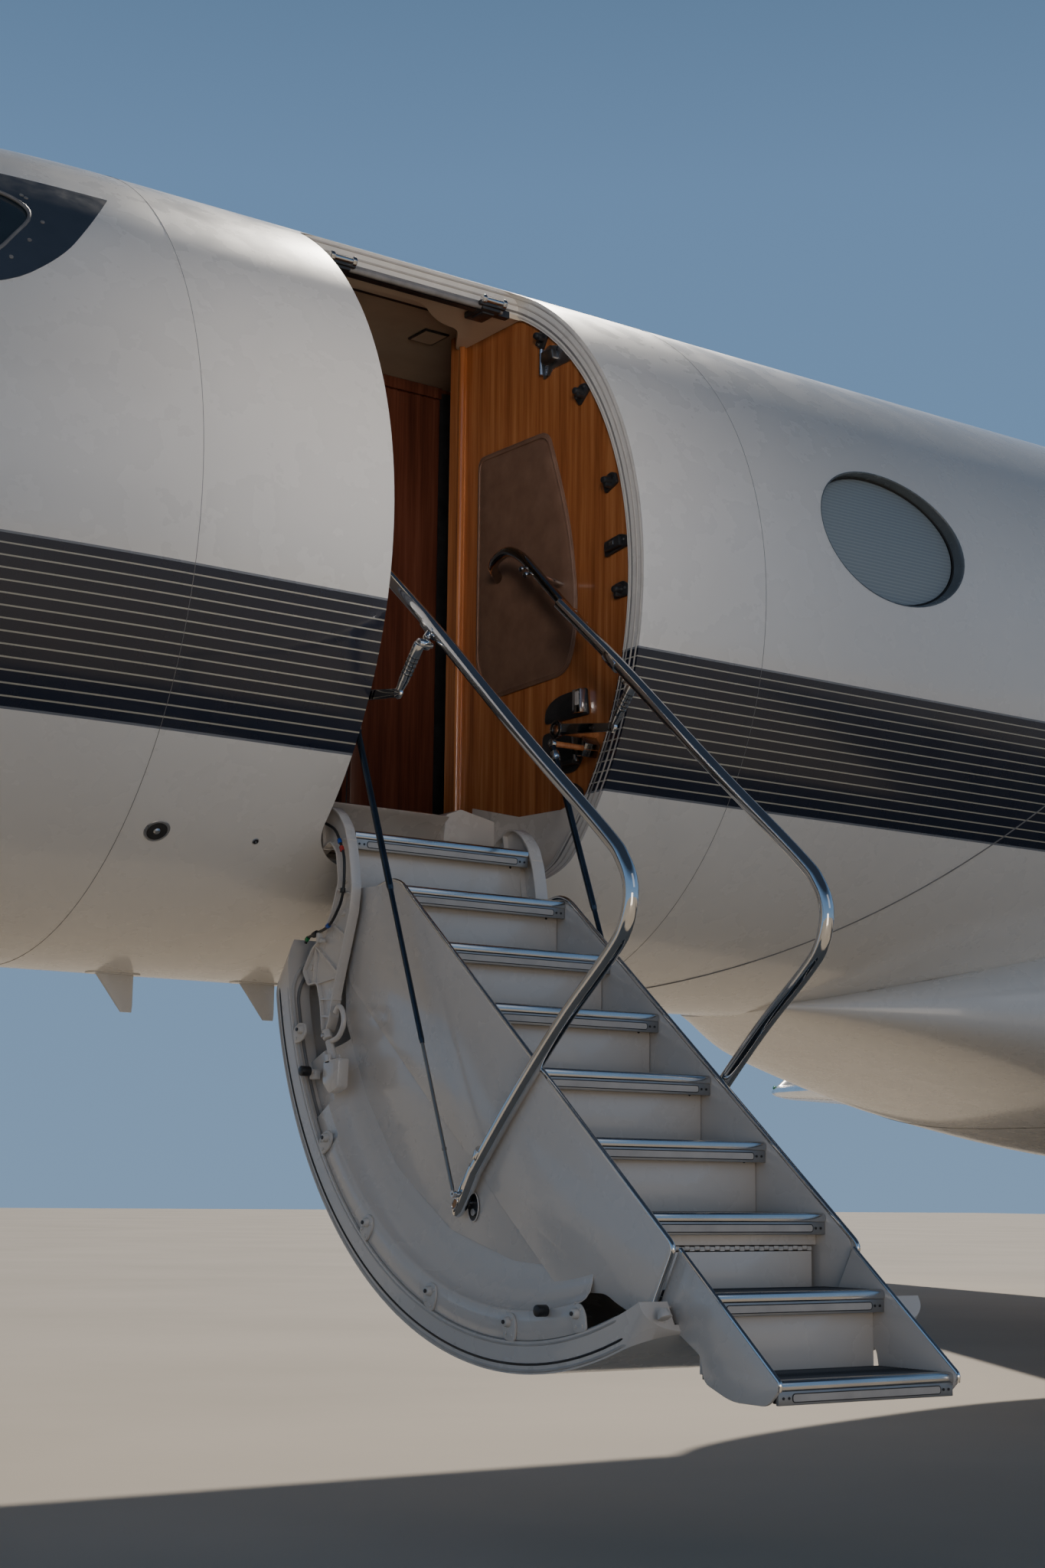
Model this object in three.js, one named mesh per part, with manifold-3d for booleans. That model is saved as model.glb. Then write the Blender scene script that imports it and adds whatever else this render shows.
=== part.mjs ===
// A business jet parked on its gear, with its airstair door lowered.
// Millimetres, +Z up. X runs from the nose (-) to the tail (+), the entry door is on the -Y side,
// and the origin is on the ground under the middle of the overall box.
import * as THREE from "three";
import { mergeVertices } from "three/addons/utils/BufferGeometryUtils.js";
import Module from "manifold-3d";

const wasm = await Module();
wasm.setup();

// Driving dimensions
const AXIS_Z = 2650;            // fuselage axis above the ground
const DOOR_X = -9000;           // station of the airstair's middle
const FUSELAGE_R = 1195;
const WALL = 75;                // skin, frame and lining together
const GAP = 0.3;                // between pieces that touch
const CLEAR = 6;                // between pieces that move past each other
const RING = 48;                // facets round the fuselage
const FLOOR_Z = -670;           // cabin floor's top, from the fuselage axis

// The entry door's opening, from the airstair's middle and round the fuselage from horizontal
const DOOR = { front: -362, aft: 516, sill: -55.5, top: 62, corners: [70, 105], panelCorners: [172, 112],
  sillRound: 74 };
const PARTITION_X = 530;        // front face of the wooden partition behind the door

// Airstair: its hinge line, how far it swings and its steps (Y and Z from the fuselage axis)
const HINGE = { y: -620, z: -985 };
const SWING = 126;
const STEP = { y: -915, z: -841, run: -211.8, rise: -172.5, first: 2, fold: 8 };

// Landing gear
const NOSE_GEAR = { x: -10450, r: 270, w: 175, half: 150 };
const MAIN_GEAR = { x: 1150, y: 2085, r: 440, w: 250, half: 236 };

// Colours: name, colour, roughness, metalness
const FINISHES = [
  ["white", 0xd9d6cf, 0.35, 0],
  ["grey", 0x9b9a98, 0.5, 0.1],
  ["cream", 0xc9bfa8, 0.7, 0],
  ["wood", 0x7a3c1c, 0.35, 0],
  ["dark_wood", 0x2e1410, 0.4, 0],
  ["chrome", 0xc4c7cb, 0.12, 1],
  ["steel", 0x7d8085, 0.4, 0.9],
  ["black", 0x17181b, 0.6, 0],
  ["glass", 0x1c2a33, 0.08, 0],
  ["rubber", 0x1a1a1b, 0.9, 0],
];
const FINISH = Object.fromEntries(FINISHES.map(([name, color, roughness, metalness]) =>
  [name, new THREE.MeshStandardMaterial({ name, color, roughness, metalness })]));

const rad = THREE.MathUtils.degToRad;
const jet = new THREE.Group();
// Everything near the door is placed from the fuselage axis at the airstair's middle
const entry = new THREE.Group();
entry.position.set(DOOR_X, 0, AXIS_Z);
jet.add(entry);

// A closed geometry as a solid, its faces turned outward
function solid(geometry) {
  const bare = geometry.index ? geometry.toNonIndexed() : geometry.clone();
  bare.deleteAttribute("normal");
  bare.deleteAttribute("uv");
  const merged = mergeVertices(bare, 1e-3);
  const points = merged.attributes.position.array;
  const index = Array.from(merged.index.array);
  const corners = [];
  for (let i = 0; i < index.length; i += 3) {
    const [a, b, c] = [index[i], index[i + 1], index[i + 2]];
    if (a !== b && b !== c && a !== c) corners.push([a, b, c]);
  }
  const at = (i) => new THREE.Vector3().fromArray(points, 3 * i);
  const volume = corners.reduce((sum, [a, b, c]) => sum + at(a).dot(at(b).cross(at(c))), 0);
  const triangles = volume < 0 ? corners.map(([a, b, c]) => [a, c, b]) : corners;
  return new wasm.Manifold(new wasm.Mesh({
    numProp: 3,
    vertProperties: new Float32Array(points),
    triVerts: new Uint32Array(triangles.flat()),
  }));
}

const join = (...parts) => parts.reduce((all, one) => all.add(one));
const cut = (body, ...tools) => tools.reduce((all, one) => all.subtract(one), body);

const largest = (shape) => shape.decompose().sort((a, b) => b.volume() - a.volume())[0];

function place(name, shape, finish, group = entry) {
  const { vertProperties, triVerts, numProp } = shape.getMesh();
  const points = new Float32Array(triVerts.length * 3);
  triVerts.forEach((v, i) => {
    for (let k = 0; k < 3; k += 1) points[3 * i + k] = vertProperties[numProp * v + k];
  });
  const geometry = new THREE.BufferGeometry();
  geometry.setAttribute("position", new THREE.BufferAttribute(points, 3));
  const mesh = new THREE.Mesh(mergeVertices(geometry, 1e-3), FINISH[finish]);
  mesh.geometry.computeVertexNormals();
  mesh.name = name;
  group.add(mesh);
  return shape;
}

// Box between two corners
function box(lo, hi) {
  const size = hi.map((v, i) => v - lo[i]);
  const geometry = new THREE.BoxGeometry(...size);
  geometry.translate(...hi.map((v, i) => (v + lo[i]) / 2));
  return solid(geometry);
}

// Round bar between two points
function bar(from, to, radius, sides = 16, endRadius = radius) {
  const a = new THREE.Vector3(...from);
  const b = new THREE.Vector3(...to);
  const geometry = new THREE.CylinderGeometry(endRadius, radius, a.distanceTo(b), sides);
  const turn = new THREE.Quaternion().setFromUnitVectors(
    new THREE.Vector3(0, 1, 0), b.clone().sub(a).normalize());
  geometry.applyQuaternion(turn);
  geometry.translate(...a.add(b).multiplyScalar(0.5).toArray());
  return solid(geometry);
}

// Where an outline's own two axes and its depth point in the model
const PLANES = {
  yz: [[0, 1, 0], [0, 0, 1], [1, 0, 0]],
  xz: [[1, 0, 0], [0, 0, 1], [0, -1, 0]],
  xy: [[1, 0, 0], [0, 1, 0], [0, 0, 1]],
};

// An outline in the yz, xz or xy plane, given depth from one place to another across it
function slab(plane, outline, from, to, curveSegments = 8) {
  const shape = outline instanceof THREE.Shape
    ? outline
    : new THREE.Shape(outline.map(([u, v]) => new THREE.Vector2(u, v)));
  const depth = Math.abs(to - from);
  const geometry = new THREE.ExtrudeGeometry(shape, { depth, bevelEnabled: false, curveSegments });
  const axes = PLANES[plane].map((axis) => new THREE.Vector3(...axis));
  const start = plane === "xz" ? Math.max(from, to) : Math.min(from, to);
  geometry.applyMatrix4(new THREE.Matrix4().makeBasis(...axes));
  const along = plane === "xz" ? [0, start, 0] : axes[2].clone().multiplyScalar(start).toArray();
  geometry.translate(...along);
  return solid(geometry);
}

// Tube through points, its bends rounded
function tube(points, radius, steps = 40, sides = 10, tension = 0.35) {
  const path = new THREE.CatmullRomCurve3(
    points.map((p) => new THREE.Vector3(...p)), false, "catmullrom", tension);
  const ring = new THREE.Shape();
  ring.absarc(0, 0, radius, 0, 2 * Math.PI);
  const section = new THREE.Shape(ring.getPoints(sides / 2).slice(0, sides));
  return solid(new THREE.ExtrudeGeometry(section, { steps, bevelEnabled: false, extrudePath: path }));
}

// Skin through rings of the same number of points, closed by a flat fan at each end
function loft(rings) {
  const count = rings[0].length;
  const points = rings.flat();
  const index = [];
  rings.slice(1).forEach((_, r) => {
    for (let i = 0; i < count; i += 1) {
      const a = r * count + i;
      const b = r * count + ((i + 1) % count);
      index.push(a, b, b + count, a, b + count, a + count);
    }
  });
  [0, rings.length - 1].forEach((r) => {
    const middle = rings[r].reduce((sum, p) => sum.map((v, k) => v + p[k] / count), [0, 0, 0]);
    points.push(middle);
    for (let i = 0; i < count; i += 1) {
      const ends = [r * count + i, r * count + ((i + 1) % count)];
      index.push(points.length - 1, ...(r === 0 ? ends.reverse() : ends));
    }
  });
  const geometry = new THREE.BufferGeometry();
  geometry.setAttribute("position", new THREE.Float32BufferAttribute(points.flat(), 3));
  geometry.setIndex(index);
  return solid(geometry);
}

// Fuselage sections: station, middle's height, half width, height above and depth below the middle
const FUSELAGE = [
  [-13600, -470, 30, 30, 30],
  [-13480, -465, 215, 200, 190],
  [-13200, -450, 400, 370, 345],
  [-12800, -420, 575, 530, 500],
  [-12300, -360, 755, 745, 655],
  [-11700, -240, 945, 1000, 850],
  [-11100, -110, 1085, 1160, 1020],
  [-10500, -30, 1165, 1205, 1145],
  [-9950, 0, 1195, 1195, 1195],
  [4300, 0, 1195, 1195, 1195],
  [5600, 40, 1150, 1165, 1120],
  [7200, 150, 1010, 1060, 960],
  [9000, 330, 770, 870, 720],
  [10800, 560, 470, 600, 445],
  [12000, 720, 245, 340, 240],
  [12350, 770, 165, 215, 165],
];

function sectionAt(x) {
  const i = Math.min(Math.max(FUSELAGE.findIndex((s) => s[0] >= x), 1), FUSELAGE.length - 1);
  const [low, high] = [FUSELAGE[i - 1], FUSELAGE[i]];
  const t = (x - low[0]) / (high[0] - low[0]);
  return low.map((v, k) => v + t * (high[k] - v));
}

function fuselageRing(x, offset) {
  const [, middle, half, up, down] = sectionAt(x);
  return Array.from({ length: RING }, (_, i) => {
    const turn = (2 * Math.PI * i) / RING;
    const height = Math.sin(turn) > 0 ? up : down;
    return [x, (half + offset) * Math.cos(turn), AXIS_Z + middle + (height + offset) * Math.sin(turn)];
  });
}

// A length of the fuselage, its surface moved out by offset
function fuselage(from, to, offset = 0) {
  const stations = [from, ...FUSELAGE.map((s) => s[0]).filter((x) => x > from + 1 && x < to - 1), to];
  return loft(stations.map((x) => fuselageRing(x, offset)));
}

// Fuselage: hollow nose, entry and cabin sections, and a solid tail that shows no inside
const SECTION = { nose: -13600, cockpit: -12950, entry: -9950, cabin: -8000, tail: 3900, end: 12350 };

// Windows: an oval recess on each side of the cabin, its shade drawn
const WINDOW = { first: -7405, pitch: 1060, count: 6, z: 290, halfLength: 321, halfHeight: 238, recess: 32 };
// Cockpit windows as outlines seen from the side (X, Z from the axis), cut through both sides
const SIDE_WINDOWS = [
  [[-10340, 700], [-10500, 500], [-11200, 380], [-11330, 560], [-10960, 755], [-10420, 765]],
  [[-11260, 370], [-11760, 300], [-11900, 400], [-11400, 600]],
];
// Windscreen panes as outlines seen from ahead (Y, Z from the axis)
const WINDSCREEN = [[60, 270], [60, 560], [420, 545], [720, 430], [700, 290], [420, 255]];
const GLASS = { seat: 30, thick: 20, x: [-12650, -10250], z: [150, 900] };

const windowOval = (x, grow) => {
  const oval = new THREE.Shape();
  oval.absellipse(x, AXIS_Z + WINDOW.z, WINDOW.halfLength + grow, WINDOW.halfHeight + grow, 0, 2 * Math.PI);
  return oval;
};

function cockpitCuts() {
  const sides = SIDE_WINDOWS.flatMap((outline) => [-1, 1].map((side) =>
    slab("xz", outline.map(([x, z]) => [x, AXIS_Z + z]), side * 400, side * 1300)));
  const screens = [-1, 1].map((side) =>
    slab("yz", WINDSCREEN.map(([y, z]) => [side * y, AXIS_Z + z]), -13200, -11700));
  return [...sides, ...screens];
}

const glassBand = (grow) => box(
  [GLASS.x[0] - grow, -1300, AXIS_Z + GLASS.z[0] - grow],
  [GLASS.x[1] + grow, 1300, AXIS_Z + GLASS.z[1] + grow]);

function noseWell(grow) {
  const w = NOSE_WELL;
  return box([w.x[0] - grow, -w.half - grow, 0], [w.x[1] + grow, w.half + grow, AXIS_Z + FLOOR_Z - 200]);
}
const NOSE_WELL = { x: [-11250, -10250], half: 230 };

const noseHollow = fuselage(SECTION.cockpit, SECTION.entry + 10, -WALL);
const nose = cut(
  fuselage(SECTION.nose, SECTION.entry - GAP),
  noseHollow,
  fuselage(GLASS.x[0], GLASS.x[1], -GLASS.seat).intersect(glassBand(0)),
  noseWell(0),
  ...cockpitCuts());
place("nose_section", nose, "white", jet);

const glass = fuselage(GLASS.x[0] + GAP, GLASS.x[1] - GAP, -GLASS.seat - GAP)
  .subtract(fuselage(GLASS.x[0] - 10, GLASS.x[1] + 10, -GLASS.seat - GLASS.thick))
  .intersect(glassBand(-GAP));
place("cockpit_glass", glass, "glass", jet);

// The entry door's outline from the side, grown on all sides: its corners are round on the bent wall
function doorCut(grow) {
  const [x0, x1] = [DOOR.front - grow, DOOR.aft + grow];
  const outline = new THREE.Shape();
  const [z0, z1] = [DOOR.sill, DOOR.top].map((turn) => FUSELAGE_R * Math.sin(rad(turn)));
  // The door itself has rounder corners than its opening, which lets it swing out past them
  const [low, high] = grow < 0 ? DOOR.panelCorners : DOOR.corners;
  const [r0, r1] = [[DOOR.sill, low], [DOOR.top, high]].map(([turn, r]) => r * Math.cos(rad(turn)));
  const corners = [
    [x1 - low, z0 - grow + r0, low, r0, -0.5, 0],
    [x1 - high, z1 + grow - r1, high, r1, 0, 0.5],
    [x0 + high, z1 + grow - r1, high, r1, 0.5, 1],
    [x0 + low, z0 - grow + r0, low, r0, 1, 1.5],
  ];
  corners.forEach(([x, z, rx, rz, from, to]) =>
    outline.absellipse(x, z, rx, rz, from * Math.PI, to * Math.PI));
  outline.closePath();
  // The upper edge is cut straight through the wall
  const [c, d] = [Math.cos(rad(DOOR.top)), Math.sin(rad(DOOR.top))];
  const edge = (reach) => [grow * d - reach * c, grow * c + reach * d];
  const below = slab("yz", [edge(0), edge(1500), [-1500, 1500], [-1500, -1500], [0, -1500]], x0 - 5, x1 + 5);
  // The door's lower end swings round the sill, so both follow a circle about the hinge line
  const sill = bar([x0 - 9, HINGE.y, HINGE.z], [x1 + 9, HINGE.y, HINGE.z], DOOR.sillRound - grow, 40);
  return slab("xz", new THREE.Shape(outline.getPoints(5)), -1400, -300).intersect(below).subtract(sill);
}

// A length of the fuselage wall round the door, from the airstair's middle
const toEntry = (shape) => shape.translate(-DOOR_X, 0, -AXIS_Z);
const wall = (x0, x1, outer, inner) => toEntry(
  fuselage(DOOR_X + x0, DOOR_X + x1, outer).subtract(fuselage(DOOR_X + x0 - 5, DOOR_X + x1 + 5, inner)));

// Goose-neck hinge arms: where each stands along the door, and the hinge's eye and pin
const ARMS = [["front", -352, -292], ["aft", 308, 352]];
const ARM_EYE = 22;
const PIN_R = 10;

const entryWall = wall(-950 + GAP, 1000 - GAP, 0, -WALL);
const hingePockets = ARMS.map(([, x0, x1]) => {
  const [a, b] = [x0 - CLEAR, x1 + CLEAR];
  const pocket = slab("yz", [
    [HINGE.y - 25, HINGE.z - 62], [HINGE.y + 40, HINGE.z - 75], [HINGE.y + 165, HINGE.z - 60],
    [HINGE.y + 165, HINGE.z + 150], [HINGE.y - 190, HINGE.z + 150], [HINGE.y - 180, HINGE.z + 25],
    [HINGE.y - 45, HINGE.z - 40],
  ], a, b);
  const mouth = box([a, HINGE.y - 215, HINGE.z + 15], [b, HINGE.y - 20, HINGE.z + 185]);
  return pocket.intersect(toEntry(fuselage(DOOR_X + a - 5, DOOR_X + b + 5, -5))).add(mouth);
});
const hingePins = ARMS.map(([, x0, x1]) => bar(
  [x0 - CLEAR - 10, HINGE.y, HINGE.z], [x1 + CLEAR + 10, HINGE.y, HINGE.z], PIN_R, 24));

// The handrail arms and struts hang from pins: on a lug ahead of the doorway, on the partition aft of it
const LINK = { eye: [-947, -473], elbow: [-1217, -509], tip: [-1318, -392] };
const STRUT_TOP = [-958, -520];
const pinAt = ([y, z], x0, x1, r) => bar([x0, y, z], [x1, y, z], r, 12);
const frontLug = join(
  slab("yz", [[-925, -450], [-1012, -470], [-1000, -560], [-940, -545]], -398, -363),
  pinAt(LINK.eye, -370, -356.3, 14),
  pinAt(STRUT_TOP, -370, -340.9, 8));
const entrySection = join(cut(entryWall, doorCut(0), ...hingePockets), ...hingePins, frontLug);
place("entry_section", entrySection, "white");

const cabinWindows = [-1, 1].flatMap((side) => Array.from({ length: WINDOW.count }, (_, i) =>
  slab("xz", windowOval(WINDOW.first + i * WINDOW.pitch, 0), side * 1100, side * 1300, 18)));
const windowSeat = fuselage(SECTION.cabin - 5, SECTION.tail + 5, 50)
  .subtract(fuselage(SECTION.cabin - 9, SECTION.tail + 9, -WINDOW.recess));
const cabin = fuselage(SECTION.cabin + GAP, SECTION.tail - GAP)
  .subtract(fuselage(SECTION.cabin - 10, SECTION.tail + 10, -WALL))
  .subtract(join(...cabinWindows).intersect(windowSeat));
place("cabin_section", cabin, "white", jet);

const tail = fuselage(SECTION.tail + GAP, SECTION.end);
place("tail_section", tail, "white", jet);

// Belly fairing: station, half width, top and bottom from the axis
const FAIRING = [
  [-7150, 250, -1160, -1190],
  [-6500, 760, -1000, -1360],
  [-5600, 1080, -760, -1560],
  [-4400, 1330, -620, -1700],
  [-2500, 1400, -560, -1760],
  [1600, 1400, -560, -1760],
  [3000, 1180, -680, -1600],
  [4300, 700, -900, -1330],
  [5000, 240, -1020, -1160],
];
const FAIRING_RING = 28;

function fairing(grow) {
  return loft(FAIRING.map(([x, half, top, bottom], i) => {
    const end = i === 0 ? -grow : i === FAIRING.length - 1 ? grow : 0;
    return Array.from({ length: FAIRING_RING }, (_, k) => {
      const turn = (2 * Math.PI * k) / FAIRING_RING;
      const [c, s] = [Math.cos(turn), Math.sin(turn)];
      const square = (v) => Math.sign(v) * Math.abs(v) ** 0.7;
      return [x + end, (half + grow) * square(c),
        AXIS_Z + (top + bottom) / 2 + ((top - bottom) / 2 + grow) * square(s)];
    });
  }));
}
const body = (grow) => fuselage(-12000, SECTION.end, grow);
const belly = fairing(0).subtract(body(GAP));
place("belly_fairing", belly, "white", jet);

// Lifting surfaces: leading edge (X, Y, Z from the axis), chord, thickness ratio and cant
const WING = [
  [-4050, 1000, -1330, 6000, 0.115, 3],
  [-1950, 4200, -1100, 4250, 0.11, 3],
  [3250, 11350, -780, 1550, 0.095, 3],
  [3560, 11650, -725, 1250, 0.09, 35],
  [3900, 11790, -560, 1000, 0.085, 72],
  [4620, 11850, 520, 470, 0.085, 86],
];
const FIN = [
  [6300, 0, 700, 5000, 0.1, 90],
  [7450, 0, 1600, 3750, 0.1, 90],
  [10000, 0, 4850, 2450, 0.09, 90],
];
const TAILPLANE = [
  [12680, -4875, 4900, 920, 0.09, 0],
  [10050, 0, 4900, 2500, 0.09, 0],
  [12680, 4875, 4900, 920, 0.09, 0],
];
// Share of the chord at which each surface is measured, one side
const CHORDWISE = [0, 0.012, 0.05, 0.13, 0.27, 0.45, 0.65, 0.84, 1];

function halfThickness(t) {
  return 5 * (0.2969 * Math.sqrt(t) - 0.126 * t - 0.3516 * t ** 2 + 0.2843 * t ** 3 - 0.1 * t ** 4);
}

function surface(stations, side = 1, grow = 0) {
  return loft(stations.map(([x, y, z, chord, thick, cant]) => {
    const up = [-Math.sin(rad(cant)), Math.cos(rad(cant))];
    const point = (t, face) => {
      const lift = face * (halfThickness(t) * thick * chord + 2 + grow);
      return [x + t * chord, side * (y + up[0] * lift), AXIS_Z + z + up[1] * lift];
    };
    const upper = CHORDWISE.map((t) => point(t, 1));
    const lower = CHORDWISE.slice().reverse().map((t) => point(t, -1));
    return [...upper, ...lower];
  }));
}

// Main gear legs stand in sockets in the wings
const LEG_TOP = AXIS_Z - 1290;
const mainSocket = (side, grow) => bar(
  [MAIN_GEAR.x, side * MAIN_GEAR.y, MAIN_GEAR.r + 300],
  [MAIN_GEAR.x, side * MAIN_GEAR.y, LEG_TOP + grow], 95 + grow, 20);
const SIDES = [["left", -1], ["right", 1]];
SIDES.forEach(([name, side]) => {
  const wing = cut(surface(WING, side), fairing(GAP), body(GAP), mainSocket(side, GAP));
  place(`wing_${name}`, largest(wing), "white", jet);
});

// Engines: nacelle profile (distance behind the inlet, outer and inner radius)
const ENGINE = { x: 4050, y: 2260, z: 640, length: 5150, fan: 900, core: [1080, 3380], duct: 640 };
const NACELLE = [
  [0, 690, 690], [25, 735, 645], [120, 785, 600], [500, 840, 620], [880, 855, ENGINE.duct],
  [1900, 860, ENGINE.duct], [3400, 770, ENGINE.duct], [4300, 655, 610], [5150, 520, 500],
];
const axisAt = (side) => [side * ENGINE.y, AXIS_Z + ENGINE.z];

function turned(profile, side, sides = 32) {
  const geometry = new THREE.LatheGeometry(profile.map(([x, r]) => new THREE.Vector2(r, x)), sides);
  geometry.rotateZ(-Math.PI / 2);
  const [y, z] = axisAt(side);
  geometry.translate(ENGINE.x, y, z);
  return solid(geometry);
}
const outerProfile = (grow) => NACELLE.map(([x, outer]) => [x, outer + grow]);
const ductProfile = NACELLE.slice(1).reverse().map(([x, , inner]) => [x, inner]);
// The nacelle without its duct, for what is cut to sit against it
const nacelleBody = (side, grow) => turned([[0, 0], ...outerProfile(grow), [ENGINE.length, 0]], side);
const PYLON = [
  [5000, 700, 640, 3500, 0.1, 0],
  [5000, 1900, 640, 3300, 0.1, 0],
];
SIDES.forEach(([name, side]) => {
  const ring = turned([...outerProfile(0), ...ductProfile, NACELLE[0].slice(0, 2)], side);
  const [y, z] = axisAt(side);
  const front = ENGINE.x + ENGINE.core[0];
  const shaftHole = bar([front - 50, y, z], [front + 260, y, z], 58.7, 24);
  const [start, stop] = ENGINE.core;
  const core = turned([[start, 0], [start, ENGINE.duct - GAP], [stop, ENGINE.duct - GAP], [stop, 420],
    [stop + 1200, 150], [stop + 1200, 0]], side);
  place(`engine_${name}`, core.subtract(shaftHole), "steel", jet);
  const pylon = cut(surface(PYLON, side), body(GAP), nacelleBody(side, -8));
  place(`nacelle_${name}`, ring.add(largest(pylon)), "white", jet);
  place(`fan_${name}`, fan(side), "steel", jet);
});

// Fan: spinner, disc, shaft and blades in one
function fan(side) {
  const [y, z] = axisAt(side);
  const x = ENGINE.x + ENGINE.fan;
  const hub = turned([[ENGINE.fan - 290, 0], [ENGINE.fan - 200, 90], [ENGINE.fan - 40, 175],
    [ENGINE.fan + 90, 190], [ENGINE.fan + 90, 0]], side, 24);
  const shaft = bar([x + 80, y, z], [x + 400, y, z], 58, 24);
  const root = 150;
  const chord = 190;
  const tip = Math.sqrt((ENGINE.duct - CLEAR) ** 2 - (chord / 2) ** 2);
  const blade = (turn) => {
    const geometry = new THREE.BoxGeometry(18, chord, tip - root);
    geometry.rotateZ(rad(-38));
    geometry.translate(0, 0, (root + tip) / 2);
    geometry.rotateX(turn);
    geometry.translate(x, y, z);
    return solid(geometry);
  };
  const blades = Array.from({ length: 16 }, (_, i) => blade((2 * Math.PI * i) / 16));
  return join(hub, shaft, ...blades);
}

const fin = surface(FIN).subtract(body(GAP)).subtract(surface(TAILPLANE, 1, GAP));
place("fin", largest(fin), "white", jet);
place("tailplane", surface(TAILPLANE), "white", jet);

// Wheels: half profile of a tyre on its rim (share of the half width, share of the radius)
const TYRE = [[0, 1], [0.6, 0.97], [0.95, 0.87], [1, 0.72], [0.75, 0.54], [0.42, 0.5], [0.42, 0.26]];

// Twin wheels and the axle that turns with them
function wheelPair(gear, y, axleR) {
  const one = (offset) => {
    const half = TYRE.map(([u, v]) => [u * gear.w / 2, v * gear.r]);
    const profile = [...half.slice().reverse().map(([u, r]) => [-u, r]), ...half.slice(1)];
    const closed = [[profile[0][0], 0], ...profile, [profile.at(-1)[0], 0]];
    const geometry = new THREE.LatheGeometry(closed.map(([u, r]) => new THREE.Vector2(r, u)), 24);
    geometry.translate(0, y + offset, 0);
    return solid(geometry).translate(gear.x, 0, gear.r);
  };
  const axle = bar([gear.x, y - gear.half, gear.r], [gear.x, y + gear.half, gear.r], axleR, 24);
  return join(one(-gear.half), one(gear.half), axle);
}

const floorUnder = AXIS_Z + FLOOR_Z - 30;
const AXLE = { nose: 34, main: 52 };
const NOSE_SPLIT = 900;
const noseLeg = join(
  bar([NOSE_GEAR.x, 0, NOSE_SPLIT + GAP], [NOSE_GEAR.x, 0, floorUnder - GAP], 78, 20),
  bar([NOSE_GEAR.x, 0, 1350], [NOSE_GEAR.x - 620, 0, floorUnder - 60], 32, 12));
place("nose_gear_leg", noseLeg, "grey", jet);
const noseFork = join(
  bar([NOSE_GEAR.x, 0, NOSE_SPLIT], [NOSE_GEAR.x, 0, NOSE_SPLIT - 130], 98, 20),
  bar([NOSE_GEAR.x, 0, NOSE_SPLIT - 120], [NOSE_GEAR.x, 0, NOSE_GEAR.r], 46, 16),
  bar([NOSE_GEAR.x, -52, NOSE_GEAR.r], [NOSE_GEAR.x, 52, NOSE_GEAR.r], 62, 20),
  slab("xz", [[NOSE_GEAR.x + 40, 300], [NOSE_GEAR.x + 185, 560], [NOSE_GEAR.x + 60, 800],
    [NOSE_GEAR.x + 40, 760], [NOSE_GEAR.x + 135, 560], [NOSE_GEAR.x + 30, 370]], -28, 28),
  bar([NOSE_GEAR.x - 150, 0, NOSE_SPLIT - 65], [NOSE_GEAR.x - 80, 0, NOSE_SPLIT - 65], 42, 16),
).subtract(bar([NOSE_GEAR.x, -80, NOSE_GEAR.r], [NOSE_GEAR.x, 80, NOSE_GEAR.r], AXLE.nose + 0.7, 24));
place("nose_gear_fork", noseFork, "grey", jet);
place("nose_wheels", wheelPair(NOSE_GEAR, 0, AXLE.nose), "rubber", jet);
SIDES.forEach(([name, side]) => {
  const w = NOSE_WELL;
  const inner = w.half - GAP - 14;
  const door = box([w.x[0] + 20, Math.min(side * inner, side * (w.half - GAP)), 1080],
    [w.x[1] - 120, Math.max(side * inner, side * (w.half - GAP)), 1560]);
  place(`nose_gear_door_${name}`, door, "white", jet);
});

SIDES.forEach(([name, side]) => {
  const y = side * MAIN_GEAR.y;
  const foot = MAIN_GEAR.r;
  const leg = join(
    bar([MAIN_GEAR.x, y, foot + 300], [MAIN_GEAR.x, y, LEG_TOP], 95, 20),
    bar([MAIN_GEAR.x, y, foot], [MAIN_GEAR.x, y, foot + 310], 62, 16),
    bar([MAIN_GEAR.x, y - 60, foot], [MAIN_GEAR.x, y + 60, foot], 92, 20),
    slab("xz", [
      [MAIN_GEAR.x + 50, foot + 20], [MAIN_GEAR.x + 230, foot + 240], [MAIN_GEAR.x + 80, foot + 480],
      [MAIN_GEAR.x + 60, foot + 420], [MAIN_GEAR.x + 170, foot + 240], [MAIN_GEAR.x + 40, foot + 90],
    ], y - 35, y + 35),
    bar([MAIN_GEAR.x, y + side * 60, 1000], [MAIN_GEAR.x, y + side * 160, 1000], 30, 12),
  ).subtract(bar([MAIN_GEAR.x, y - 90, foot], [MAIN_GEAR.x, y + 90, foot], AXLE.main + 0.7, 24));
  place(`main_gear_leg_${name}`, leg, "grey", jet);
  place(`main_wheels_${name}`, wheelPair(MAIN_GEAR, y, AXLE.main), "rubber", jet);
  const [d0, d1] = [y + side * (160 + GAP), y + side * 178];
  place(`main_gear_door_${name}`, box([MAIN_GEAR.x - 330, Math.min(d0, d1), 900],
    [MAIN_GEAR.x + 330, Math.max(d0, d1), 1130]), "white", jet);
});

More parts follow.
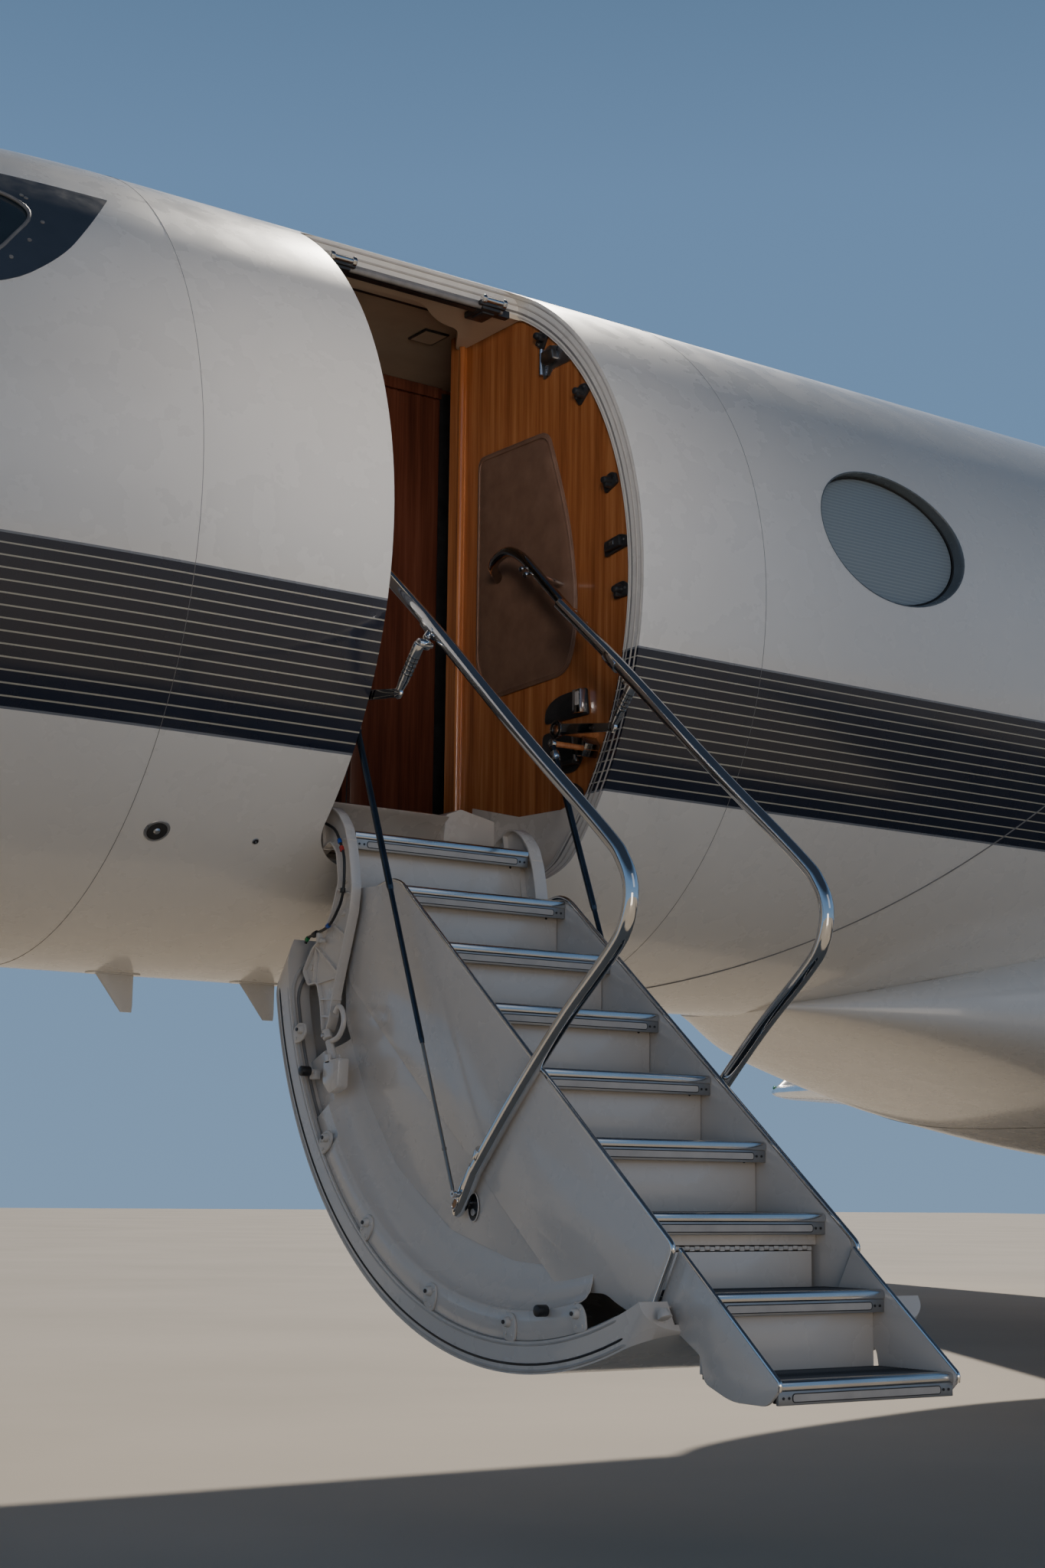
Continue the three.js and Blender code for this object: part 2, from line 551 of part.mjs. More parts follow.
// Cabin fittings seen through the doorway, from the fuselage axis at the airstair's middle
const VESTIBULE = { front: -440, edge: -300, aft: PARTITION_X + 20, ceiling: 1035 };
const inside = (x0, x1) => toEntry(fuselage(DOOR_X + x0, DOOR_X + x1, -WALL - GAP));
const FLOOR = { from: -3850, to: 12850, thick: 30 };
const floorBox = (grow) => box(
  [FLOOR.from, -1100, FLOOR_Z - FLOOR.thick - grow], [FLOOR.to, 1100, FLOOR_Z + grow])
  .subtract(box([VESTIBULE.front, -1200, -800], [VESTIBULE.aft + GAP - grow, VESTIBULE.edge - grow, -500]));
place("cabin_floor", floorBox(0).intersect(inside(FLOOR.from, FLOOR.to)), "dark_wood");

const POST = { y0: -217, y1: -143 };
const partition = join(
  pinAt(LINK.eye, 390.3, PARTITION_X + 5, 14),
  pinAt(STRUT_TOP, 367.9, PARTITION_X + 5, 9),
  box([PARTITION_X, -1200, -1190], [VESTIBULE.aft, POST.y1, VESTIBULE.ceiling - GAP]),
  box([PARTITION_X - 14, POST.y0, FLOOR_Z], [VESTIBULE.aft + 20, POST.y1, VESTIBULE.ceiling - GAP]),
).intersect(inside(-500, 900)).subtract(floorBox(GAP));
place("aft_partition", largest(partition), "wood");

const ceiling = box([VESTIBULE.front, -370, VESTIBULE.ceiling], [1900, 500, VESTIBULE.ceiling + 22])
  .intersect(inside(-500, 2000));
place("entry_ceiling", ceiling, "cream");

const forwardWall = box([VESTIBULE.front - 25, -1200, FLOOR_Z + GAP], [VESTIBULE.front - GAP, 1200, 1200])
  .subtract(box([-600, -290, -900], [-300, 290, 960]))
  .intersect(inside(-600, -300));
place("forward_bulkhead", forwardWall, "cream");

const CABINET = { x0: 385, x1: 1800, face: 290 };
const cabinet = box([CABINET.x0, CABINET.face, FLOOR_Z + GAP], [CABINET.x1, 1200, VESTIBULE.ceiling - GAP])
  .intersect(inside(300, 1900));
place("galley_cabinet", cabinet, "dark_wood");

// Airstair, drawn lowered. A shape drawn on the closed door is swung down round the hinge line.
const swingDown = (shape) => shape.translate(0, -HINGE.y, -HINGE.z).rotate([SWING, 0, 0])
  .translate(0, HINGE.y, HINGE.z);
const stepY = (i) => STEP.y + STEP.run * (i - STEP.first);
const stepZ = (i) => STEP.z + STEP.rise * (i - STEP.first);
const TREAD = 32;
const RISER = { back: 40, thick: 8 };
const PLATE = { front: -278, aft: 285, thick: 10 };
const LOWER = { front: -262, aft: 270, thick: 10 };
const FOLD = { y: -2152, z: -1960, barrel: 6 };

// The door's inside is a shallow pan with a lip round it, and what stands on it is cut to its shape
const PAN = { deep: 22, lip: 70 };
const doorWall = (outer, inner) => wall(DOOR.front - 50, DOOR.aft + 50, outer, inner);
const panRecess = doorWall(-WALL + PAN.deep, -WALL - 5).intersect(doorCut(-PAN.lip));
const doorSeat = swingDown(join(
  doorWall(60, -WALL + PAN.deep - GAP).intersect(doorCut(30)),
  doorWall(60, -WALL - GAP).intersect(doorCut(30)).subtract(doorCut(-PAN.lip - GAP)),
).subtract(bar([-500, HINGE.y, HINGE.z], [700, HINGE.y, HINGE.z], DOOR.sillRound + 2, 40)));
const footTrough = wall(LOWER.front - 12, LOWER.aft + LOWER.thick + 12, -20, -WALL - 5)
  .intersect(box([-400, -900, 940], [600, -300, 1200]));
const doorShell = swingDown(cut(
  doorWall(0, -WALL).intersect(doorCut(-CLEAR)), panRecess, footTrough));
place("door_shell", doorShell, "white");

const ARM_OUTLINE = [
  [-632, -992], [-690, -940], [-775, -903], [-840, -872], [-872, -905], [-878, -985], [-850, -1080],
  [-800, -1180], [-600, -1240], [-600, -1450], [-850, -1440], [-905, -1330], [-915, -1210], [-960, -1100],
  [-1000, -1000], [-995, -900], [-960, -820], [-890, -767], [-815, -760], [-735, -795], [-668, -880],
  [-603, -968],
];
ARMS.forEach(([name, x0, x1]) => {
  const arm = slab("yz", ARM_OUTLINE, x0, x1)
    .add(bar([x0, HINGE.y, HINGE.z], [x1, HINGE.y, HINGE.z], ARM_EYE, 16))
    .subtract(bar([x0 - 5, HINGE.y, HINGE.z], [x1 + 5, HINGE.y, HINGE.z], PIN_R + 0.4, 24))
    .subtract(doorSeat);
  place(`hinge_arm_${name}`, largest(arm), "white");
});

const plateOutline = [
  [-1095, -998], [-1135, -1018], [-2285, -1945], [-2200, -2105], [-2200, -2300], [-700, -1600],
  [-930, -1180], [-1010, -1060],
];
const riser = (i, x0, x1, top = stepZ(i) - TREAD - GAP) => box(
  [x0, stepY(i) + RISER.back, stepZ(i + 1) - TREAD], [x1, stepY(i) + RISER.back + RISER.thick, top]);
const sides = [PLATE.front, PLATE.aft].map((x) =>
  largest(slab("yz", plateOutline, x, x + PLATE.thick).subtract(doorSeat)));
const upperRisers = [3, 4, 5, 6, 7].map((i) => riser(i, PLATE.front + 5, PLATE.aft + 5));
const hingeStrip = box([PLATE.front + 5, FOLD.y + GAP, FOLD.z + FOLD.barrel + GAP],
  [PLATE.aft + 5, FOLD.y + RISER.thick, stepZ(STEP.fold) - TREAD - GAP]);
const stringers = join(...sides, ...upperRisers, hingeStrip);
place("stair_stringers", stringers, "white");

const inner = [PLATE.front + PLATE.thick + GAP, PLATE.aft - GAP];
const tread = (i, x0, x1) => box([x0, stepY(i), stepZ(i) - TREAD],
  [x1, stepY(i - 1) + RISER.back - GAP, stepZ(i)]);
const topTread = join(
  tread(2, ARMS[0][2] + GAP, ARMS[1][1] - GAP).subtract(box([-400, -695, -900], [400, -600, -800])),
  riser(2, ARMS[0][2] + GAP, ARMS[1][1] - GAP, stepZ(2) - 5));
place("tread_2", topTread, "grey");
for (let i = 3; i <= STEP.fold; i += 1) place(`tread_${i}`, tread(i, ...inner), "grey");

// Lower steps, which fold up over the tread above them
const lowerOutline = [
  [-2285, -1950], [-2620, -2224], [-2617, -2242], [-2580, -2275], [-2467, -2274], [-2375, -2240],
  [-2365, -2170], [-2290, -2105], [-2152, -2095], [-2152, -2057], [-2212, -2050], [-2257, -2005],
];
const lowerSides = [LOWER.front, LOWER.aft].map((x) => slab("yz", lowerOutline, x, x + LOWER.thick));
const lowerLeaf = box([LOWER.front, FOLD.y, stepZ(9) - TREAD],
  [LOWER.aft + LOWER.thick, FOLD.y + RISER.thick, FOLD.z]);
const lowerStringers = join(
  ...lowerSides, lowerLeaf,
  bar([LOWER.front, FOLD.y + 3, FOLD.z], [LOWER.aft + LOWER.thick, FOLD.y + 3, FOLD.z], FOLD.barrel, 12),
  riser(9, LOWER.front + 5, LOWER.aft + 5));
place("lower_stringers", lowerStringers, "white");
const lowerInner = [LOWER.front + LOWER.thick + GAP, LOWER.aft - GAP];
place("tread_9", box([lowerInner[0], stepY(9), stepZ(9) - TREAD],
  [lowerInner[1], FOLD.y - GAP, stepZ(9)]), "grey");
place("tread_10", tread(10, ...lowerInner), "grey");

// Threshold plate at the cabin floor's edge
const FLAP = { y: VESTIBULE.edge - 10.4, reach: -430, thick: 16, front: -268, aft: 284, knuckle: 10 };
const flap = join(
  box([FLAP.front, FLAP.reach, FLOOR_Z - FLAP.thick], [FLAP.aft, FLAP.y, FLOOR_Z]),
  bar([FLAP.front, FLAP.y, FLOOR_Z - 10], [FLAP.aft, FLAP.y, FLOOR_Z - 10], FLAP.knuckle, 16));
place("threshold_plate", flap, "grey");

// Handrails: each turns on a pivot low on its side plate, with its outline in Y and Z
const RAIL = { radius: 19, pivot: [-1475, -1868], places: [["front", -300, -1], ["aft", 321, 1]] };
const STRUT_FOOT = [-1492, -1842];
const RAIL_LINE = [
  [-1475, -1868], [-1530, -1795], [-1720, -1600], [-1915, -1420], [-2085, -1285], [-2152, -1215],
  [-2168, -1140], [-2140, -1068], [-2060, -985], [-1740, -716], [-1350, -375], [-1042, -118],
];
const sideLine = (x, line) => line.map(([y, z]) => [x, y, z]);
RAIL.places.forEach(([name, x, out]) => {
  const [y, z] = RAIL.pivot;
  const plateFace = out < 0 ? PLATE.front - GAP : PLATE.aft + PLATE.thick + GAP;
  const foot = bar([plateFace, y, z], [x + out * 17, y, z], 27, 16);
  const clevis = bar([x, ...STRUT_FOOT], [x + out * (out < 0 ? 25.8 : 31.8), ...STRUT_FOOT], 9, 12);
  const rail = tube(sideLine(x, RAIL_LINE), RAIL.radius, 34, 8);
  place(`handrail_${name}`, rail.add(foot).add(clevis), "chrome");
});

// Grab rail inside the doorway, bracketed to the wooden partition
const GRAB = 412;
const grab = join(
  tube([[PARTITION_X + 5, -505, 60], [GRAB + 70, -515, 72], [GRAB + 15, -560, 98], [GRAB, -640, 112],
    [GRAB, -740, 112], [GRAB, -820, 62], [GRAB, -1035, -118]], RAIL.radius, 26, 8),
  bar([GRAB, -800, 68], [PARTITION_X + 5, -770, 30], 9, 8),
).subtract(box([PARTITION_X - GAP, -1000, -100], [PARTITION_X + 60, -400, 200]));
place("grab_rail", grab, "chrome");

// Arms that steady the handrails, each turning on the doorway's frame
// Name, outer and inner face of the arm, and where its tip meets the rail
const LINKS = [["front", -356, -344, -322], ["aft", 390, 376, 343]];
LINKS.forEach(([name, far, near, tip]) => {
  const at = ([y, z], x) => [x, y, z];
  const leg = (from, to, half) => {
    const along = new THREE.Vector2(to[0] - from[0], to[1] - from[1]).normalize().multiplyScalar(half);
    const outline = [
      [from[0] - along.y, from[1] + along.x], [from[0] + along.y, from[1] - along.x],
      [to[0] + along.y, to[1] - along.x], [to[0] - along.y, to[1] + along.x],
    ];
    return slab("yz", outline, Math.min(far, near), Math.max(far, near));
  };
  const link = join(
    bar(at(LINK.eye, far), at(LINK.eye, near), 30, 20),
    leg(LINK.eye, LINK.elbow, 16),
    bar(at(LINK.elbow, far), at(LINK.elbow, near), 21, 16),
    leg(LINK.elbow, LINK.tip, 14),
    bar(at(LINK.tip, far), at(LINK.tip, tip), 15, 12));
  place(`rail_arm_${name}`, link, "chrome");
});

// Three-stage struts from the doorway's frame to the handrails' feet
const STRUT = { top: STRUT_TOP, foot: STRUT_FOOT, bore: 0.8 };
// Name, radius, and where each stage starts and ends along the strut
const STAGES = [["tube", 9.5, 0, 560], ["sleeve", 7.2, 500, 1010], ["rod", 4.8, 950, 1426]];
const STRUTS = [["front", -331], ["aft", 358]];
const strutRun = new THREE.Vector2(...STRUT.foot).sub(new THREE.Vector2(...STRUT.top)).normalize();
const onStrut = (x, s) => [x, STRUT.top[0] + strutRun.x * s, STRUT.top[1] + strutRun.y * s];
STRUTS.forEach(([name, x]) => {
  STAGES.forEach(([stage, radius, from, to], i) => {
    let piece = bar(onStrut(x, from), onStrut(x, to), radius, 14);
    const next = STAGES[i + 1];
    if (next) {
      // Each stage is bored for the next, which slides into it
      const start = i === 0 ? 14 : from + 4;
      piece = piece.subtract(bar(onStrut(x, start), onStrut(x, to + 5), next[1] + STRUT.bore, 14));
    }
    place(`strut_${stage}_${name}`, piece, i === 0 ? "black" : "steel");
  });
});

// Belly blade aerials
[["front", -570], ["rear", -80]].forEach(([name, x]) => {
  const blade = slab("xz", [[x - 75, -1185], [x + 60, -1185], [x + 60, -1310], [x + 18, -1310]], -7, 7)
    .subtract(toEntry(fuselage(DOOR_X - 900, DOOR_X + 900, GAP)));
  place(`belly_aerial_${name}`, blade, "white");
});

export default jet;
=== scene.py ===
"""A business jet parked on its gear with its airstair door lowered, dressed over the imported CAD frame.

Metres, +Z up. X runs from the nose (-) to the tail (+) and the entry door is on the -Y side.
Pieces near the door are given from the fuselage axis at the airstair's middle, like the CAD.
"""
import bisect
import math

import bmesh
import bpy
from mathutils import Matrix, Vector
from mathutils.geometry import interpolate_bezier


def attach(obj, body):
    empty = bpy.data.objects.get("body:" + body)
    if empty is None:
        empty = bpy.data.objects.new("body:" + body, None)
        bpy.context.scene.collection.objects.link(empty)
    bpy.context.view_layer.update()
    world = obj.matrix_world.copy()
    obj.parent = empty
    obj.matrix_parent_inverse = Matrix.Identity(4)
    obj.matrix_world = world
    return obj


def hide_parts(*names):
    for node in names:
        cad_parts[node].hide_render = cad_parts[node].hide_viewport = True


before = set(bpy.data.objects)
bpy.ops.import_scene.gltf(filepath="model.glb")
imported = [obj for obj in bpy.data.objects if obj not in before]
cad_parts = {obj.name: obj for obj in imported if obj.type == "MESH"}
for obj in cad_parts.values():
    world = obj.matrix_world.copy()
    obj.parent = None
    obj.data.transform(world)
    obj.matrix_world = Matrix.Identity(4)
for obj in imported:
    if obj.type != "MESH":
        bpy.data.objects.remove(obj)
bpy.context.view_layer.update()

# Shared sizes, as in the CAD
AXIS_Z = 2.65
DOOR_X = -9.0
FUSELAGE_R = 1.195
WALL = 0.075
FLOOR_Z = -0.67
HINGE = (-0.620, -0.985)
SWING = math.radians(126)
ENTRY = Vector((DOOR_X, 0, AXIS_Z))
SIDES = (("left", -1), ("right", 1))


def placed(name, data):
    """A new object in the scene."""
    obj = bpy.data.objects.new(name, data)
    bpy.context.collection.objects.link(obj)
    return obj


# Camera: where the photograph was taken from, fitted on the door, steps and stripes
CAMERA = {"place": (-12.572, -6.298, 0.81), "yaw": 35.597, "pitch": 10.23, "roll": 0.583, "lens": 52.215}


def make_camera():
    yaw, pitch, roll = (math.radians(CAMERA[k]) for k in ("yaw", "pitch", "roll"))
    ahead = Vector((math.cos(pitch) * math.sin(yaw), math.cos(pitch) * math.cos(yaw), math.sin(pitch)))
    level = Vector((math.cos(yaw), -math.sin(yaw), 0))
    above = level.cross(ahead)
    right = math.cos(roll) * level + math.sin(roll) * above
    up = -math.sin(roll) * level + math.cos(roll) * above
    data = bpy.data.cameras.new("camera")
    data.lens = CAMERA["lens"]
    data.sensor_width = 36
    data.clip_start = 0.05
    data.clip_end = 500
    camera = placed("camera", data)
    turn = Matrix((right, up, -ahead)).transposed().to_4x4()
    camera.matrix_world = Matrix.Translation(CAMERA["place"]) @ turn
    bpy.context.scene.camera = camera


make_camera()


# Materials

class Nodes:
    """A node material under construction."""

    def __init__(self, name, color=(0.8, 0.8, 0.8), rough=0.4, metal=0.0, **sockets):
        self.material = bpy.data.materials.new(name)
        self.material.use_nodes = True
        self.tree = self.material.node_tree
        self.shader = self.tree.nodes["Principled BSDF"]
        self.set("Base Color", color)
        self.set("Roughness", rough)
        self.set("Metallic", metal)
        for key, value in sockets.items():
            self.set(key.replace("_", " "), value)

    def set(self, key, value):
        if isinstance(value, tuple) and len(value) == 3 and self.shader.inputs[key].type == "RGBA":
            value = (*value, 1)
        self.feed(self.shader.inputs[key], value)

    def feed(self, socket, value):
        if isinstance(value, bpy.types.NodeSocket):
            self.tree.links.new(value, socket)
        else:
            socket.default_value = value

    def add(self, kind, *values, **settings):
        node = self.tree.nodes.new("ShaderNode" + kind)
        for key, value in settings.items():
            setattr(node, key, value)
        for i, value in enumerate(values):
            if value is not None:
                self.feed(node.inputs[i], value)
        return node

    def math(self, operation, *values):
        return self.add("Math", *values, operation=operation).outputs[0]

    def place(self, scale=(1, 1, 1)):
        """Object coordinates, stretched."""
        return self.add("Mapping", self.add("TexCoord").outputs["Object"], None, None, scale).outputs[0]

    def axis(self, index, source=None):
        """One of three coordinates, of the object where no source is given."""
        return self.add("SeparateXYZ", source or self.add("TexCoord").outputs["Object"]).outputs[index]

    def noise(self, scale, detail=3.0, rough=0.55, coords=None):
        node = self.add("TexNoise")
        for key, value in (("Vector", coords or self.place()), ("Scale", scale), ("Detail", detail),
                           ("Roughness", rough)):
            self.feed(node.inputs[key], value)
        return node.outputs["Fac"]

    def ramp(self, value, *stops):
        node = self.add("ValToRGB", value)
        ramp = node.color_ramp
        while len(ramp.elements) < len(stops):
            ramp.elements.new(0.5)
        for element, (place, color) in zip(ramp.elements, stops):
            element.position = place
            element.color = (*color, 1) if isinstance(color, tuple) else (color, color, color, 1)
        return node.outputs[0]

    def mix(self, share, a, b):
        node = self.add("Mix", data_type="RGBA")
        for key, value in (("Factor", share), ("A", a), ("B", b)):
            socket = [s for s in node.inputs if s.name == key and s.enabled][0]
            self.feed(socket, (*value, 1) if isinstance(value, tuple) and len(value) == 3 else value)
        return [s for s in node.outputs if s.enabled][0]

    def bump(self, height, strength=0.3, distance=0.002):
        node = self.add("Bump")
        self.feed(node.inputs["Strength"], strength)
        self.feed(node.inputs["Distance"], distance)
        self.feed(node.inputs["Height"], height)
        self.set("Normal", node.outputs[0])


def tinted(name, low, high, scale, rough, metal=0.0, bump=0.0, fine=None, distance=0.0006, **sockets):
    """A finish whose colour drifts between two tones, its roughness with it, with an optional fine bump."""
    n = Nodes(name, high, rough[1], metal, **sockets)
    drift = n.noise(scale, 4)
    n.set("Base Color", n.ramp(drift, (0.3, low), (0.7, high)))
    n.set("Roughness", n.ramp(n.noise(scale * 3.1, 3), (0.3, rough[0]), (0.7, rough[1])))
    if bump:
        n.bump(n.noise(fine or scale * 20, 2), bump, distance)
    return n


BAND = {"top": -0.238, "low": -0.651, "edge": 0.006, "pins": 13, "pin": 0.0040}
NAVY = (0.010, 0.014, 0.030)
PIN_GOLD = (0.44, 0.41, 0.33)
WHITE = (0.80, 0.765, 0.71)
WHITE_LOW = (0.76, 0.72, 0.665)


def gloss_paint(name, height=None, low=WHITE_LOW, high=WHITE, bands=None):
    """Gloss paint. Where bands is given, as (top, low) heights, it carries the dark band with pin lines."""
    n = Nodes(name, high, 0.3, Coat_Weight=0.55, Coat_Roughness=0.09)
    cloud = n.noise(0.9, 5, 0.6)
    white = n.ramp(cloud, (0.32, low), (0.68, high))
    n.set("Roughness", n.ramp(n.noise(7, 4), (0.35, 0.24), (0.75, 0.33)))
    n.bump(n.noise(55, 2), 0.035, 0.001)
    if not bands:
        n.set("Base Color", white)
        return n
    z = height(n)
    top, bottom = bands
    pitch = (top - bottom - 0.03) / BAND["pins"]
    inside = n.math("MULTIPLY", n.math("LESS_THAN", z, top), n.math("GREATER_THAN", z, bottom))
    core = n.math("MULTIPLY", n.math("LESS_THAN", z, top - BAND["edge"]),
                  n.math("GREATER_THAN", z, bottom + BAND["edge"]))
    wave = n.math("FRACT", n.math("DIVIDE", n.math("SUBTRACT", z, bottom + 0.015), pitch))
    off = n.math("ABSOLUTE", n.math("SUBTRACT", wave, 0.5))
    pin = n.math("LESS_THAN", off, BAND["pin"] / pitch / 2)
    dark = n.mix(n.math("MULTIPLY", pin, core), NAVY, PIN_GOLD)
    banded = n.mix(core, (0.20, 0.21, 0.23), dark)
    n.set("Base Color", n.mix(inside, white, banded))
    return n


def row_height(n):
    """Height from the fuselage axis."""
    return n.math("SUBTRACT", n.axis(2), AXIS_Z)


def closed_height(n):
    """Height from the fuselage axis with the door shut."""
    source = n.add("Attribute", attribute_name="closed").outputs["Vector"]
    return n.math("SUBTRACT", n.axis(2, source), AXIS_Z)


def wood(name, dark, mid, light):
    """Varnished veneer with its grain standing upright."""
    n = Nodes(name, mid, 0.22, Coat_Weight=0.5, Coat_Roughness=0.12)
    streak = n.noise(2.2, 6, 0.62, n.place((14, 14, 0.55)))
    fibre = n.noise(9, 5, 0.7, n.place((22, 22, 0.35)))
    tone = n.math("ADD", n.math("MULTIPLY", streak, 0.72), n.math("MULTIPLY", fibre, 0.28))
    n.set("Base Color", n.ramp(tone, (0.30, dark), (0.5, mid), (0.70, light)))
    n.bump(fibre, 0.06, 0.0008)
    return n


def leather(name, low, high):
    n = tinted(name, low, high, 14, (0.42, 0.55))
    cells = n.add("TexVoronoi", feature="DISTANCE_TO_EDGE")
    n.feed(cells.inputs["Vector"], n.place())
    n.feed(cells.inputs["Scale"], 900)
    n.bump(cells.outputs["Distance"], 0.25, 0.0006)
    return n


def ribbed_with_painted_shade(name, color, dark, pitch, rough, axis=2, depth=0.0008, metal=0.0, share=0.5):
    """A finish with fine parallel ribs, across one axis, the valleys between them painted dark as painted
    shade.
    """
    n = Nodes(name, color, rough, metal)
    wave = n.math("PINGPONG", n.math("DIVIDE", n.axis(axis), pitch), 0.5)
    # Painted shade: the ribs' valleys take the dark tone, the rib tops the main colour.
    n.set("Base Color", n.mix(n.ramp(wave, (share * 0.3, 0.0), (share * 0.7, 1.0)), dark, color))
    n.bump(wave, 0.6, depth)
    return n


M = {
    "paint": gloss_paint("paint", row_height, bands=(BAND["top"], BAND["low"])),
    "door_paint": gloss_paint("door_paint", closed_height, bands=(BAND["top"], BAND["low"])),
    "winglet_paint": gloss_paint("winglet_paint", row_height, bands=(-0.40, -0.655)),
    "white": gloss_paint("white"),
    "liner": gloss_paint("liner", low=(0.66, 0.60, 0.535), high=(0.73, 0.665, 0.595)),
    "wing": gloss_paint("wing", low=(0.68, 0.64, 0.59), high=(0.74, 0.70, 0.65)),
    "grey": tinted("grey", (0.42, 0.42, 0.41), (0.52, 0.52, 0.50), 6, (0.35, 0.5), bump=0.05, fine=300),
    "cast": tinted("cast", (0.60, 0.555, 0.50), (0.72, 0.665, 0.60), 9, (0.35, 0.48), bump=0.10, fine=240),
    "chrome": tinted("chrome", (0.66, 0.65, 0.64), (0.78, 0.77, 0.76), 5, (0.04, 0.09), 1.0),
    "dark_chrome": tinted("dark_chrome", (0.25, 0.24, 0.24), (0.36, 0.35, 0.34), 5, (0.06, 0.12), 1.0),
    "steel": tinted("steel", (0.40, 0.41, 0.43), (0.55, 0.56, 0.58), 18, (0.24, 0.4), 1.0, bump=0.04,
                    fine=500),
    "polished": tinted("polished", (0.62, 0.63, 0.65), (0.74, 0.75, 0.77), 3, (0.10, 0.2), 1.0),
    "titanium": tinted("titanium", (0.22, 0.20, 0.18), (0.34, 0.31, 0.28), 5, (0.3, 0.5), 1.0),
    "black": tinted("black", (0.012, 0.012, 0.013), (0.03, 0.03, 0.032), 25, (0.28, 0.45), bump=0.05),
    "tube": tinted("tube", (0.035, 0.045, 0.06), (0.07, 0.085, 0.105), 12, (0.12, 0.2), 0.8),
    "rubber": tinted("rubber", (0.012, 0.012, 0.012), (0.028, 0.027, 0.026), 12, (0.6, 0.8), bump=0.15,
                     fine=260),
    "seal": tinted("seal", (0.16, 0.15, 0.145), (0.25, 0.235, 0.22), 20, (0.45, 0.6), bump=0.06),
    "pale_seal": tinted("pale_seal", (0.44, 0.405, 0.37), (0.54, 0.50, 0.455), 14, (0.3, 0.4), bump=0.04),
    "cream": tinted("cream", (0.70, 0.57, 0.42), (0.80, 0.67, 0.51), 3, (0.6, 0.75), bump=0.10, fine=420),
    "cream_dark": tinted("cream_dark", (0.46, 0.36, 0.26), (0.56, 0.45, 0.33), 5, (0.6, 0.8), bump=0.12,
                         fine=380),
    "carpet": tinted("carpet", (0.10, 0.075, 0.06), (0.20, 0.155, 0.125), 160, (0.9, 1.0), bump=0.9, fine=900,
                     distance=0.003, Sheen_Weight=0.3),
    "wood": wood("wood", (0.175, 0.046, 0.014), (0.37, 0.125, 0.040), (0.56, 0.235, 0.090)),
    "dark_wood": wood("dark_wood", (0.050, 0.016, 0.011), (0.115, 0.036, 0.021), (0.190, 0.066, 0.038)),
    "leather": leather("leather", (0.150, 0.080, 0.052), (0.205, 0.116, 0.078)),
    # Ribbed finishes: each one's second colour is painted shade in the valleys between ribs and in the folds
    # of the window blind's pleats.
    "antislip": ribbed_with_painted_shade("antislip", (0.10, 0.10, 0.10), (0.025, 0.025, 0.026), 0.006, 0.7, axis=1,
                      depth=0.0015),
    "ridged": ribbed_with_painted_shade("ridged", (0.42, 0.42, 0.41), (0.12, 0.12, 0.12), 0.0052, 0.4, axis=1, metal=0.7,
                    depth=0.002),
    "shade": ribbed_with_painted_shade("shade", (0.36, 0.40, 0.41), (0.26, 0.295, 0.31), 0.0125, 0.5, depth=0.002, share=0.8),
    "reveal": tinted("reveal", (0.10, 0.115, 0.125), (0.15, 0.17, 0.18), 8, (0.2, 0.3), bump=0.03),
    "steel_bright": tinted("steel_bright", (0.54, 0.53, 0.52), (0.64, 0.63, 0.62), 6, (0.14, 0.22), 1.0),
    "steel_satin": tinted("steel_satin", (0.30, 0.30, 0.30), (0.37, 0.37, 0.365), 8, (0.34, 0.46), 0.7),
    "amber": tinted("amber", (0.30, 0.12, 0.03), (0.48, 0.22, 0.07), 30, (0.15, 0.25)),
    "lamp": tinted("lamp", (0.75, 0.75, 0.72), (0.86, 0.86, 0.83), 20, (0.08, 0.15)),
    "red": tinted("red", (0.35, 0.02, 0.02), (0.5, 0.04, 0.03), 20, (0.2, 0.3)),
    "green": tinted("green", (0.01, 0.2, 0.06), (0.02, 0.3, 0.1), 20, (0.2, 0.3)),
    "blue": tinted("blue", (0.01, 0.05, 0.3), (0.02, 0.09, 0.42), 20, (0.2, 0.3)),
}


def glass_material():
    n = Nodes("glass", (0.03, 0.045, 0.055), 0.04, Coat_Weight=1.0, Coat_Roughness=0.02, IOR=1.5)
    n.set("Base Color", n.ramp(n.noise(2.0, 3), (0.3, (0.018, 0.028, 0.036)), (0.7, (0.04, 0.06, 0.075))))
    n.set("Roughness", n.ramp(n.noise(9, 2), (0.3, 0.03), (0.7, 0.07)))
    return n


M["glass"] = glass_material()
M = {key: n.material for key, n in M.items()}


# Mesh tools

def link(name, mesh, finish, body="root", stands_for=(), smooth=35):
    """Puts a mesh, or several as one, in the scene as a piece that rides on a body."""
    if isinstance(mesh, list):
        mesh = merged(mesh)
    obj = placed(name, mesh)
    finishes = finish if isinstance(finish, (list, tuple)) else [finish]
    kept = [polygon.material_index for polygon in mesh.polygons]
    mesh.materials.clear()
    for key in finishes:
        mesh.materials.append(M[key])
    mesh.polygons.foreach_set("material_index", [min(i, len(finishes) - 1) for i in kept])
    if smooth is not None:
        mesh.shade_smooth()
        mesh.set_sharp_from_angle(angle=math.radians(smooth))
    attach(obj, body)
    if stands_for:
        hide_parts(*([stands_for] if isinstance(stands_for, str) else stands_for))
    return obj


def fit(name, mesh, *settings, **more):
    """Links a mesh, or several as one, given from the fuselage axis at the airstair's middle."""
    return link(name, shifted(merged(mesh) if isinstance(mesh, list) else mesh), *settings, **more)


def raw_mesh(name, points, faces):
    mesh = bpy.data.meshes.new(name)
    mesh.from_pydata([tuple(p) for p in points], [], faces)
    mesh.validate()
    return mesh


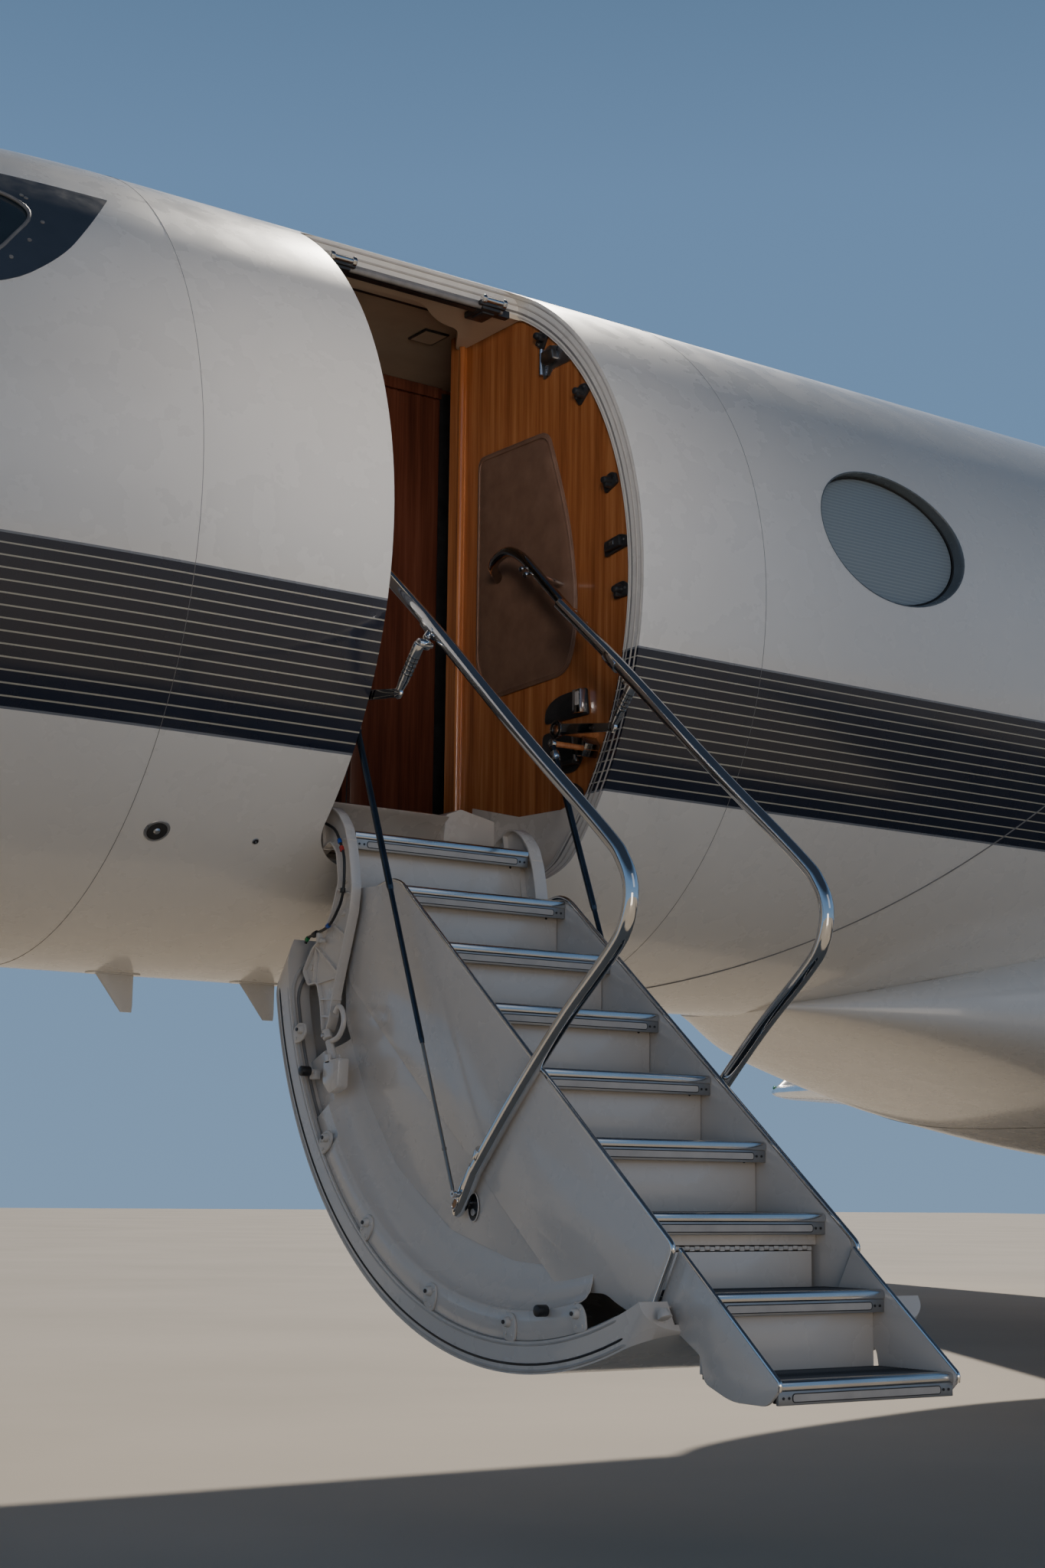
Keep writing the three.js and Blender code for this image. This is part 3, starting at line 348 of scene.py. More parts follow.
def mesh_of(bm, name):
    bmesh.ops.recalc_face_normals(bm, faces=bm.faces)
    mesh = bpy.data.meshes.new(name)
    bm.to_mesh(mesh)
    bm.free()
    return mesh


def solid_of(points, faces):
    """A mesh from points and faces, its faces turned outward."""
    bm = bmesh.new()
    bm.from_mesh(raw_mesh("raw", points, faces))
    return mesh_of(bm, "solid")


def band_faces(rows, n, span=None):
    """Faces that join rows of n points, each row to the next."""
    return [[r * n + k, r * n + (k + 1) % n, (r + 1) * n + (k + 1) % n, (r + 1) * n + k]
            for r in range(rows - 1) for k in range(span or n)]


def merged(meshes):
    """Several meshes as one, their material indices kept."""
    bm = bmesh.new()
    for mesh in meshes:
        bm.from_mesh(mesh)
    out = bpy.data.meshes.new("parts")
    bm.to_mesh(out)
    bm.free()
    return out


def painted(mesh, index):
    """Gives all faces of a mesh one material index."""
    for polygon in mesh.polygons:
        polygon.material_index = index
    return mesh


def with_modifiers(mesh, *steps):
    """Runs modifiers on a bare mesh: each step is (type, settings)."""
    obj = placed("work", mesh)
    for kind, settings in steps:
        modifier = obj.modifiers.new(kind, kind)
        for key, value in settings.items():
            setattr(modifier, key, value)
    out = bpy.data.meshes.new_from_object(obj.evaluated_get(bpy.context.evaluated_depsgraph_get()))
    bpy.data.objects.remove(obj)
    return out


def boolean(mesh, tool, operation="DIFFERENCE"):
    """A mesh cut by, joined with or kept inside another."""
    other = placed("tool", tool)
    out = with_modifiers(mesh, ("BOOLEAN", {"operation": operation, "solver": "EXACT", "object": other}))
    bpy.data.objects.remove(other)
    return out


def bevelled(mesh, width, segments=2, angle=40):
    return with_modifiers(mesh, ("BEVEL", {
        "width": width, "segments": segments, "limit_method": "ANGLE", "angle_limit": math.radians(angle),
        "harden_normals": False}))


def turns_of(count):
    """The angles of a full turn in equal steps."""
    return [2 * math.pi * k / count for k in range(count)]


def box_mesh(lo, hi):
    bm = bmesh.new()
    bmesh.ops.create_cube(bm, size=1)
    for v in bm.verts:
        v.co = Vector([(a + b) / 2 + c * (b - a) for a, b, c in zip(lo, hi, v.co)])
    return mesh_of(bm, "box")


def prism_mesh(outline, plane, start, stop):
    """An outline in the yz, xz or xy plane, given depth along the third axis."""
    place = {"yz": lambda u, v, w: (w, u, v), "xz": lambda u, v, w: (u, w, v),
             "xy": lambda u, v, w: (u, v, w)}[plane]
    count = len(outline)
    points = [place(u, v, w) for w in (start, stop) for u, v in outline]
    faces = [list(range(count)), list(range(count, 2 * count))[::-1]]
    faces += [[i, (i + 1) % count, (i + 1) % count + count, i + count] for i in range(count)]
    return solid_of(points, faces)


def rounded(outline, radius, steps=6):
    """An outline with its corners rounded; radius is one number or one for each corner."""
    count = len(outline)
    out = []
    for i, corner in enumerate(outline):
        p, a, b = (Vector(q) for q in (corner, outline[i - 1], outline[(i + 1) % count]))
        reach = radius if isinstance(radius, (int, float)) else radius[i]
        if reach <= 0:
            out.append(tuple(p))
            continue
        ka = min(reach, (a - p).length * 0.48)
        kb = min(reach, (b - p).length * 0.48)
        start, stop = p + (a - p).normalized() * ka, p + (b - p).normalized() * kb
        for k in range(steps + 1):
            t = k / steps
            out.append(tuple((1 - t) ** 2 * start + 2 * t * (1 - t) * p + t * t * stop))
    return out


def block(lo, hi, bevel=0.0, index=0):
    """A box, its edges bevelled, with one material index."""
    mesh = box_mesh(lo, hi)
    return painted(bevelled(mesh, bevel) if bevel else mesh, index)


def slab(outline, plane, start, stop, bevel=0.0, index=0):
    """An outline given depth, its edges bevelled, with one material index."""
    mesh = prism_mesh(outline, plane, start, stop)
    return painted(bevelled(mesh, bevel) if bevel else mesh, index)


def bar_mesh(start, stop, radius, sides=24, end_radius=None, bevel=0.0, index=0):
    """A round bar or cone between two points."""
    a, b = Vector(start), Vector(stop)
    bm = bmesh.new()
    bmesh.ops.create_cone(bm, cap_ends=True, segments=sides, radius1=radius,
                          radius2=radius if end_radius is None else end_radius, depth=(b - a).length)
    turn = Vector((0, 0, 1)).rotation_difference(b - a).to_matrix().to_4x4()
    bmesh.ops.transform(bm, matrix=Matrix.Translation((a + b) / 2) @ turn, verts=bm.verts)
    mesh = mesh_of(bm, "bar")
    return painted(bevelled(mesh, bevel, 2, 50) if bevel else mesh, index)


def revolved(profile, origin, axis, sides=48, closed=False, index=0):
    """A profile of (distance along the axis, radius) turned round it."""
    axis = Vector(axis).normalized()
    turn = Vector((0, 0, 1)).rotation_difference(axis).to_matrix()
    points, faces = [], []
    for a in turns_of(sides):
        for along, r in profile:
            points.append(Vector(origin) + turn @ Vector((r * math.cos(a), r * math.sin(a), along)))
    n = len(profile)
    for k in range(sides):
        here, there = k * n, ((k + 1) % sides) * n
        for i in range(n if closed else n - 1):
            j = (i + 1) % n
            faces.append([here + i, there + i, there + j, here + j])
    bm = bmesh.new()
    bm.from_mesh(raw_mesh("revolved", points, faces))
    bmesh.ops.remove_doubles(bm, verts=bm.verts, dist=1e-5)
    return painted(mesh_of(bm, "revolved"), index)


def spline(points, steps=8):
    """Points along a smooth line through the given ones."""
    tension = 0.5
    pts = [Vector(p) for p in points]
    out = []
    for i in range(len(pts) - 1):
        before, after = pts[max(i - 1, 0)], pts[min(i + 2, len(pts) - 1)]
        a, b = pts[i], pts[i + 1]
        out += interpolate_bezier(a, a + (b - before) * tension / 3, b - (after - a) * tension / 3, b,
                                  steps + 1)[:-1]
    return out + [pts[-1]]


def bent(points, radius, steps=6):
    """A line of straight runs whose corners are rounded by a radius."""
    pts = [Vector(p) for p in points]
    out = [pts[0]]
    for a, p, b in zip(pts, pts[1:], pts[2:]):
        reach = min(radius, (a - p).length * 0.49, (b - p).length * 0.49)
        start, stop = p + (a - p).normalized() * reach, p + (b - p).normalized() * reach
        out += [(1 - t) ** 2 * start + 2 * t * (1 - t) * p + t * t * stop
                for t in (k / steps for k in range(steps + 1))]
    return out + [pts[-1]]


def headings(pts, closed):
    """The direction of a line at each of its points."""
    out = []
    for i, p in enumerate(pts):
        ahead = pts[(i + 1) % len(pts)] if closed or i < len(pts) - 1 else p
        behind = pts[i - 1] if closed or i > 0 else p
        out.append((ahead - behind).normalized())
    return out


def tube_mesh(path, radius, sides=20, flat=1.0, closed=False, up=None, index=0):
    """A tube along a path; radius may be one number or one for each point, flat squeezes it across."""
    pts = [Vector(p) for p in path]
    count = len(pts)
    rings, faces = [], []
    normal = None
    for i, (p, tangent) in enumerate(zip(pts, headings(pts, closed))):
        if up is not None:
            normal = Vector(up)
        elif normal is None:
            normal = Vector((1, 0, 0)) if abs(tangent.x) < 0.9 else Vector((0, 0, 1))
        normal = (normal - tangent * normal.dot(tangent)).normalized()
        side = tangent.cross(normal)
        r = radius if isinstance(radius, (int, float)) else radius[i]
        rings += [p + normal * (r * math.cos(a)) + side * (r * flat * math.sin(a))
                  for a in turns_of(sides)]
    for i in range(count if closed else count - 1):
        j = (i + 1) % count
        for k in range(sides):
            m = (k + 1) % sides
            faces.append([i * sides + k, i * sides + m, j * sides + m, j * sides + k])
    if not closed:
        faces += [list(range(sides)), list(range((count - 1) * sides, count * sides))[::-1]]
    return painted(solid_of(rings, faces), index)


def strip_mesh(path, section, up, closed=False):
    """A section of (across, out) points carried along a path; up(i) gives its outward direction."""
    pts = [Vector(p) for p in path]
    count, n = len(pts), len(section)
    points, faces = [], []
    for i, (p, tangent) in enumerate(zip(pts, headings(pts, closed))):
        out = Vector(up(i))
        out = (out - tangent * out.dot(tangent)).normalized()
        across = tangent.cross(out)
        points += [p + across * u + out * v for u, v in section]
    for i in range(count if closed else count - 1):
        j = (i + 1) % count
        faces += [[i * n + k, i * n + (k + 1) % n, j * n + (k + 1) % n, j * n + k] for k in range(n)]
    if not closed:
        faces += [list(range(n)), list(range((count - 1) * n, count * n))[::-1]]
    return solid_of(points, faces)


def moved(mesh, matrix):
    mesh.transform(matrix)
    mesh.update()
    return mesh


def shifted(mesh):
    """A mesh given from the fuselage axis at the airstair's middle, brought into the row frame."""
    return moved(mesh, Matrix.Translation(ENTRY))


def swung():
    """The turn that lowers the door, in the row frame."""
    pivot = Vector((0, HINGE[0], HINGE[1] + AXIS_Z))
    return Matrix.Translation(pivot) @ Matrix.Rotation(SWING, 4, "X") @ Matrix.Translation(-pivot)


# Fuselage sections: station, middle's height, half width, height above and depth below the middle
HULL = [
    (-13.60, -0.470, 0.030, 0.030, 0.030), (-13.48, -0.465, 0.215, 0.200, 0.190),
    (-13.20, -0.450, 0.400, 0.370, 0.345), (-12.80, -0.420, 0.575, 0.530, 0.500),
    (-12.30, -0.360, 0.755, 0.745, 0.655), (-11.70, -0.240, 0.945, 1.000, 0.850),
    (-11.10, -0.110, 1.085, 1.160, 1.020), (-10.50, -0.030, 1.165, 1.205, 1.145),
    (-9.95, 0.0, 1.195, 1.195, 1.195), (4.30, 0.0, 1.195, 1.195, 1.195),
    (5.60, 0.040, 1.150, 1.165, 1.120), (7.20, 0.150, 1.010, 1.060, 0.960),
    (9.00, 0.330, 0.770, 0.870, 0.720), (10.80, 0.560, 0.470, 0.600, 0.445),
    (12.00, 0.720, 0.245, 0.340, 0.240), (12.35, 0.770, 0.165, 0.215, 0.165),
]
SECTION = {"nose": -13.6, "entry": -9.95, "cabin": -8.0, "tail": 3.9, "end": 12.35}
JOINT = 0.0012
# A corner this near the true curve counts as lying on the outer skin
ON_SKIN = 0.0016


class Table:
    """Rows read smoothly at any place between them, with no overshoot."""

    def __init__(self, rows):
        self.x = [row[0] for row in rows]
        self.columns = list(zip(*[row[1:] for row in rows]))
        self.slopes = [self.slope(column) for column in self.columns]

    def slope(self, column):
        steps = [(b - a) / (q - p) for a, b, p, q in zip(column, column[1:], self.x, self.x[1:])]
        inner = [0.0 if a * b <= 0 else 2 * a * b / (a + b) for a, b in zip(steps, steps[1:])]
        return [steps[0], *inner, steps[-1]]

    def __call__(self, x):
        i = min(max(bisect.bisect_right(self.x, x) - 1, 0), len(self.x) - 2)
        width = self.x[i + 1] - self.x[i]
        t = (x - self.x[i]) / width
        out = []
        for column, slope in zip(self.columns, self.slopes):
            a, b, da, db = column[i], column[i + 1], slope[i] * width, slope[i + 1] * width
            out.append(a * (1 + 2 * t) * (1 - t) ** 2 + da * t * (1 - t) ** 2
                       + b * t * t * (3 - 2 * t) + db * t * t * (t - 1))
        return out


hull_at = Table(HULL)


def hull_point(x, turn, offset=0.0):
    """A place on the fuselage: turn runs from starboard (+Y) over the top to port (-Y)."""
    middle, half, up, down = hull_at(x)
    height = up if math.sin(turn) > 0 else down
    return Vector((x, (half + offset) * math.cos(turn), AXIS_Z + middle + (height + offset) * math.sin(turn)))


def hull_level(p):
    middle, half, up, down = hull_at(p.x)
    z = p.z - AXIS_Z - middle
    return math.hypot(p.y / half, z / (up if z > 0 else down))


def hull_normal(p):
    middle, half, up, down = hull_at(p.x)
    z = p.z - AXIS_Z - middle
    height = up if z > 0 else down
    step = 0.004
    slope = (hull_level(p + Vector((step, 0, 0))) - hull_level(p - Vector((step, 0, 0)))) / (2 * step)
    level = max(hull_level(p), 1e-6)
    return Vector((slope, p.y / half ** 2 / level, z / height ** 2 / level)).normalized()


def hull_shell(start, stop, outer, inner, columns, ring, turns=(0.0, 2 * math.pi), hollow=True):
    """A length of the fuselage wall as a closed solid, all round or between two turns."""
    full = turns[1] - turns[0] > 6.28
    count = ring if full else ring + 1
    angles = [turns[0] + (turns[1] - turns[0]) * k / ring for k in range(count)]
    stations = [start + (stop - start) * i / columns for i in range(columns + 1)]
    layers = [outer, inner] if hollow else [outer]
    points = [hull_point(x, a, offset) for offset in layers for x in stations for a in angles]
    faces = []
    size = (columns + 1) * count

    def index(layer, i, k):
        return layer * size + i * count + k % count

    span = count if full else count - 1
    for layer in range(len(layers)):
        for i in range(columns):
            for k in range(span):
                faces.append([index(layer, i, k), index(layer, i, k + 1), index(layer, i + 1, k + 1),
                              index(layer, i + 1, k)])
    if hollow:
        for i in (0, columns):
            faces += [[index(0, i, k), index(0, i, k + 1), index(1, i, k + 1), index(1, i, k)]
                      for k in range(span)]
        if not full:
            for k in (0, count - 1):
                faces += [[index(0, i, k), index(0, i + 1, k), index(1, i + 1, k), index(1, i, k)]
                          for i in range(columns)]
    else:
        faces += [[index(0, i, k) for k in range(count)] for i in (0, columns)]
    return solid_of(points, faces)


def hull_shaded(mesh, offset=0.0):
    """Smooth shading that follows the true curve on the outer skin and stays crisp on cut edges."""
    mesh.shade_smooth()
    mesh.set_sharp_from_angle(angle=math.radians(35))
    normals = [tuple(c.vector) for c in mesh.corner_normals]
    exact = {}
    for v in mesh.vertices:
        n = hull_normal(v.co)
        half = hull_at(v.co.x)[1]
        level = hull_level(v.co - n * offset)
        if abs(level - 1) * half < ON_SKIN:
            exact[v.index] = n
    for polygon in mesh.polygons:
        for i in polygon.loop_indices:
            n = exact.get(mesh.loops[i].vertex_index)
            if n is not None and n.dot(polygon.normal) > 0.93:
                normals[i] = tuple(n)
    mesh.normals_split_custom_set(normals)
    return mesh


def hull_patch(outline, side, outer, inner, columns, ring):
    """A piece of skin that lies over an outline (X, Z from the axis) on one side of the fuselage."""
    xs = [p[0] for p in outline]
    ends = (min(xs) - 0.02, max(xs) + 0.02)
    turns = (-1.75, 1.75) if side > 0 else (math.pi - 1.75, math.pi + 1.75)
    shell = hull_shell(*ends, outer, inner, columns, ring, turns)
    tool = prism_mesh([(x, z + AXIS_Z) for x, z in outline], "xz", side * 0.02, side * 1.6)
    return boolean(shell, tool, "INTERSECT")


# The entry door's opening, from the airstair's middle and round the fuselage from horizontal
DOOR = {"front": -0.362, "aft": 0.516, "sill": math.radians(-50.8), "top": math.radians(62),
        "corners": (0.160, 0.105), "panel_corners": (0.172, 0.112), "sill_round": 0.146}


def door_outline(grow):
    """The opening from the side as (X, Z from the axis), grown all round, from its lower aft corner."""
    steps = 16
    x0, x1 = DOOR["front"] - grow + DOOR_X, DOOR["aft"] + grow + DOOR_X
    z0, z1 = FUSELAGE_R * math.sin(DOOR["sill"]) - grow, FUSELAGE_R * math.sin(DOOR["top"]) + grow
    low, high = DOOR["panel_corners"] if grow < 0 else DOOR["corners"]
    r0, r1 = low * math.cos(DOOR["sill"]), high * math.cos(DOOR["top"])
    corners = [(x1 - low, z0 + r0, low, r0, -0.5), (x1 - high, z1 - r1, high, r1, 0),
               (x0 + high, z1 - r1, high, r1, 0.5), (x0 + low, z0 + r0, low, r0, 1)]
    return [(x + rx * math.cos(a), z + rz * math.sin(a)) for x, z, rx, rz, begin in corners
            for a in (math.pi * (begin + 0.5 * k / steps) for k in range(steps + 1))]


def door_tool(grow):
    """The solid that cuts the opening: straight through the wall at its top, round at its sill."""
    outline = [(x, z + AXIS_Z) for x, z in door_outline(grow)]
    tool = prism_mesh(outline, "xz", -1.4, -0.3)
    c, d = math.cos(DOOR["top"]), math.sin(DOOR["top"])

    def edge(reach):
        return (grow * d - reach * c, AXIS_Z + grow * c + reach * d)

    ends = (DOOR_X - 0.8, DOOR_X + 0.9)
    above = prism_mesh([edge(-0.2), edge(1.8), (0.4, 4.6), (0.4, 2.5)], "yz", *ends)
    sill = bar_mesh((ends[0], HINGE[0], HINGE[1] + AXIS_Z), (ends[1], HINGE[0], HINGE[1] + AXIS_Z),
                    DOOR["sill_round"] - grow, 64)
    return boolean(boolean(tool, above), sill)


# Goose-neck arms: where their pockets begin and end, and how much narrower the casting is
ARMS = (("front", -0.352, -0.292), ("aft", 0.308, 0.352))
CAST_INSET = {"front": 0.029, "aft": 0.0}
CLEAR = 0.006


def arm_pocket(x0, x1):
    """The dark notch that each goose-neck arm swings through at the sill."""
    y, z = HINGE[0], HINGE[1] + AXIS_Z
    outline = [(y - 0.045, z - 0.040), (y - 0.025, z - 0.062), (y + 0.04, z - 0.075), (y + 0.165, z - 0.06),
               (y + 0.165, z + 0.185), (y - 0.215, z + 0.185), (y - 0.205, z + 0.02)]
    return prism_mesh(rounded(outline, 0.02, 3), "yz", x0 - CLEAR + DOOR_X, x1 + CLEAR + DOOR_X)


# Windows
WINDOW = {"first": -7.405, "pitch": 1.06, "count": 6, "z": 0.29, "half": (0.321, 0.238), "recess": 0.032}


def oval(x, grow):
    a, b = WINDOW["half"][0] + grow, WINDOW["half"][1] + grow
    return [(x + a * math.cos(t), WINDOW["z"] + b * math.sin(t)) for t in turns_of(64)]


WINDOW_PLACES = [(side, WINDOW["first"] + i * WINDOW["pitch"]) for side in (-1, 1)
                 for i in range(WINDOW["count"])]
SIDE_PANES = (
    ([(-10.34, 0.70), (-10.50, 0.50), (-11.20, 0.38), (-11.33, 0.56), (-10.96, 0.755),
      (-10.42, 0.765)], 0.07),
    ([(-11.26, 0.37), (-11.76, 0.30), (-11.90, 0.40), (-11.40, 0.60)], 0.05),
)
WINDSCREEN = [(0.06, 0.27), (0.06, 0.56), (0.42, 0.545), (0.72, 0.43), (0.70, 0.29), (0.42, 0.255)]


def make_nose():
    skin = hull_shell(SECTION["nose"], SECTION["entry"] - JOINT / 2, 0, -0.012, 110, 128)
    for outline, radius in SIDE_PANES:
        shape = [(x, z + AXIS_Z) for x, z in rounded(outline, radius, 5)]
        for _, side in SIDES:
            skin = boolean(skin, prism_mesh(shape, "xz", side * 0.4, side * 1.3))
    for _, side in SIDES:
        shape = [(side * y, z + AXIS_Z) for y, z in rounded(WINDSCREEN, 0.05, 5)]
        skin = boolean(skin, prism_mesh(shape, "yz", -13.2, -11.7))
    well = box_mesh((-11.25, -0.23, 0.5), (-10.25, 0.23, 2.2))
    skin = boolean(skin, well)
    link("skin_nose", hull_shaded(skin), "paint", stands_for="nose_section", smooth=None)


def make_entry():
    wall = hull_shell(SECTION["entry"] + JOINT / 2, SECTION["cabin"] - JOINT / 2, 0, -WALL, 40, 192)
    wall = boolean(wall, door_tool(0))
    for _, x0, x1 in ARMS:
        inside = hull_shell(-9.6, -8.3, -0.005, -0.3, 4, 96)
        wall = boolean(wall, boolean(arm_pocket(x0, x1), inside, "INTERSECT"))
    link("skin_entry", hull_shaded(wall), "paint", stands_for="entry_section", smooth=None)


def make_cabin():
    skin = hull_shell(SECTION["cabin"] + JOINT / 2, SECTION["tail"] - JOINT / 2, 0, -0.05, 96, 128)
    for side, x in WINDOW_PLACES:
        tool = prism_mesh([(px, pz + AXIS_Z) for px, pz in oval(x, 0)], "xz", side * 0.9, side * 1.3)
        skin = boolean(skin, tool)
    link("skin_cabin", hull_shaded(skin), "paint", stands_for="cabin_section", smooth=None)


def side_place(x, z, side, offset):
    """A place on the fuselage's side at a height from the axis."""
    middle, half, up, down = hull_at(x)
    rise = z - middle
    turn = math.asin(max(-1, min(1, rise / ((up if rise > 0 else down) + offset))))
    return Vector((x, side * (half + offset) * math.cos(turn), AXIS_Z + z))


def ring_band(lines, name):
    """A skin through closed lines of the same number of points."""
    return raw_mesh(name, [p for line in lines for p in line], band_faces(len(lines), len(lines[0])))


def make_window(side, x, number):
    name = f"window_{'right' if side > 0 else 'left'}_{number}"
    deep = WINDOW["recess"]
    steps = [(0.0005, 0.0006), (-0.0025, 0.0004), (-0.0050, -0.002), (-0.0065, -0.010),
             (-0.0095, -deep - 0.004), (-0.014, -deep - 0.008)]
    lines = [[side_place(px, pz, side, out) for px, pz in oval(x, grow)] for grow, out in steps]
    frame_mesh = ring_band(lines, "frame")
    link(name + "_frame", frame_mesh, "reveal", smooth=40)
    gasket = [side_place(px, pz, side, -deep - 0.007) for px, pz in oval(x, -0.013)]
    link(name + "_gasket", tube_mesh(gasket, 0.0035, 8, closed=True), "rubber")
    rows = []
    for k in range(16):
        share = (1 - k / 15) * 0.94 + 0.0001
        rows.append([side_place(x + (px - x) * share, WINDOW["z"] + (pz - WINDOW["z"]) * share, side,
                                -deep - 0.010)
                     for px, pz in oval(x, 0)])
    pane = ring_band(rows, "pane")
    link(name + "_shade", pane, "shade", smooth=60)


for index, (side, x) in enumerate(WINDOW_PLACES):
    make_window(side, x, index % WINDOW["count"] + 1)
make_nose()
make_entry()
make_cabin()
link("skin_tail", hull_shaded(hull_shell(SECTION["tail"] + JOINT / 2, SECTION["end"], 0, -0.01, 110, 128)),
     "paint", stands_for="tail_section", smooth=None)


# Airstair door, drawn closed in (X, turn round the axis, radius) and swung down

def door_place(x, turn, r):
    """A place on the door, turn in degrees from starboard over the top, swung down into the row frame."""
    a = math.radians(turn)
    return swung() @ Vector((x + DOOR_X, r * math.cos(a), AXIS_Z + r * math.sin(a)))


def door_out(turn, sign=1):
    a = math.radians(turn)
    return (swung().to_3x3() @ Vector((0, math.cos(a), math.sin(a)))) * sign


PAN = {"deep": 0.022, "lip": 0.070}
LOWER = {"front": -0.262, "aft": 0.270, "thick": 0.010}
PLATE = {"front": -0.278, "aft": 0.285, "thick": 0.010}
PORT_TURNS = (math.radians(106), math.radians(248))


def make_door():
    ends = (DOOR_X - 0.45, DOOR_X + 0.60)
    body = hull_shell(*ends, 0, -WALL, 30, 120, PORT_TURNS)
    body = boolean(body, door_tool(-CLEAR), "INTERSECT")
    recess = boolean(hull_shell(*ends, -WALL + PAN["deep"], -WALL - 0.02, 20, 96, PORT_TURNS),
                     door_tool(-PAN["lip"]), "INTERSECT")
    body = boolean(body, recess)
    trough = hull_shell(DOOR_X + LOWER["front"] - 0.012, DOOR_X + LOWER["aft"] + 0.022, -0.02, -WALL - 0.02,
                        8, 96, PORT_TURNS)
    trough = boolean(trough, box_mesh((DOOR_X - 0.4, -0.9, AXIS_Z + 0.94),
                                      (DOOR_X + 0.6, -0.3, AXIS_Z + 1.2)),
                     "INTERSECT")
    body = boolean(body, trough)
    body = hull_shaded(body)
    for polygon in body.polygons:
        on_skin = abs(hull_level(polygon.center) - 1) < 0.002
        polygon.material_index = 0 if on_skin and polygon.normal.dot(hull_normal(polygon.center)) > 0.9 else 1
    closed = body.attributes.new("closed", "FLOAT_VECTOR", "POINT")
    for v in body.vertices:
        closed.data[v.index].vector = v.co
    link("door_body", moved(body, swung()), ["door_paint", "liner"], "airstair", "door_shell", smooth=None)


make_door()


def make_trough():
    """The light inner skin behind the cover at the door's low end, with its bolt heads and bracket."""
    ends = (DOOR_X - 0.352, DOOR_X - 0.262)
    skin = hull_shell(*ends, -0.0215, -0.0245, 4, 60, (math.radians(112), math.radians(136)))
    skin = boolean(skin, door_tool(-0.016), "INTERSECT")
    link("trough_skin", moved(hull_shaded(skin), swung()), "liner", "airstair", smooth=None)
    parts = []
    for turn in (118.5, 121, 123.5, 126):
        p, out = door_place(-0.300, turn, FUSELAGE_R - 0.0245), door_out(turn, -1)
        parts.append(bar_mesh(p, p + out * 0.005, 0.006, 12, 0.005))
    p, out = door_place(-0.318, 117, FUSELAGE_R - 0.0245), door_out(117, -1)
    parts.append(bar_mesh(p, p + out * 0.022, 0.019, 6, 0.012, 0.003))
    link("trough_bolts", parts, ["cast"], "airstair")


make_trough()


def dense(outline, step):
    """A closed outline with more points along its longer runs, one for each step."""
    out = []
    for (x0, z0), (x1, z1) in zip(outline, outline[1:] + outline[:1]):
        count = max(1, int(math.hypot(x1 - x0, z1 - z0) / step))
        out += [(x0 + (x1 - x0) * k / count, z0 + (z1 - z0) * k / count) for k in range(count)]
    return out


def door_line(grow, r):
    """Places round the door's outline at a radius, as (place, outward)."""
    out = []
    for x, z in dense(door_outline(grow), 0.03):
        turn = 180 - math.degrees(math.asin(max(-1, min(1, z / FUSELAGE_R))))
        out.append((door_place(x - DOOR_X, turn, r), door_out(turn)))
    return out


def door_ring(name, grow, r, width, height, finish):
    """A rounded lip that runs round the door."""
    line = door_line(grow, r)
    section = [(-width / 2, 0), (-width / 2, height * 0.5), (-width * 0.3, height * 0.9), (0, height),
               (width * 0.3, height * 0.9), (width / 2, height * 0.5), (width / 2, 0)]
    mesh = strip_mesh([p for p, _ in line], section, lambda i: -line[i][1], closed=True)
    link(name, mesh, finish, "airstair")


def mirror_x(side, x):
    """The same place on the front or aft side of the stair: x is measured out from the side plate."""
    return PLATE["front"] - x if side == "front" else PLATE["aft"] + PLATE["thick"] + x


# The moulded cover flares from each side plate to a flange on the door's edge: (out from plate, radius)
FLARE = ((-0.006, 0.930), (-0.0015, 0.955), (0.0015, 0.978), (0.008, 1.000), (0.019, 1.022), (0.034, 1.037),
         (0.048, 1.045), (0.060, 1.048), (0.068, 1.0485), (0.0715, 1.053), (0.0725, 1.075), (0.0725, 1.118))


# Held back where the steadying arm and the strut's tube lie when the door is up
FLARE_LIMIT = {"front": ((197, 0.060), (203, 0.036)), "aft": ((197, 0.044),)}


def make_cover(side, start, stop):
    sign = 1 if side == "front" else -1
    count = 90
    points, faces = [], []
    for k in range(count + 1):
        turn = start + (stop - start) * k / count
        reach = min([1.0] + [limit for begin, limit in FLARE_LIMIT[side] if turn > begin])
        for out, r in FLARE:
            points.append(door_place(mirror_x(side, min(out, reach)), turn, r))
        for out, r in FLARE[::-1]:
            points.append(door_place(mirror_x(side, min(out, reach) - 0.0015), turn, r + 0.0022))
    n = 2 * len(FLARE)
    for k in range(count):
        faces += [[k * n + i, k * n + (i + 1) % n, (k + 1) * n + (i + 1) % n, (k + 1) * n + i][::sign]
                  for i in range(n)]
    faces += [list(range(n)), list(range(count * n, (count + 1) * n))]
    link(f"pan_cover_{side}", solid_of(points, faces), "liner", "airstair", smooth=50)


make_cover("front", 212, 131)
make_cover("aft", 214, 131)
door_ring("door_seal_outer", -0.017, 1.1195, 0.011, 0.005, "pale_seal")
door_ring("door_seal_inner", -0.032, 1.1195, 0.009, 0.006, "seal")


def edge_ring(name, grow, r, radius, finish):
    """A round bead laid along the door's end faces."""
    line = door_line(grow, r)
    link(name, tube_mesh([p for p, _ in line], radius, 8, closed=True), finish, "airstair")


edge_ring("door_edge_bead", -CLEAR - 0.001, 1.187, 0.0042, "pale_seal")
edge_ring("door_edge_gasket", -CLEAR - 0.0005, 1.172, 0.0032, "black")
edge_ring("door_edge_flange", -CLEAR - 0.002, 1.128, 0.0036, "pale_seal")


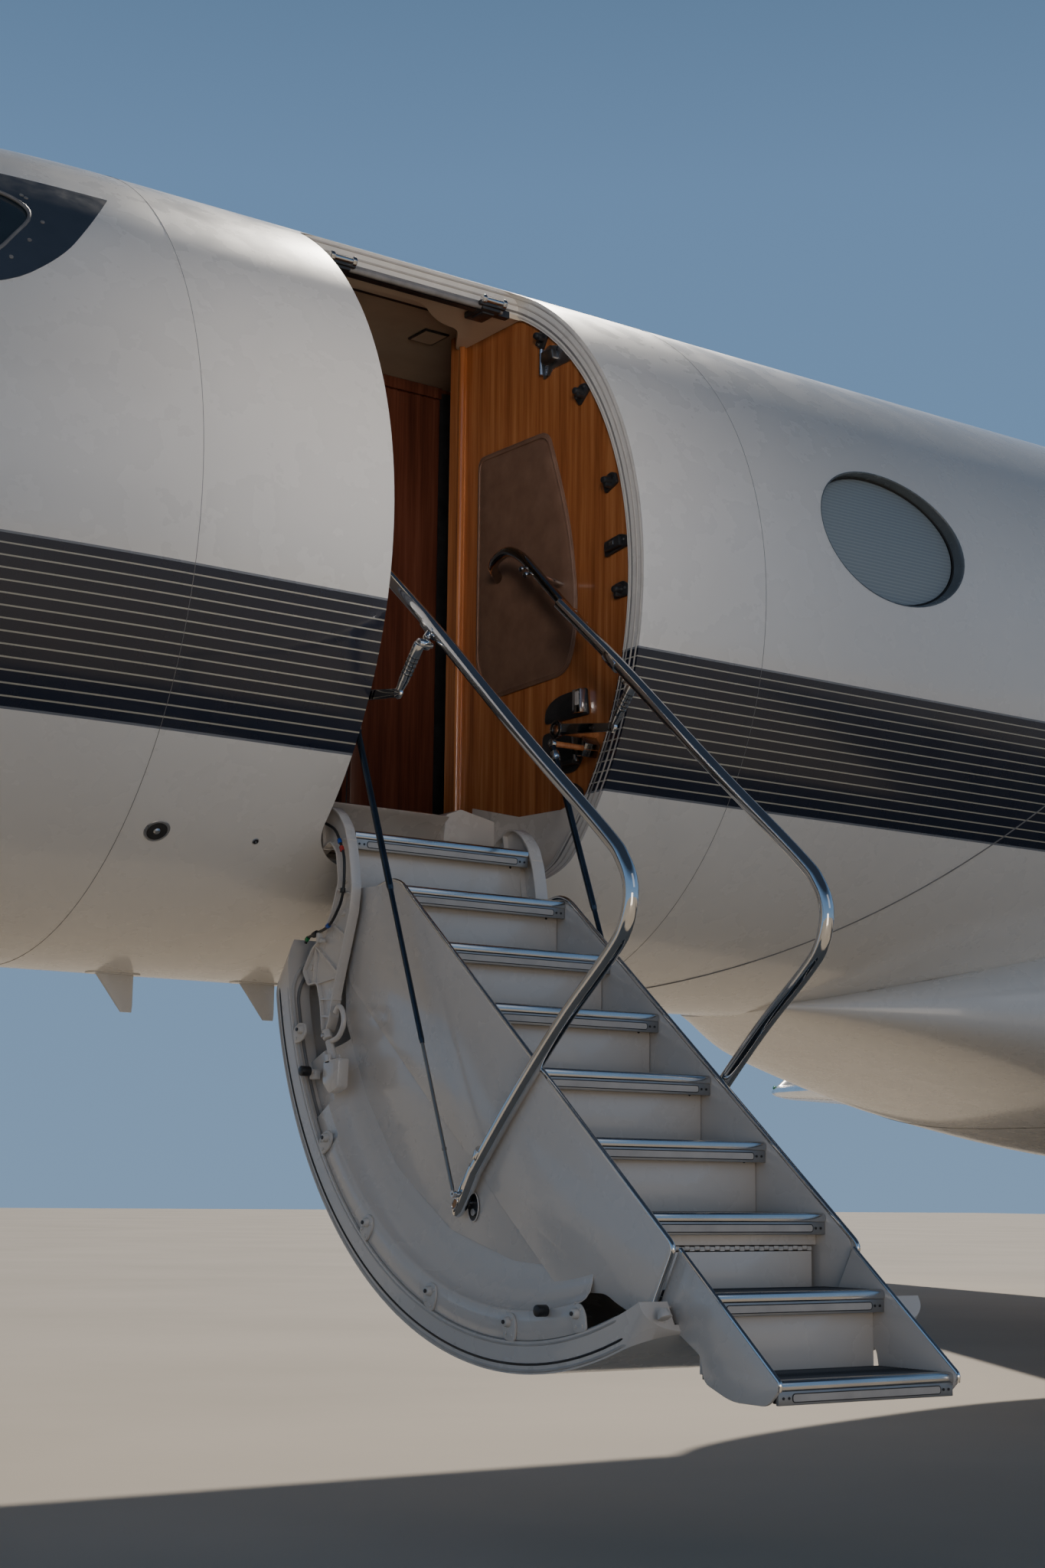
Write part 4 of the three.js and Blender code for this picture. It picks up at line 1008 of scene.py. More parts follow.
# Latches on the door's end faces: their turns round the fuselage, radius and places along it
LATCH = {"turns": (216.0, 198.0, 181.4, 162.9, 144.5, 130.0), "r": 1.088, "front": -0.3505, "aft": 0.3685}


def latch_pose(x, turn):
    """Stands a fitting on an end face of the door."""
    lean = Matrix.Rotation(math.radians(turn) + SWING + math.pi / 2, 4, "X")
    return Matrix.Translation(door_place(x, turn, LATCH["r"])) @ lean


def make_latches():
    """Cast latch guides bolted to the door's end faces, those in front with a dark pin."""
    front = rounded([(-0.024, -0.034), (0.020, -0.030), (0.027, 0.004), (0.012, 0.034), (-0.014, 0.034),
                     (-0.028, 0.008)], 0.012, 4)
    aft = rounded([(-0.024, -0.034), (0.024, -0.034), (0.024, 0.034), (-0.024, 0.034)], 0.012, 4)
    for number, turn in enumerate(LATCH["turns"], 1):
        parts = [slab(front, "yz", 0.0, -0.007, 0.0022),
                 bar_mesh((-0.004, 0.002, 0.012), (-0.020, 0.002, 0.012), 0.0135, 20, 0.0105, 0.002),
                 bar_mesh((-0.018, 0.002, 0.012), (-0.023, 0.002, 0.012), 0.005, 12, index=1)]
        parts += [bar_mesh((-0.006, y, z), (-0.0095, y, z), 0.0052, 6, 0.0045)
                  for y, z in ((-0.012, -0.020), (0.012, -0.016), (-0.014, 0.020))]
        mesh = moved(merged(parts), latch_pose(LATCH["front"], turn))
        link(f"door_latch_{number}", mesh, ["cast", "black"], "airstair")
    for number, turn in enumerate(LATCH["turns"], 1):
        parts = [slab(aft, "yz", 0.0, 0.007, 0.002),
                 bar_mesh((0.004, 0, 0.010), (0.018, 0, 0.010), 0.013, 20, 0.010, 0.002)]
        mesh = moved(merged(parts), latch_pose(LATCH["aft"], turn))
        link(f"door_latch_aft_{number}", mesh, "cast", "airstair")


make_latches()


def roller(name, place):
    """A black guide roller on a forked bracket."""
    x, y, z = place
    parts = [
        bar_mesh((x, y, z), (x - 0.030, y, z), 0.014, 24, bevel=0.003, index=1),
        bar_mesh((x + 0.035, y, z), (x + 0.004, y, z), 0.0065, 14),
        block((x + 0.008, y - 0.016, z - 0.022), (x + 0.026, y + 0.016, z + 0.004), 0.003),
        bar_mesh((x + 0.002, y, z), (x - 0.001, y, z), 0.010, 20),
    ]
    fit(name, parts, ["cast", "black"], "airstair")


roller("edge_roller_upper", (-0.352, -0.801, -1.510))
roller("edge_roller_lower", (-0.352, -1.917, -2.106))


def plate_with(name, outline, side, thick, proud, bevel=0.002):
    """A flat plate on the stair's front or aft side, its face proud of the side plate's."""
    x = mirror_x(side, proud)
    inner = x + thick if side == "front" else x - thick
    fit(name, slab(outline, "yz", min(x, inner), max(x, inner), bevel), "liner", "airstair")


# Treads and risers: the first tread's nosing, the pitch, and the top tread's own ends and depth
STEP = {"y": -0.915, "z": -0.841, "run": -0.2118, "rise": -0.1725, "first": 2, "fold": 8, "last": 10,
        "top_ends": (-0.2905, 0.3065), "depth": 0.205}
RISER = {"back": 0.040, "thick": 0.007, "below": 0.030, "gap": 0.004}


def step_y(i):
    return STEP["y"] + STEP["run"] * (i - STEP["first"])


def step_z(i):
    return STEP["z"] + STEP["rise"] * (i - STEP["first"])


# Side plates: the raised upper plate and the flat panel behind it that runs into the moulded cover
PLATE_EDGE = [(-1.020, -1.008), (-1.085, -0.997), (-1.135, -1.012), (-2.285, -1.945), (-2.289, -1.962),
              (-2.203, -2.112)]
PLATE_BACK = [(-2.165, -2.111), (-2.090, -2.084), (-2.049, -2.064), (-1.874, -2.064), (-1.592, -1.840),
              (-1.529, -1.778), (-1.325, -1.626), (-0.872, -1.258), (-0.862, -1.120), (-0.900, -1.004)]
PANEL = [(-1.020, -1.014), (-1.135, -1.020), (-2.278, -1.948), (-2.196, -2.110), (-2.14, -2.100),
         (-1.95, -2.010), (-1.68, -2.000), (-1.40, -1.930), (-1.14, -1.770), (-0.98, -1.58), (-0.862, -1.37),
         (-0.856, -1.235), (-0.895, -1.010)]


def make_plates():
    for side in ("front", "aft"):
        plate_with(f"side_panel_{side}", rounded(PANEL, 0.03, 4), side, thick=0.008, proud=-0.001)
        outline = rounded(PLATE_EDGE + PLATE_BACK, [0.01, 0.03, 0.03, 0.012, 0.012, 0.012, 0.02, 0.02, 0.02,
                                                    0.05, 0.04, 0.06, 0.05, 0.05, 0.04, 0.04], 5)
        plate_with(f"side_plate_{side}", outline, side, thick=0.006, proud=0.003, bevel=0.0022)
        x = mirror_x(side, -0.003)
        line = [Vector((x, y, z)) for y, z in rounded(PLATE_EDGE, [0, 0.03, 0.02, 0.018, 0.018, 0], 6)]
        edge = tube_mesh([p + ENTRY for p in line], 0.0065, 12, up=(1, 0, 0))
        link(f"side_trim_{side}", edge, "chrome", "airstair")


make_plates()


# Treads: bright rounded nosing over a satin face with an inset strip, ribbed walking face
NOSE = {"band": 0.0235, "face": 0.052, "inset": (0.0285, 0.0455), "ends": 0.040}


def tread(name, i, x0, x1, body, stands_for, depth=None):
    y, z = step_y(i), step_z(i)
    back = (step_y(i - 1) + 0.038) if depth is None else y + depth
    parts = []
    band, low = z - NOSE["band"], z - NOSE["face"]
    profile = [(y + 0.003, band), (y, band + 0.003), (y - 0.0008, z - 0.012), (y + 0.001, z - 0.005),
               (y + 0.006, z - 0.001), (y + 0.014, z), (y + 0.026, z), (y + 0.026, z - 0.006),
               (y + 0.012, z - 0.010), (y + 0.012, band)]
    parts.append(bevelled(prism_mesh(profile, "yz", x0, x1), 0.0012, 2, 25))
    parts.append(block((x0, y + 0.0025, low), (x1, y + 0.011, band + 0.001), 0.0014, index=4))
    slot_low, slot_high = z - NOSE["inset"][1], z - NOSE["inset"][0]
    a, b = x0 + NOSE["ends"], x1 - NOSE["ends"]
    slot_face = rounded([(a, slot_low), (b, slot_low), (b, slot_high), (a, slot_high)], 0.0075, 5)
    parts.append(painted(bevelled(prism_mesh(slot_face, "xz", y + 0.0012, y + 0.004), 0.0005, 1), 1))
    rim = [Vector((px, y + 0.0016, pz)) for px, pz in slot_face]
    parts.append(tube_mesh(rim, 0.0012, 6, closed=True, index=3))
    middle = (slot_low + slot_high) / 2
    for x in (x0 + 0.014, x0 + 0.030, x1 - 0.030, x1 - 0.014):
        parts.append(bar_mesh((x, y + 0.004, middle), (x, y + 0.0012, middle), 0.0032, 12, index=3))
    deck = box_mesh((x0, y + 0.0225, z - 0.014), (x1, back, z - 0.0022))
    parts.append(painted(deck, 2))
    count = int((back - y - 0.032) / 0.0115)
    for k in range(count):
        yk = y + 0.032 + 0.0115 * k
        rib = prism_mesh([(yk, z - 0.003), (yk + 0.0012, z - 0.0006), (yk + 0.0048, z - 0.0006),
                          (yk + 0.006, z - 0.003)],
                         "yz", x0 + 0.004, x1 - 0.004)
        parts.append(painted(rib, 2))
    parts.append(block((x0, y + 0.0105, low + 0.004), (x1, y + 0.020, z - 0.010), index=3))
    mesh = shifted(merged(parts))
    return link(name, mesh, ["steel_bright", "pale_seal", "antislip", "black", "steel_satin"],
                body, stands_for)


def riser(i, x0, x1, bevel):
    """The plate between two treads, set back under the upper one."""
    y = step_y(i) + RISER["back"]
    return block((x0, y, step_z(i + 1) - RISER["gap"]),
                 (x1, y + RISER["thick"], step_z(i) - RISER["below"]), bevel)


def make_steps():
    inner = (PLATE["front"] + PLATE["thick"] + 0.0003, PLATE["aft"] - 0.0003)
    low = (LOWER["front"] + LOWER["thick"] + 0.0003, LOWER["aft"] - 0.0003)
    first, fold = STEP["first"], STEP["fold"]
    for i in range(first, STEP["last"] + 1):
        if i == first:
            tread(f"step_{i}", i, *STEP["top_ends"], "airstair", f"tread_{i}", STEP["depth"])
        elif i <= fold:
            tread(f"step_{i}", i, *inner, "airstair", f"tread_{i}")
        else:
            depth = STEP["depth"] if i == fold + 1 else None
            tread(f"step_{i}", i, *low, "lower_steps", f"tread_{i}", depth)
    for i in range(first, fold):
        x0, x1 = STEP["top_ends"] if i == first else (inner[0] + 0.001, inner[1] - 0.001)
        x, y, z = x1 - 0.038, step_y(i) + RISER["back"], step_z(i) - RISER["below"] - 0.020
        parts = [riser(i, x0, x1, 0.0012),
                 bar_mesh((x, y + 0.001, z), (x, y - 0.0006, z), 0.004, 12, index=1)]
        fit(f"riser_{i}", parts, ["liner", "black"], "airstair")


make_steps()

FOLD = {"y": -2.152, "z": -1.960}
LOWER_PLATE = [(-2.292, -1.957), (-2.620, -2.226), (-2.617, -2.243), (-2.580, -2.276), (-2.467, -2.275),
               (-2.375, -2.241), (-2.365, -2.185), (-2.215, -2.098)]


def make_lower():
    for side, x0 in (("front", LOWER["front"]), ("aft", LOWER["aft"])):
        outline = rounded(LOWER_PLATE, [0.006, 0.012, 0.012, 0.016, 0.03, 0.02, 0.014, 0.01], 5)
        plate = slab(outline, "yz", x0, x0 + LOWER["thick"], 0.0018)
        stands = "lower_stringers" if side == "front" else ()
        fit(f"lower_plate_{side}", plate, "liner", "lower_steps", stands)
        x = x0 + LOWER["thick"] / 2
        line = [Vector((x, y, z)) + ENTRY for y, z in LOWER_PLATE[:3]]
        link(f"lower_trim_{side}", tube_mesh(bent(line, 0.008), 0.0052, 10, up=(1, 0, 0)), "chrome",
             "lower_steps")
    x0, x1 = LOWER["front"] + 0.010, LOWER["aft"]
    y = FOLD["y"] + 0.001
    leaf = block((x0, y, step_z(9) - 0.020), (x1, y + 0.006, FOLD["z"] - 0.0075), 0.001)
    fit("lower_leaf", leaf, "liner", "lower_steps")
    fit("riser_9", riser(9, x0, x1, 0.001), "liner", "lower_steps")
    x0, x1 = PLATE["front"] + 0.011, PLATE["aft"] - 0.001
    upper = block((x0, y, FOLD["z"] + 0.0075), (x1, y + 0.006, step_z(8) - 0.030), 0.001)
    fit("hinge_leaf", upper, "liner", "airstair", "stair_stringers")
    knuckles = {"airstair": [], "lower_steps": []}
    count = 34
    width = (x1 - x0 - 0.03) / count
    for k in range(count):
        a = x0 + 0.015 + width * k
        body = ("airstair", "lower_steps")[k % 2]
        lift = 0.0055 if k % 2 == 0 else -0.0055
        knuckles[body].append(bar_mesh((a + 0.0006, y + 0.002, FOLD["z"]),
                                       (a + width - 0.0006, y + 0.002, FOLD["z"]), 0.0045, 10))
        knuckles[body].append(box_mesh((a + 0.0006, y - 0.0018, min(FOLD["z"], FOLD["z"] + lift)),
                                       (a + width - 0.0006, y - 0.0004, max(FOLD["z"], FOLD["z"] + lift))))
    for body, parts in knuckles.items():
        fit(f"hinge_knuckles_{body}", parts, "cast", body)


make_lower()


def spread_out(outline, least):
    """An outline without its crowded corners."""
    out = [outline[0]]
    for p in outline[1:]:
        if math.dist(p, out[-1]) > least and math.dist(p, outline[0]) > least:
            out.append(p)
    return out


def grown(outline, reach):
    """An outline pushed out on all sides."""
    turned = sum(a[0] * b[1] - b[0] * a[1] for a, b in zip(outline, outline[1:] + outline[:1])) > 0
    sign = reach if turned else -reach
    out = []
    for i, (x, z) in enumerate(outline):
        a, b = outline[i - 1], outline[(i + 1) % len(outline)]
        dx, dz = b[0] - a[0], b[1] - a[1]
        size = math.hypot(dx, dz) or 1.0
        out.append((x + dz / size * sign, z - dx / size * sign))
    return out


# Goose-neck hinge arms: ribbed castings with a webbed middle and a raised rim
ARM_OUTLINE = [
    (-0.634, -0.996), (-0.690, -0.936), (-0.765, -0.893), (-0.828, -0.868), (-0.862, -0.900),
    (-0.877, -0.985), (-0.842, -1.070), (-0.782, -1.139), (-0.743, -1.160), (-0.692, -1.222),
    (-0.724, -1.267), (-0.772, -1.262), (-0.791, -1.311), (-0.801, -1.361), (-0.806, -1.402),
    (-0.830, -1.402), (-0.850, -1.365), (-0.864, -1.300), (-0.880, -1.252), (-0.914, -1.161),
    (-0.945, -1.075), (-0.955, -1.010), (-0.945, -0.950), (-0.932, -0.890), (-0.908, -0.830),
    (-0.872, -0.790), (-0.835, -0.768), (-0.800, -0.764), (-0.736, -0.797), (-0.670, -0.880),
    (-0.604, -0.966)]
ARM_RIBS = (((-0.858, -0.858), (-0.925, -0.872)), ((-0.864, -1.004), (-0.950, -1.028)),
            ((-0.842, -1.100), (-0.918, -1.140)), ((-0.762, -1.160), (-0.882, -1.240)),
            ((-0.772, -1.262), (-0.876, -1.252)), ((-0.792, -1.308), (-0.866, -1.312)),
            ((-0.800, -1.356), (-0.852, -1.360)), ((-0.775, -0.780), (-0.790, -0.885)),
            ((-0.760, -1.165), (-0.750, -1.262)))


def make_arm(name, x0, x1):
    x0 += CAST_INSET[name]
    middle = (x0 + x1) / 2
    shape = spread_out(rounded(ARM_OUTLINE, 0.012, 3), 0.002)
    inner, n = grown(shape, -0.0062), len(shape)
    corners = [(x0, shape), (x1, shape), (x1, inner), (x0, inner)]
    points = [(x, *line[i]) for i in range(n) for x, line in corners]
    faces = [[i * 4 + k, i * 4 + (k + 1) % 4, (i + 1) % n * 4 + (k + 1) % 4, (i + 1) % n * 4 + k]
             for i in range(n) for k in range(4)]
    parts = [bevelled(raw_mesh("rim", points, faces), 0.0014, 2, 50),
             prism_mesh(grown(shape, -0.003), "yz", middle - 0.004, middle + 0.004)]
    y, z = HINGE
    parts.append(bevelled(revolved([(x0, 0.0108), (x0, 0.0225), (x1, 0.0225),
                                    (x1, 0.0108)], (0, y, z), (1, 0, 0),
                                   32, closed=True), 0.0015))
    for start, stop in ARM_RIBS:
        a, b = Vector((0, *start)), Vector((0, *stop))
        across = Vector((0, -(b - a).z, (b - a).y)).normalized() * 0.0026
        outline = [((p + s * across).y, (p + s * across).z) for p, s in ((a, 1), (b, 1), (b, -1), (a, -1))]
        parts.append(prism_mesh(outline, "yz", x0 + 0.002, x1 - 0.002))
    for y, z in ((-0.905, -0.985), (-0.898, -1.075), (-0.738, -1.216)):
        parts.append(bar_mesh((x0 + 0.003, y, z), (middle, y, z), 0.0075, 14, 0.009))
    fit(f"goose_neck_{name}", parts, "liner", "airstair", f"hinge_arm_{name}")


for name, x0, x1 in ARMS:
    make_arm(name, x0, x1)


def make_actuator():
    """Turnbuckle, its lug bracket and the harness on the front goose-neck arm."""
    x = -0.325
    rod = merged([
        bar_mesh((x, -0.856, -1.428), (x, -0.884, -1.482), 0.0118, 20, bevel=0.002),
        bar_mesh((x, -0.838, -1.400), (x, -0.852, -1.422), 0.0150, 6, bevel=0.002),
        bar_mesh((x - 0.016, -0.842, -1.412), (x + 0.016, -0.842, -1.412), 0.0065, 14, bevel=0.001, index=1),
        bar_mesh((x, -0.884, -1.482), (x, -0.890, -1.494), 0.0085, 12, index=1)])
    fit("arm_turnbuckle", rod, ["liner", "steel"], "airstair")
    box = rounded([(-0.872, -1.484), (-0.955, -1.478), (-0.950, -1.560), (-0.905, -1.575),
                   (-0.868, -1.545)], 0.010, 4)
    lug = merged([
        slab(box, "yz", -0.352, -0.318, 0.004),
        block((-0.352, -0.905, -1.492), (-0.345, -0.880, -1.466), 0.002),
        block((-0.322, -0.905, -1.492), (-0.315, -0.880, -1.466), 0.002)])
    fit("arm_lug", lug, "liner", "airstair")
    hook = [(x, -0.862, -1.430), (x, -0.905, -1.418), (x, -0.930, -1.385), (x, -0.926, -1.352),
            (x, -0.905, -1.335), (x, -0.885, -1.350)]
    fit("arm_hook", tube_mesh(spline(hook, 5), 0.0075, 12), "liner", "airstair")
    x = -0.330
    wire = [(x, -0.812, -0.812), (x, -0.867, -0.838), (x, -0.897, -0.876), (x, -0.920, -0.922),
            (x, -0.923, -0.992), (x, -0.914, -1.034), (x, -0.894, -1.066), (x, -0.847, -1.107),
            (x, -0.774, -1.124), (x, -0.733, -1.132), (x, -0.722, -1.146)]
    fit("arm_harness", tube_mesh(spline(wire, 8), 0.0042, 10), "black", "airstair")
    clips = (((-0.904, -0.890), (-0.911, -0.904), 0.0068, "red"),
             ((-0.892, -0.868), (-0.898, -0.880), 0.0064, "blue"),
             ((-0.919, -1.008), (-0.916, -1.022), 0.0075, "black"),
             ((-0.850, -1.105), (-0.838, -1.109), 0.0066, "blue"),
             ((-0.785, -1.122), (-0.764, -1.127), 0.0085, "black"),
             ((-0.736, -1.131), (-0.726, -1.138), 0.0066, "green"))
    for number, (start, stop, radius, color) in enumerate(clips, 1):
        fit(f"harness_clip_{number}", bar_mesh((x, *start), (x, *stop), radius, 12, bevel=0.001), color,
            "airstair")
    stand = merged([block((x - 0.004, -0.800, -1.150), (x + 0.010, -0.784, -1.122), 0.002),
                    bar_mesh((x - 0.006, -0.812, -1.146), (x + 0.008, -0.812, -1.146), 0.007, 12,
                             bevel=0.001)])
    fit("harness_stand", stand, "cast", "airstair")


make_actuator()

# Handrails, their steadying arms and the telescopic struts
RAIL_R = 0.019
RAIL_LINE = [
    (-1.475, -1.868), (-1.530, -1.795), (-1.720, -1.600), (-1.915, -1.420), (-2.085, -1.285),
    (-2.145, -1.222), (-2.166, -1.140), (-2.138, -1.066), (-2.060, -0.985), (-1.740, -0.716),
    (-1.350, -0.375), (-1.042, -0.118)]
RAILS = (("front", -0.300, -1), ("aft", 0.321, 1))
PIVOT = (-1.475, -1.868)
STRUT_TOP, STRUT_FOOT = (-0.958, -0.520), (-1.492, -1.842)
LINK_EYE, LINK_ELBOW, LINK_TIP = (-0.947, -0.473), (-1.217, -0.509), (-1.318, -0.392)
LINKS = (("front", -0.356, -0.344, -0.322), ("aft", 0.390, 0.376, 0.343))
STRUTS = (("front", -0.331), ("aft", 0.358))


def make_rail(name, x, out):
    line = spline([(x, y, z) for y, z in RAIL_LINE], 9)[3:]
    body = f"handrail_{name}"
    tube = tube_mesh(line, RAIL_R, 24)
    fit(f"rail_{name}", tube, "chrome", body, body, smooth=50)
    y, z = PIVOT
    second = RAIL_LINE[1]
    along = Vector((0, second[0] - PIVOT[0], second[1] - PIVOT[1])).normalized()
    parts = []
    ring = Vector((x, *second)) + along * 0.055
    parts.append(bar_mesh(ring - along * 0.004, ring + along * 0.022, RAIL_R + 0.0022, 28, bevel=0.0012))
    sections = []
    for s, rx, rn in ((-0.030, 0.004, 0.006), (-0.027, 0.012, 0.0145), (-0.018, 0.0155, 0.0205),
                      (-0.002, 0.017, 0.0235), (0.040, 0.018, 0.0235), (0.085, 0.0195, 0.0215),
                      (0.118, 0.0196, 0.0198)):
        sections.append((Vector((x, y, z)) + along * s, rx, rn))
    across = Vector((0, along.z, -along.y))
    points, n = [], 24
    for center, rx, rn in sections:
        points += [center + Vector((rx * math.cos(a), 0, 0)) + across * (rn * math.sin(a))
                   for a in turns_of(n)]
    ends = [list(range(n)), list(range((len(sections) - 1) * n, len(sections) * n))]
    parts.append(solid_of(points, band_faces(len(sections), n) + ends))
    face = x + out * 0.0178
    lens = []
    for a in turns_of(20):
        lens.append((y + along.y * 0.004 + 0.009 * math.cos(a) * across.y + 0.016 * math.sin(a) * along.y,
                     z + along.z * 0.004 + 0.009 * math.cos(a) * across.z + 0.016 * math.sin(a) * along.z))
    parts.append(slab(lens, "yz", min(face, face - out * 0.004), max(face, face - out * 0.004), index=1))
    parts.append(tube_mesh([(face, u, v) for u, v in lens], 0.0014, 8, closed=True))
    plate_face = PLATE["front"] - 0.0035 if out < 0 else PLATE["aft"] + PLATE["thick"] + 0.0035
    parts.append(bar_mesh((plate_face, y, z), (x, y, z), 0.0125, 20, index=2))
    reach = x + out * (0.0255 if out < 0 else 0.0315)
    fy, fz = STRUT_FOOT
    parts.append(bar_mesh((x + out * 0.004, fy, fz), (reach, fy, fz), 0.0075, 16, bevel=0.001, index=2))
    fit(f"rail_shoe_{name}", parts, ["chrome", "amber", "steel"], body)
    tip = Vector((x, *RAIL_LINE[-1]))
    back = (Vector((x, *RAIL_LINE[-2])) - tip).normalized()
    cap = bar_mesh(tip + back * 0.004, tip - back * 0.0045, RAIL_R - 0.001, 24, RAIL_R - 0.005)
    fit(f"rail_cap_{name}", cap, "steel", body)
    lug_x = {key: near for key, _, near, _ in LINKS}[name]
    rest = Vector((x, -1.300, -0.338))
    lug = [bar_mesh(rest, (x + (lug_x - x) * 0.62, LINK_TIP[0] + 0.004, LINK_TIP[1] + 0.020), 0.0115, 20,
                    0.0100, 0.001),
           bar_mesh((x + (lug_x - x) * 0.25, *LINK_TIP), (lug_x, *LINK_TIP), 0.0078, 16, bevel=0.001),
           bar_mesh(rest + Vector((0, 0.026, 0.022)), rest + Vector((0, -0.026, -0.022)), RAIL_R + 0.0020, 28,
                    bevel=0.0012)]
    fit(f"rail_lug_{name}", lug, "chrome", body)
    recess_x = PLATE["front"] - 0.0033 if out < 0 else PLATE["aft"] + PLATE["thick"] + 0.0033
    oval_line = [(-1.506 + 0.024 * math.cos(a), -1.872 + 0.036 * math.sin(a)) for a in turns_of(28)]
    # The hole round the rail's pivot is a black oval disc, painted shade, under a liner rim and two steel
    # pins.
    hole = merged([
        slab(oval_line, "yz", min(recess_x, recess_x - out * 0.003), max(recess_x, recess_x - out * 0.003)),
        tube_mesh([(recess_x, u, v) for u, v in oval_line], 0.0016, 8, closed=True, index=1),
        bar_mesh((recess_x - out * 0.002, -1.513, -1.885), (recess_x + out * 0.006, -1.513, -1.885), 0.009,
                 14, index=2),
        bar_mesh((recess_x - out * 0.002, -1.498, -1.862), (recess_x + out * 0.008, -1.498, -1.862), 0.006,
                 12, index=2)])
    fit(f"rail_recess_{name}", hole, ["black", "liner", "steel"], "airstair")


for name, x, out in RAILS:
    make_rail(name, x, out)


def make_link(name, far, near, tip):
    """A steadying arm: ring eye, dark bar, ball elbow and a short knurled branch up to the rail."""
    body = f"rail_arm_{name}"
    mid = (far + near) / 2
    half = abs(far - near) / 2
    outer = 1 if far > near else -1

    def place(p, x=mid):
        return Vector((x, p[0], p[1]))

    parts = []
    ring = [(-half, 0.0145), (-half, 0.028), (half, 0.028), (half, 0.0145)]
    parts.append(painted(bevelled(revolved(ring, place(LINK_EYE), (1, 0, 0), 36, closed=True), 0.002), 1))
    eye, elbow = Vector(LINK_EYE), Vector(LINK_ELBOW)
    run = (elbow - eye).normalized()
    across = Vector((-run.y, run.x))
    a, b = eye + run * 0.020, elbow - run * 0.012
    outline = [a + across * 0.0165, b + across * 0.012, b - across * 0.012, a - across * 0.0165]
    parts.append(slab([tuple(p) for p in outline], "yz", mid - half * 0.8, mid + half * 0.8, 0.0022, index=1))
    for share in (0.62, 0.70):
        p = eye + run * ((elbow - eye).length * share)
        x = mid - outer * half * 0.8
        parts.append(bar_mesh((x + outer * 0.001, *p), (x - outer * 0.001, *p), 0.0028, 10))
    parts.append(revolved([(-half, 0.0), (-half, 0.012), (-half * 0.7, 0.016), (0, 0.0175),
                           (half * 0.7, 0.016), (half, 0.012),
                           (half, 0.0)], place(LINK_ELBOW), (1, 0, 0), 28))
    top = Vector(LINK_TIP)
    up = (top - elbow).normalized()
    q = elbow + up * 0.012
    parts.append(bar_mesh(place(q), place(elbow + up * 0.040), 0.0105, 20, 0.0145))
    parts.append(bar_mesh(place(elbow + up * 0.040), place(top), 0.0145, 24, 0.0160, 0.0015))
    for k in range(5):
        c = elbow + up * (0.060 + 0.013 * k)
        parts.append(bar_mesh(place(c), place(c + up * 0.004), 0.0162, 20, index=1))
    parts.append(bar_mesh(place(LINK_TIP, far), place(LINK_TIP, tip), 0.0150, 24, bevel=0.002))
    fit(f"steady_{name}", parts, ["chrome", "dark_chrome"], body, body)


for name, far, near, tip in LINKS:
    make_link(name, far, near, tip)

STAGES = (("tube", 0.0095, 0.0, 0.560, "tube"), ("sleeve", 0.0072, 0.500, 1.010, "tube"),
          ("rod", 0.0048, 0.950, 1.421, "titanium"))


def make_strut(name, x):
    run = (Vector(STRUT_FOOT) - Vector(STRUT_TOP)).normalized()

    def on(s):
        p = Vector(STRUT_TOP) + run * s
        return Vector((x, p.x, p.y))

    for stage, radius, start, stop, finish in STAGES:
        body = f"strut_{stage}_{name}"
        mesh = [bar_mesh(on(max(start, 0.012)), on(stop - 0.012), radius, 24),
                bar_mesh(on(stop - 0.012), on(stop), radius, 24, radius * 0.82)]
        if stage == "tube":
            ring = [(-0.0075, 0.0045), (-0.0075, 0.0125), (0.0075, 0.0125), (0.0075, 0.0045)]
            mesh.append(painted(bevelled(revolved(ring, on(0), (1, 0, 0), 28, closed=True), 0.0015), 1))
            mesh.append(bar_mesh(on(0.030), on(0.052), 0.0135, 24, bevel=0.002, index=1))
            mesh.append(bar_mesh(on(0.052), on(0.058), 0.0115, 24, index=1))
        if stage == "rod":
            ring = [(-0.0045, 0.003), (-0.0045, 0.0085), (0.0045, 0.0085), (0.0045, 0.003)]
            mesh.append(bar_mesh(on(1.300), on(1.306), 0.0062, 16))
            mesh.append(revolved(ring, on(1.424), (1, 0, 0), 20, closed=True, index=1))
        fit(f"strut_{stage}_part_{name}", mesh, [finish, "chrome"], body, body)


for name, x in STRUTS:
    make_strut(name, x)


# The doorway: seal lips round the opening
def opening_line(r, grow):
    """The opening's edge at a radius: the outline, kept under the top's cut and over the round sill."""
    top = r * math.sin(DOOR["top"]) + grow * math.cos(DOOR["top"])
    reach = math.hypot(*HINGE)
    share = (r * r + reach * reach - (DOOR["sill_round"] - grow) ** 2) / (2 * r * reach)
    sill = r * math.sin(math.atan2(HINGE[1], -HINGE[0]) + math.acos(max(-1, min(1, share))))
    out = []
    for x, z in dense(door_outline(grow), 0.025):
        z = max(sill, min(z, top))
        out.append(Vector((x, -math.sqrt(r * r - z * z), AXIS_Z + z)))
    return out


LIPS = ((1.1925, 0.0022, "polished"), (1.1825, 0.0068, "pale_seal"), (1.1725, 0.0040, "seal"),
        (1.1610, 0.0070, "pale_seal"), (1.1500, 0.0038, "black"), (1.1390, 0.0068, "seal"),
        (1.1265, 0.0062, "pale_seal"))
for number, (r, radius, finish) in enumerate(LIPS, 1):
    link(f"door_lip_{number}", tube_mesh(opening_line(r, 0.003), radius * 0.75, 8, closed=True), finish)


# Cabin fittings seen through the doorway
def finish_node(node, key):
    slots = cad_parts[node].data.materials
    slots.clear()
    slots.append(M[key])


for node, key in (("cabin_floor", "carpet"), ("aft_partition", "wood"), ("entry_ceiling", "cream_dark"),
                  ("forward_bulkhead", "cream"), ("galley_cabinet", "dark_wood")):
    finish_node(node, key)

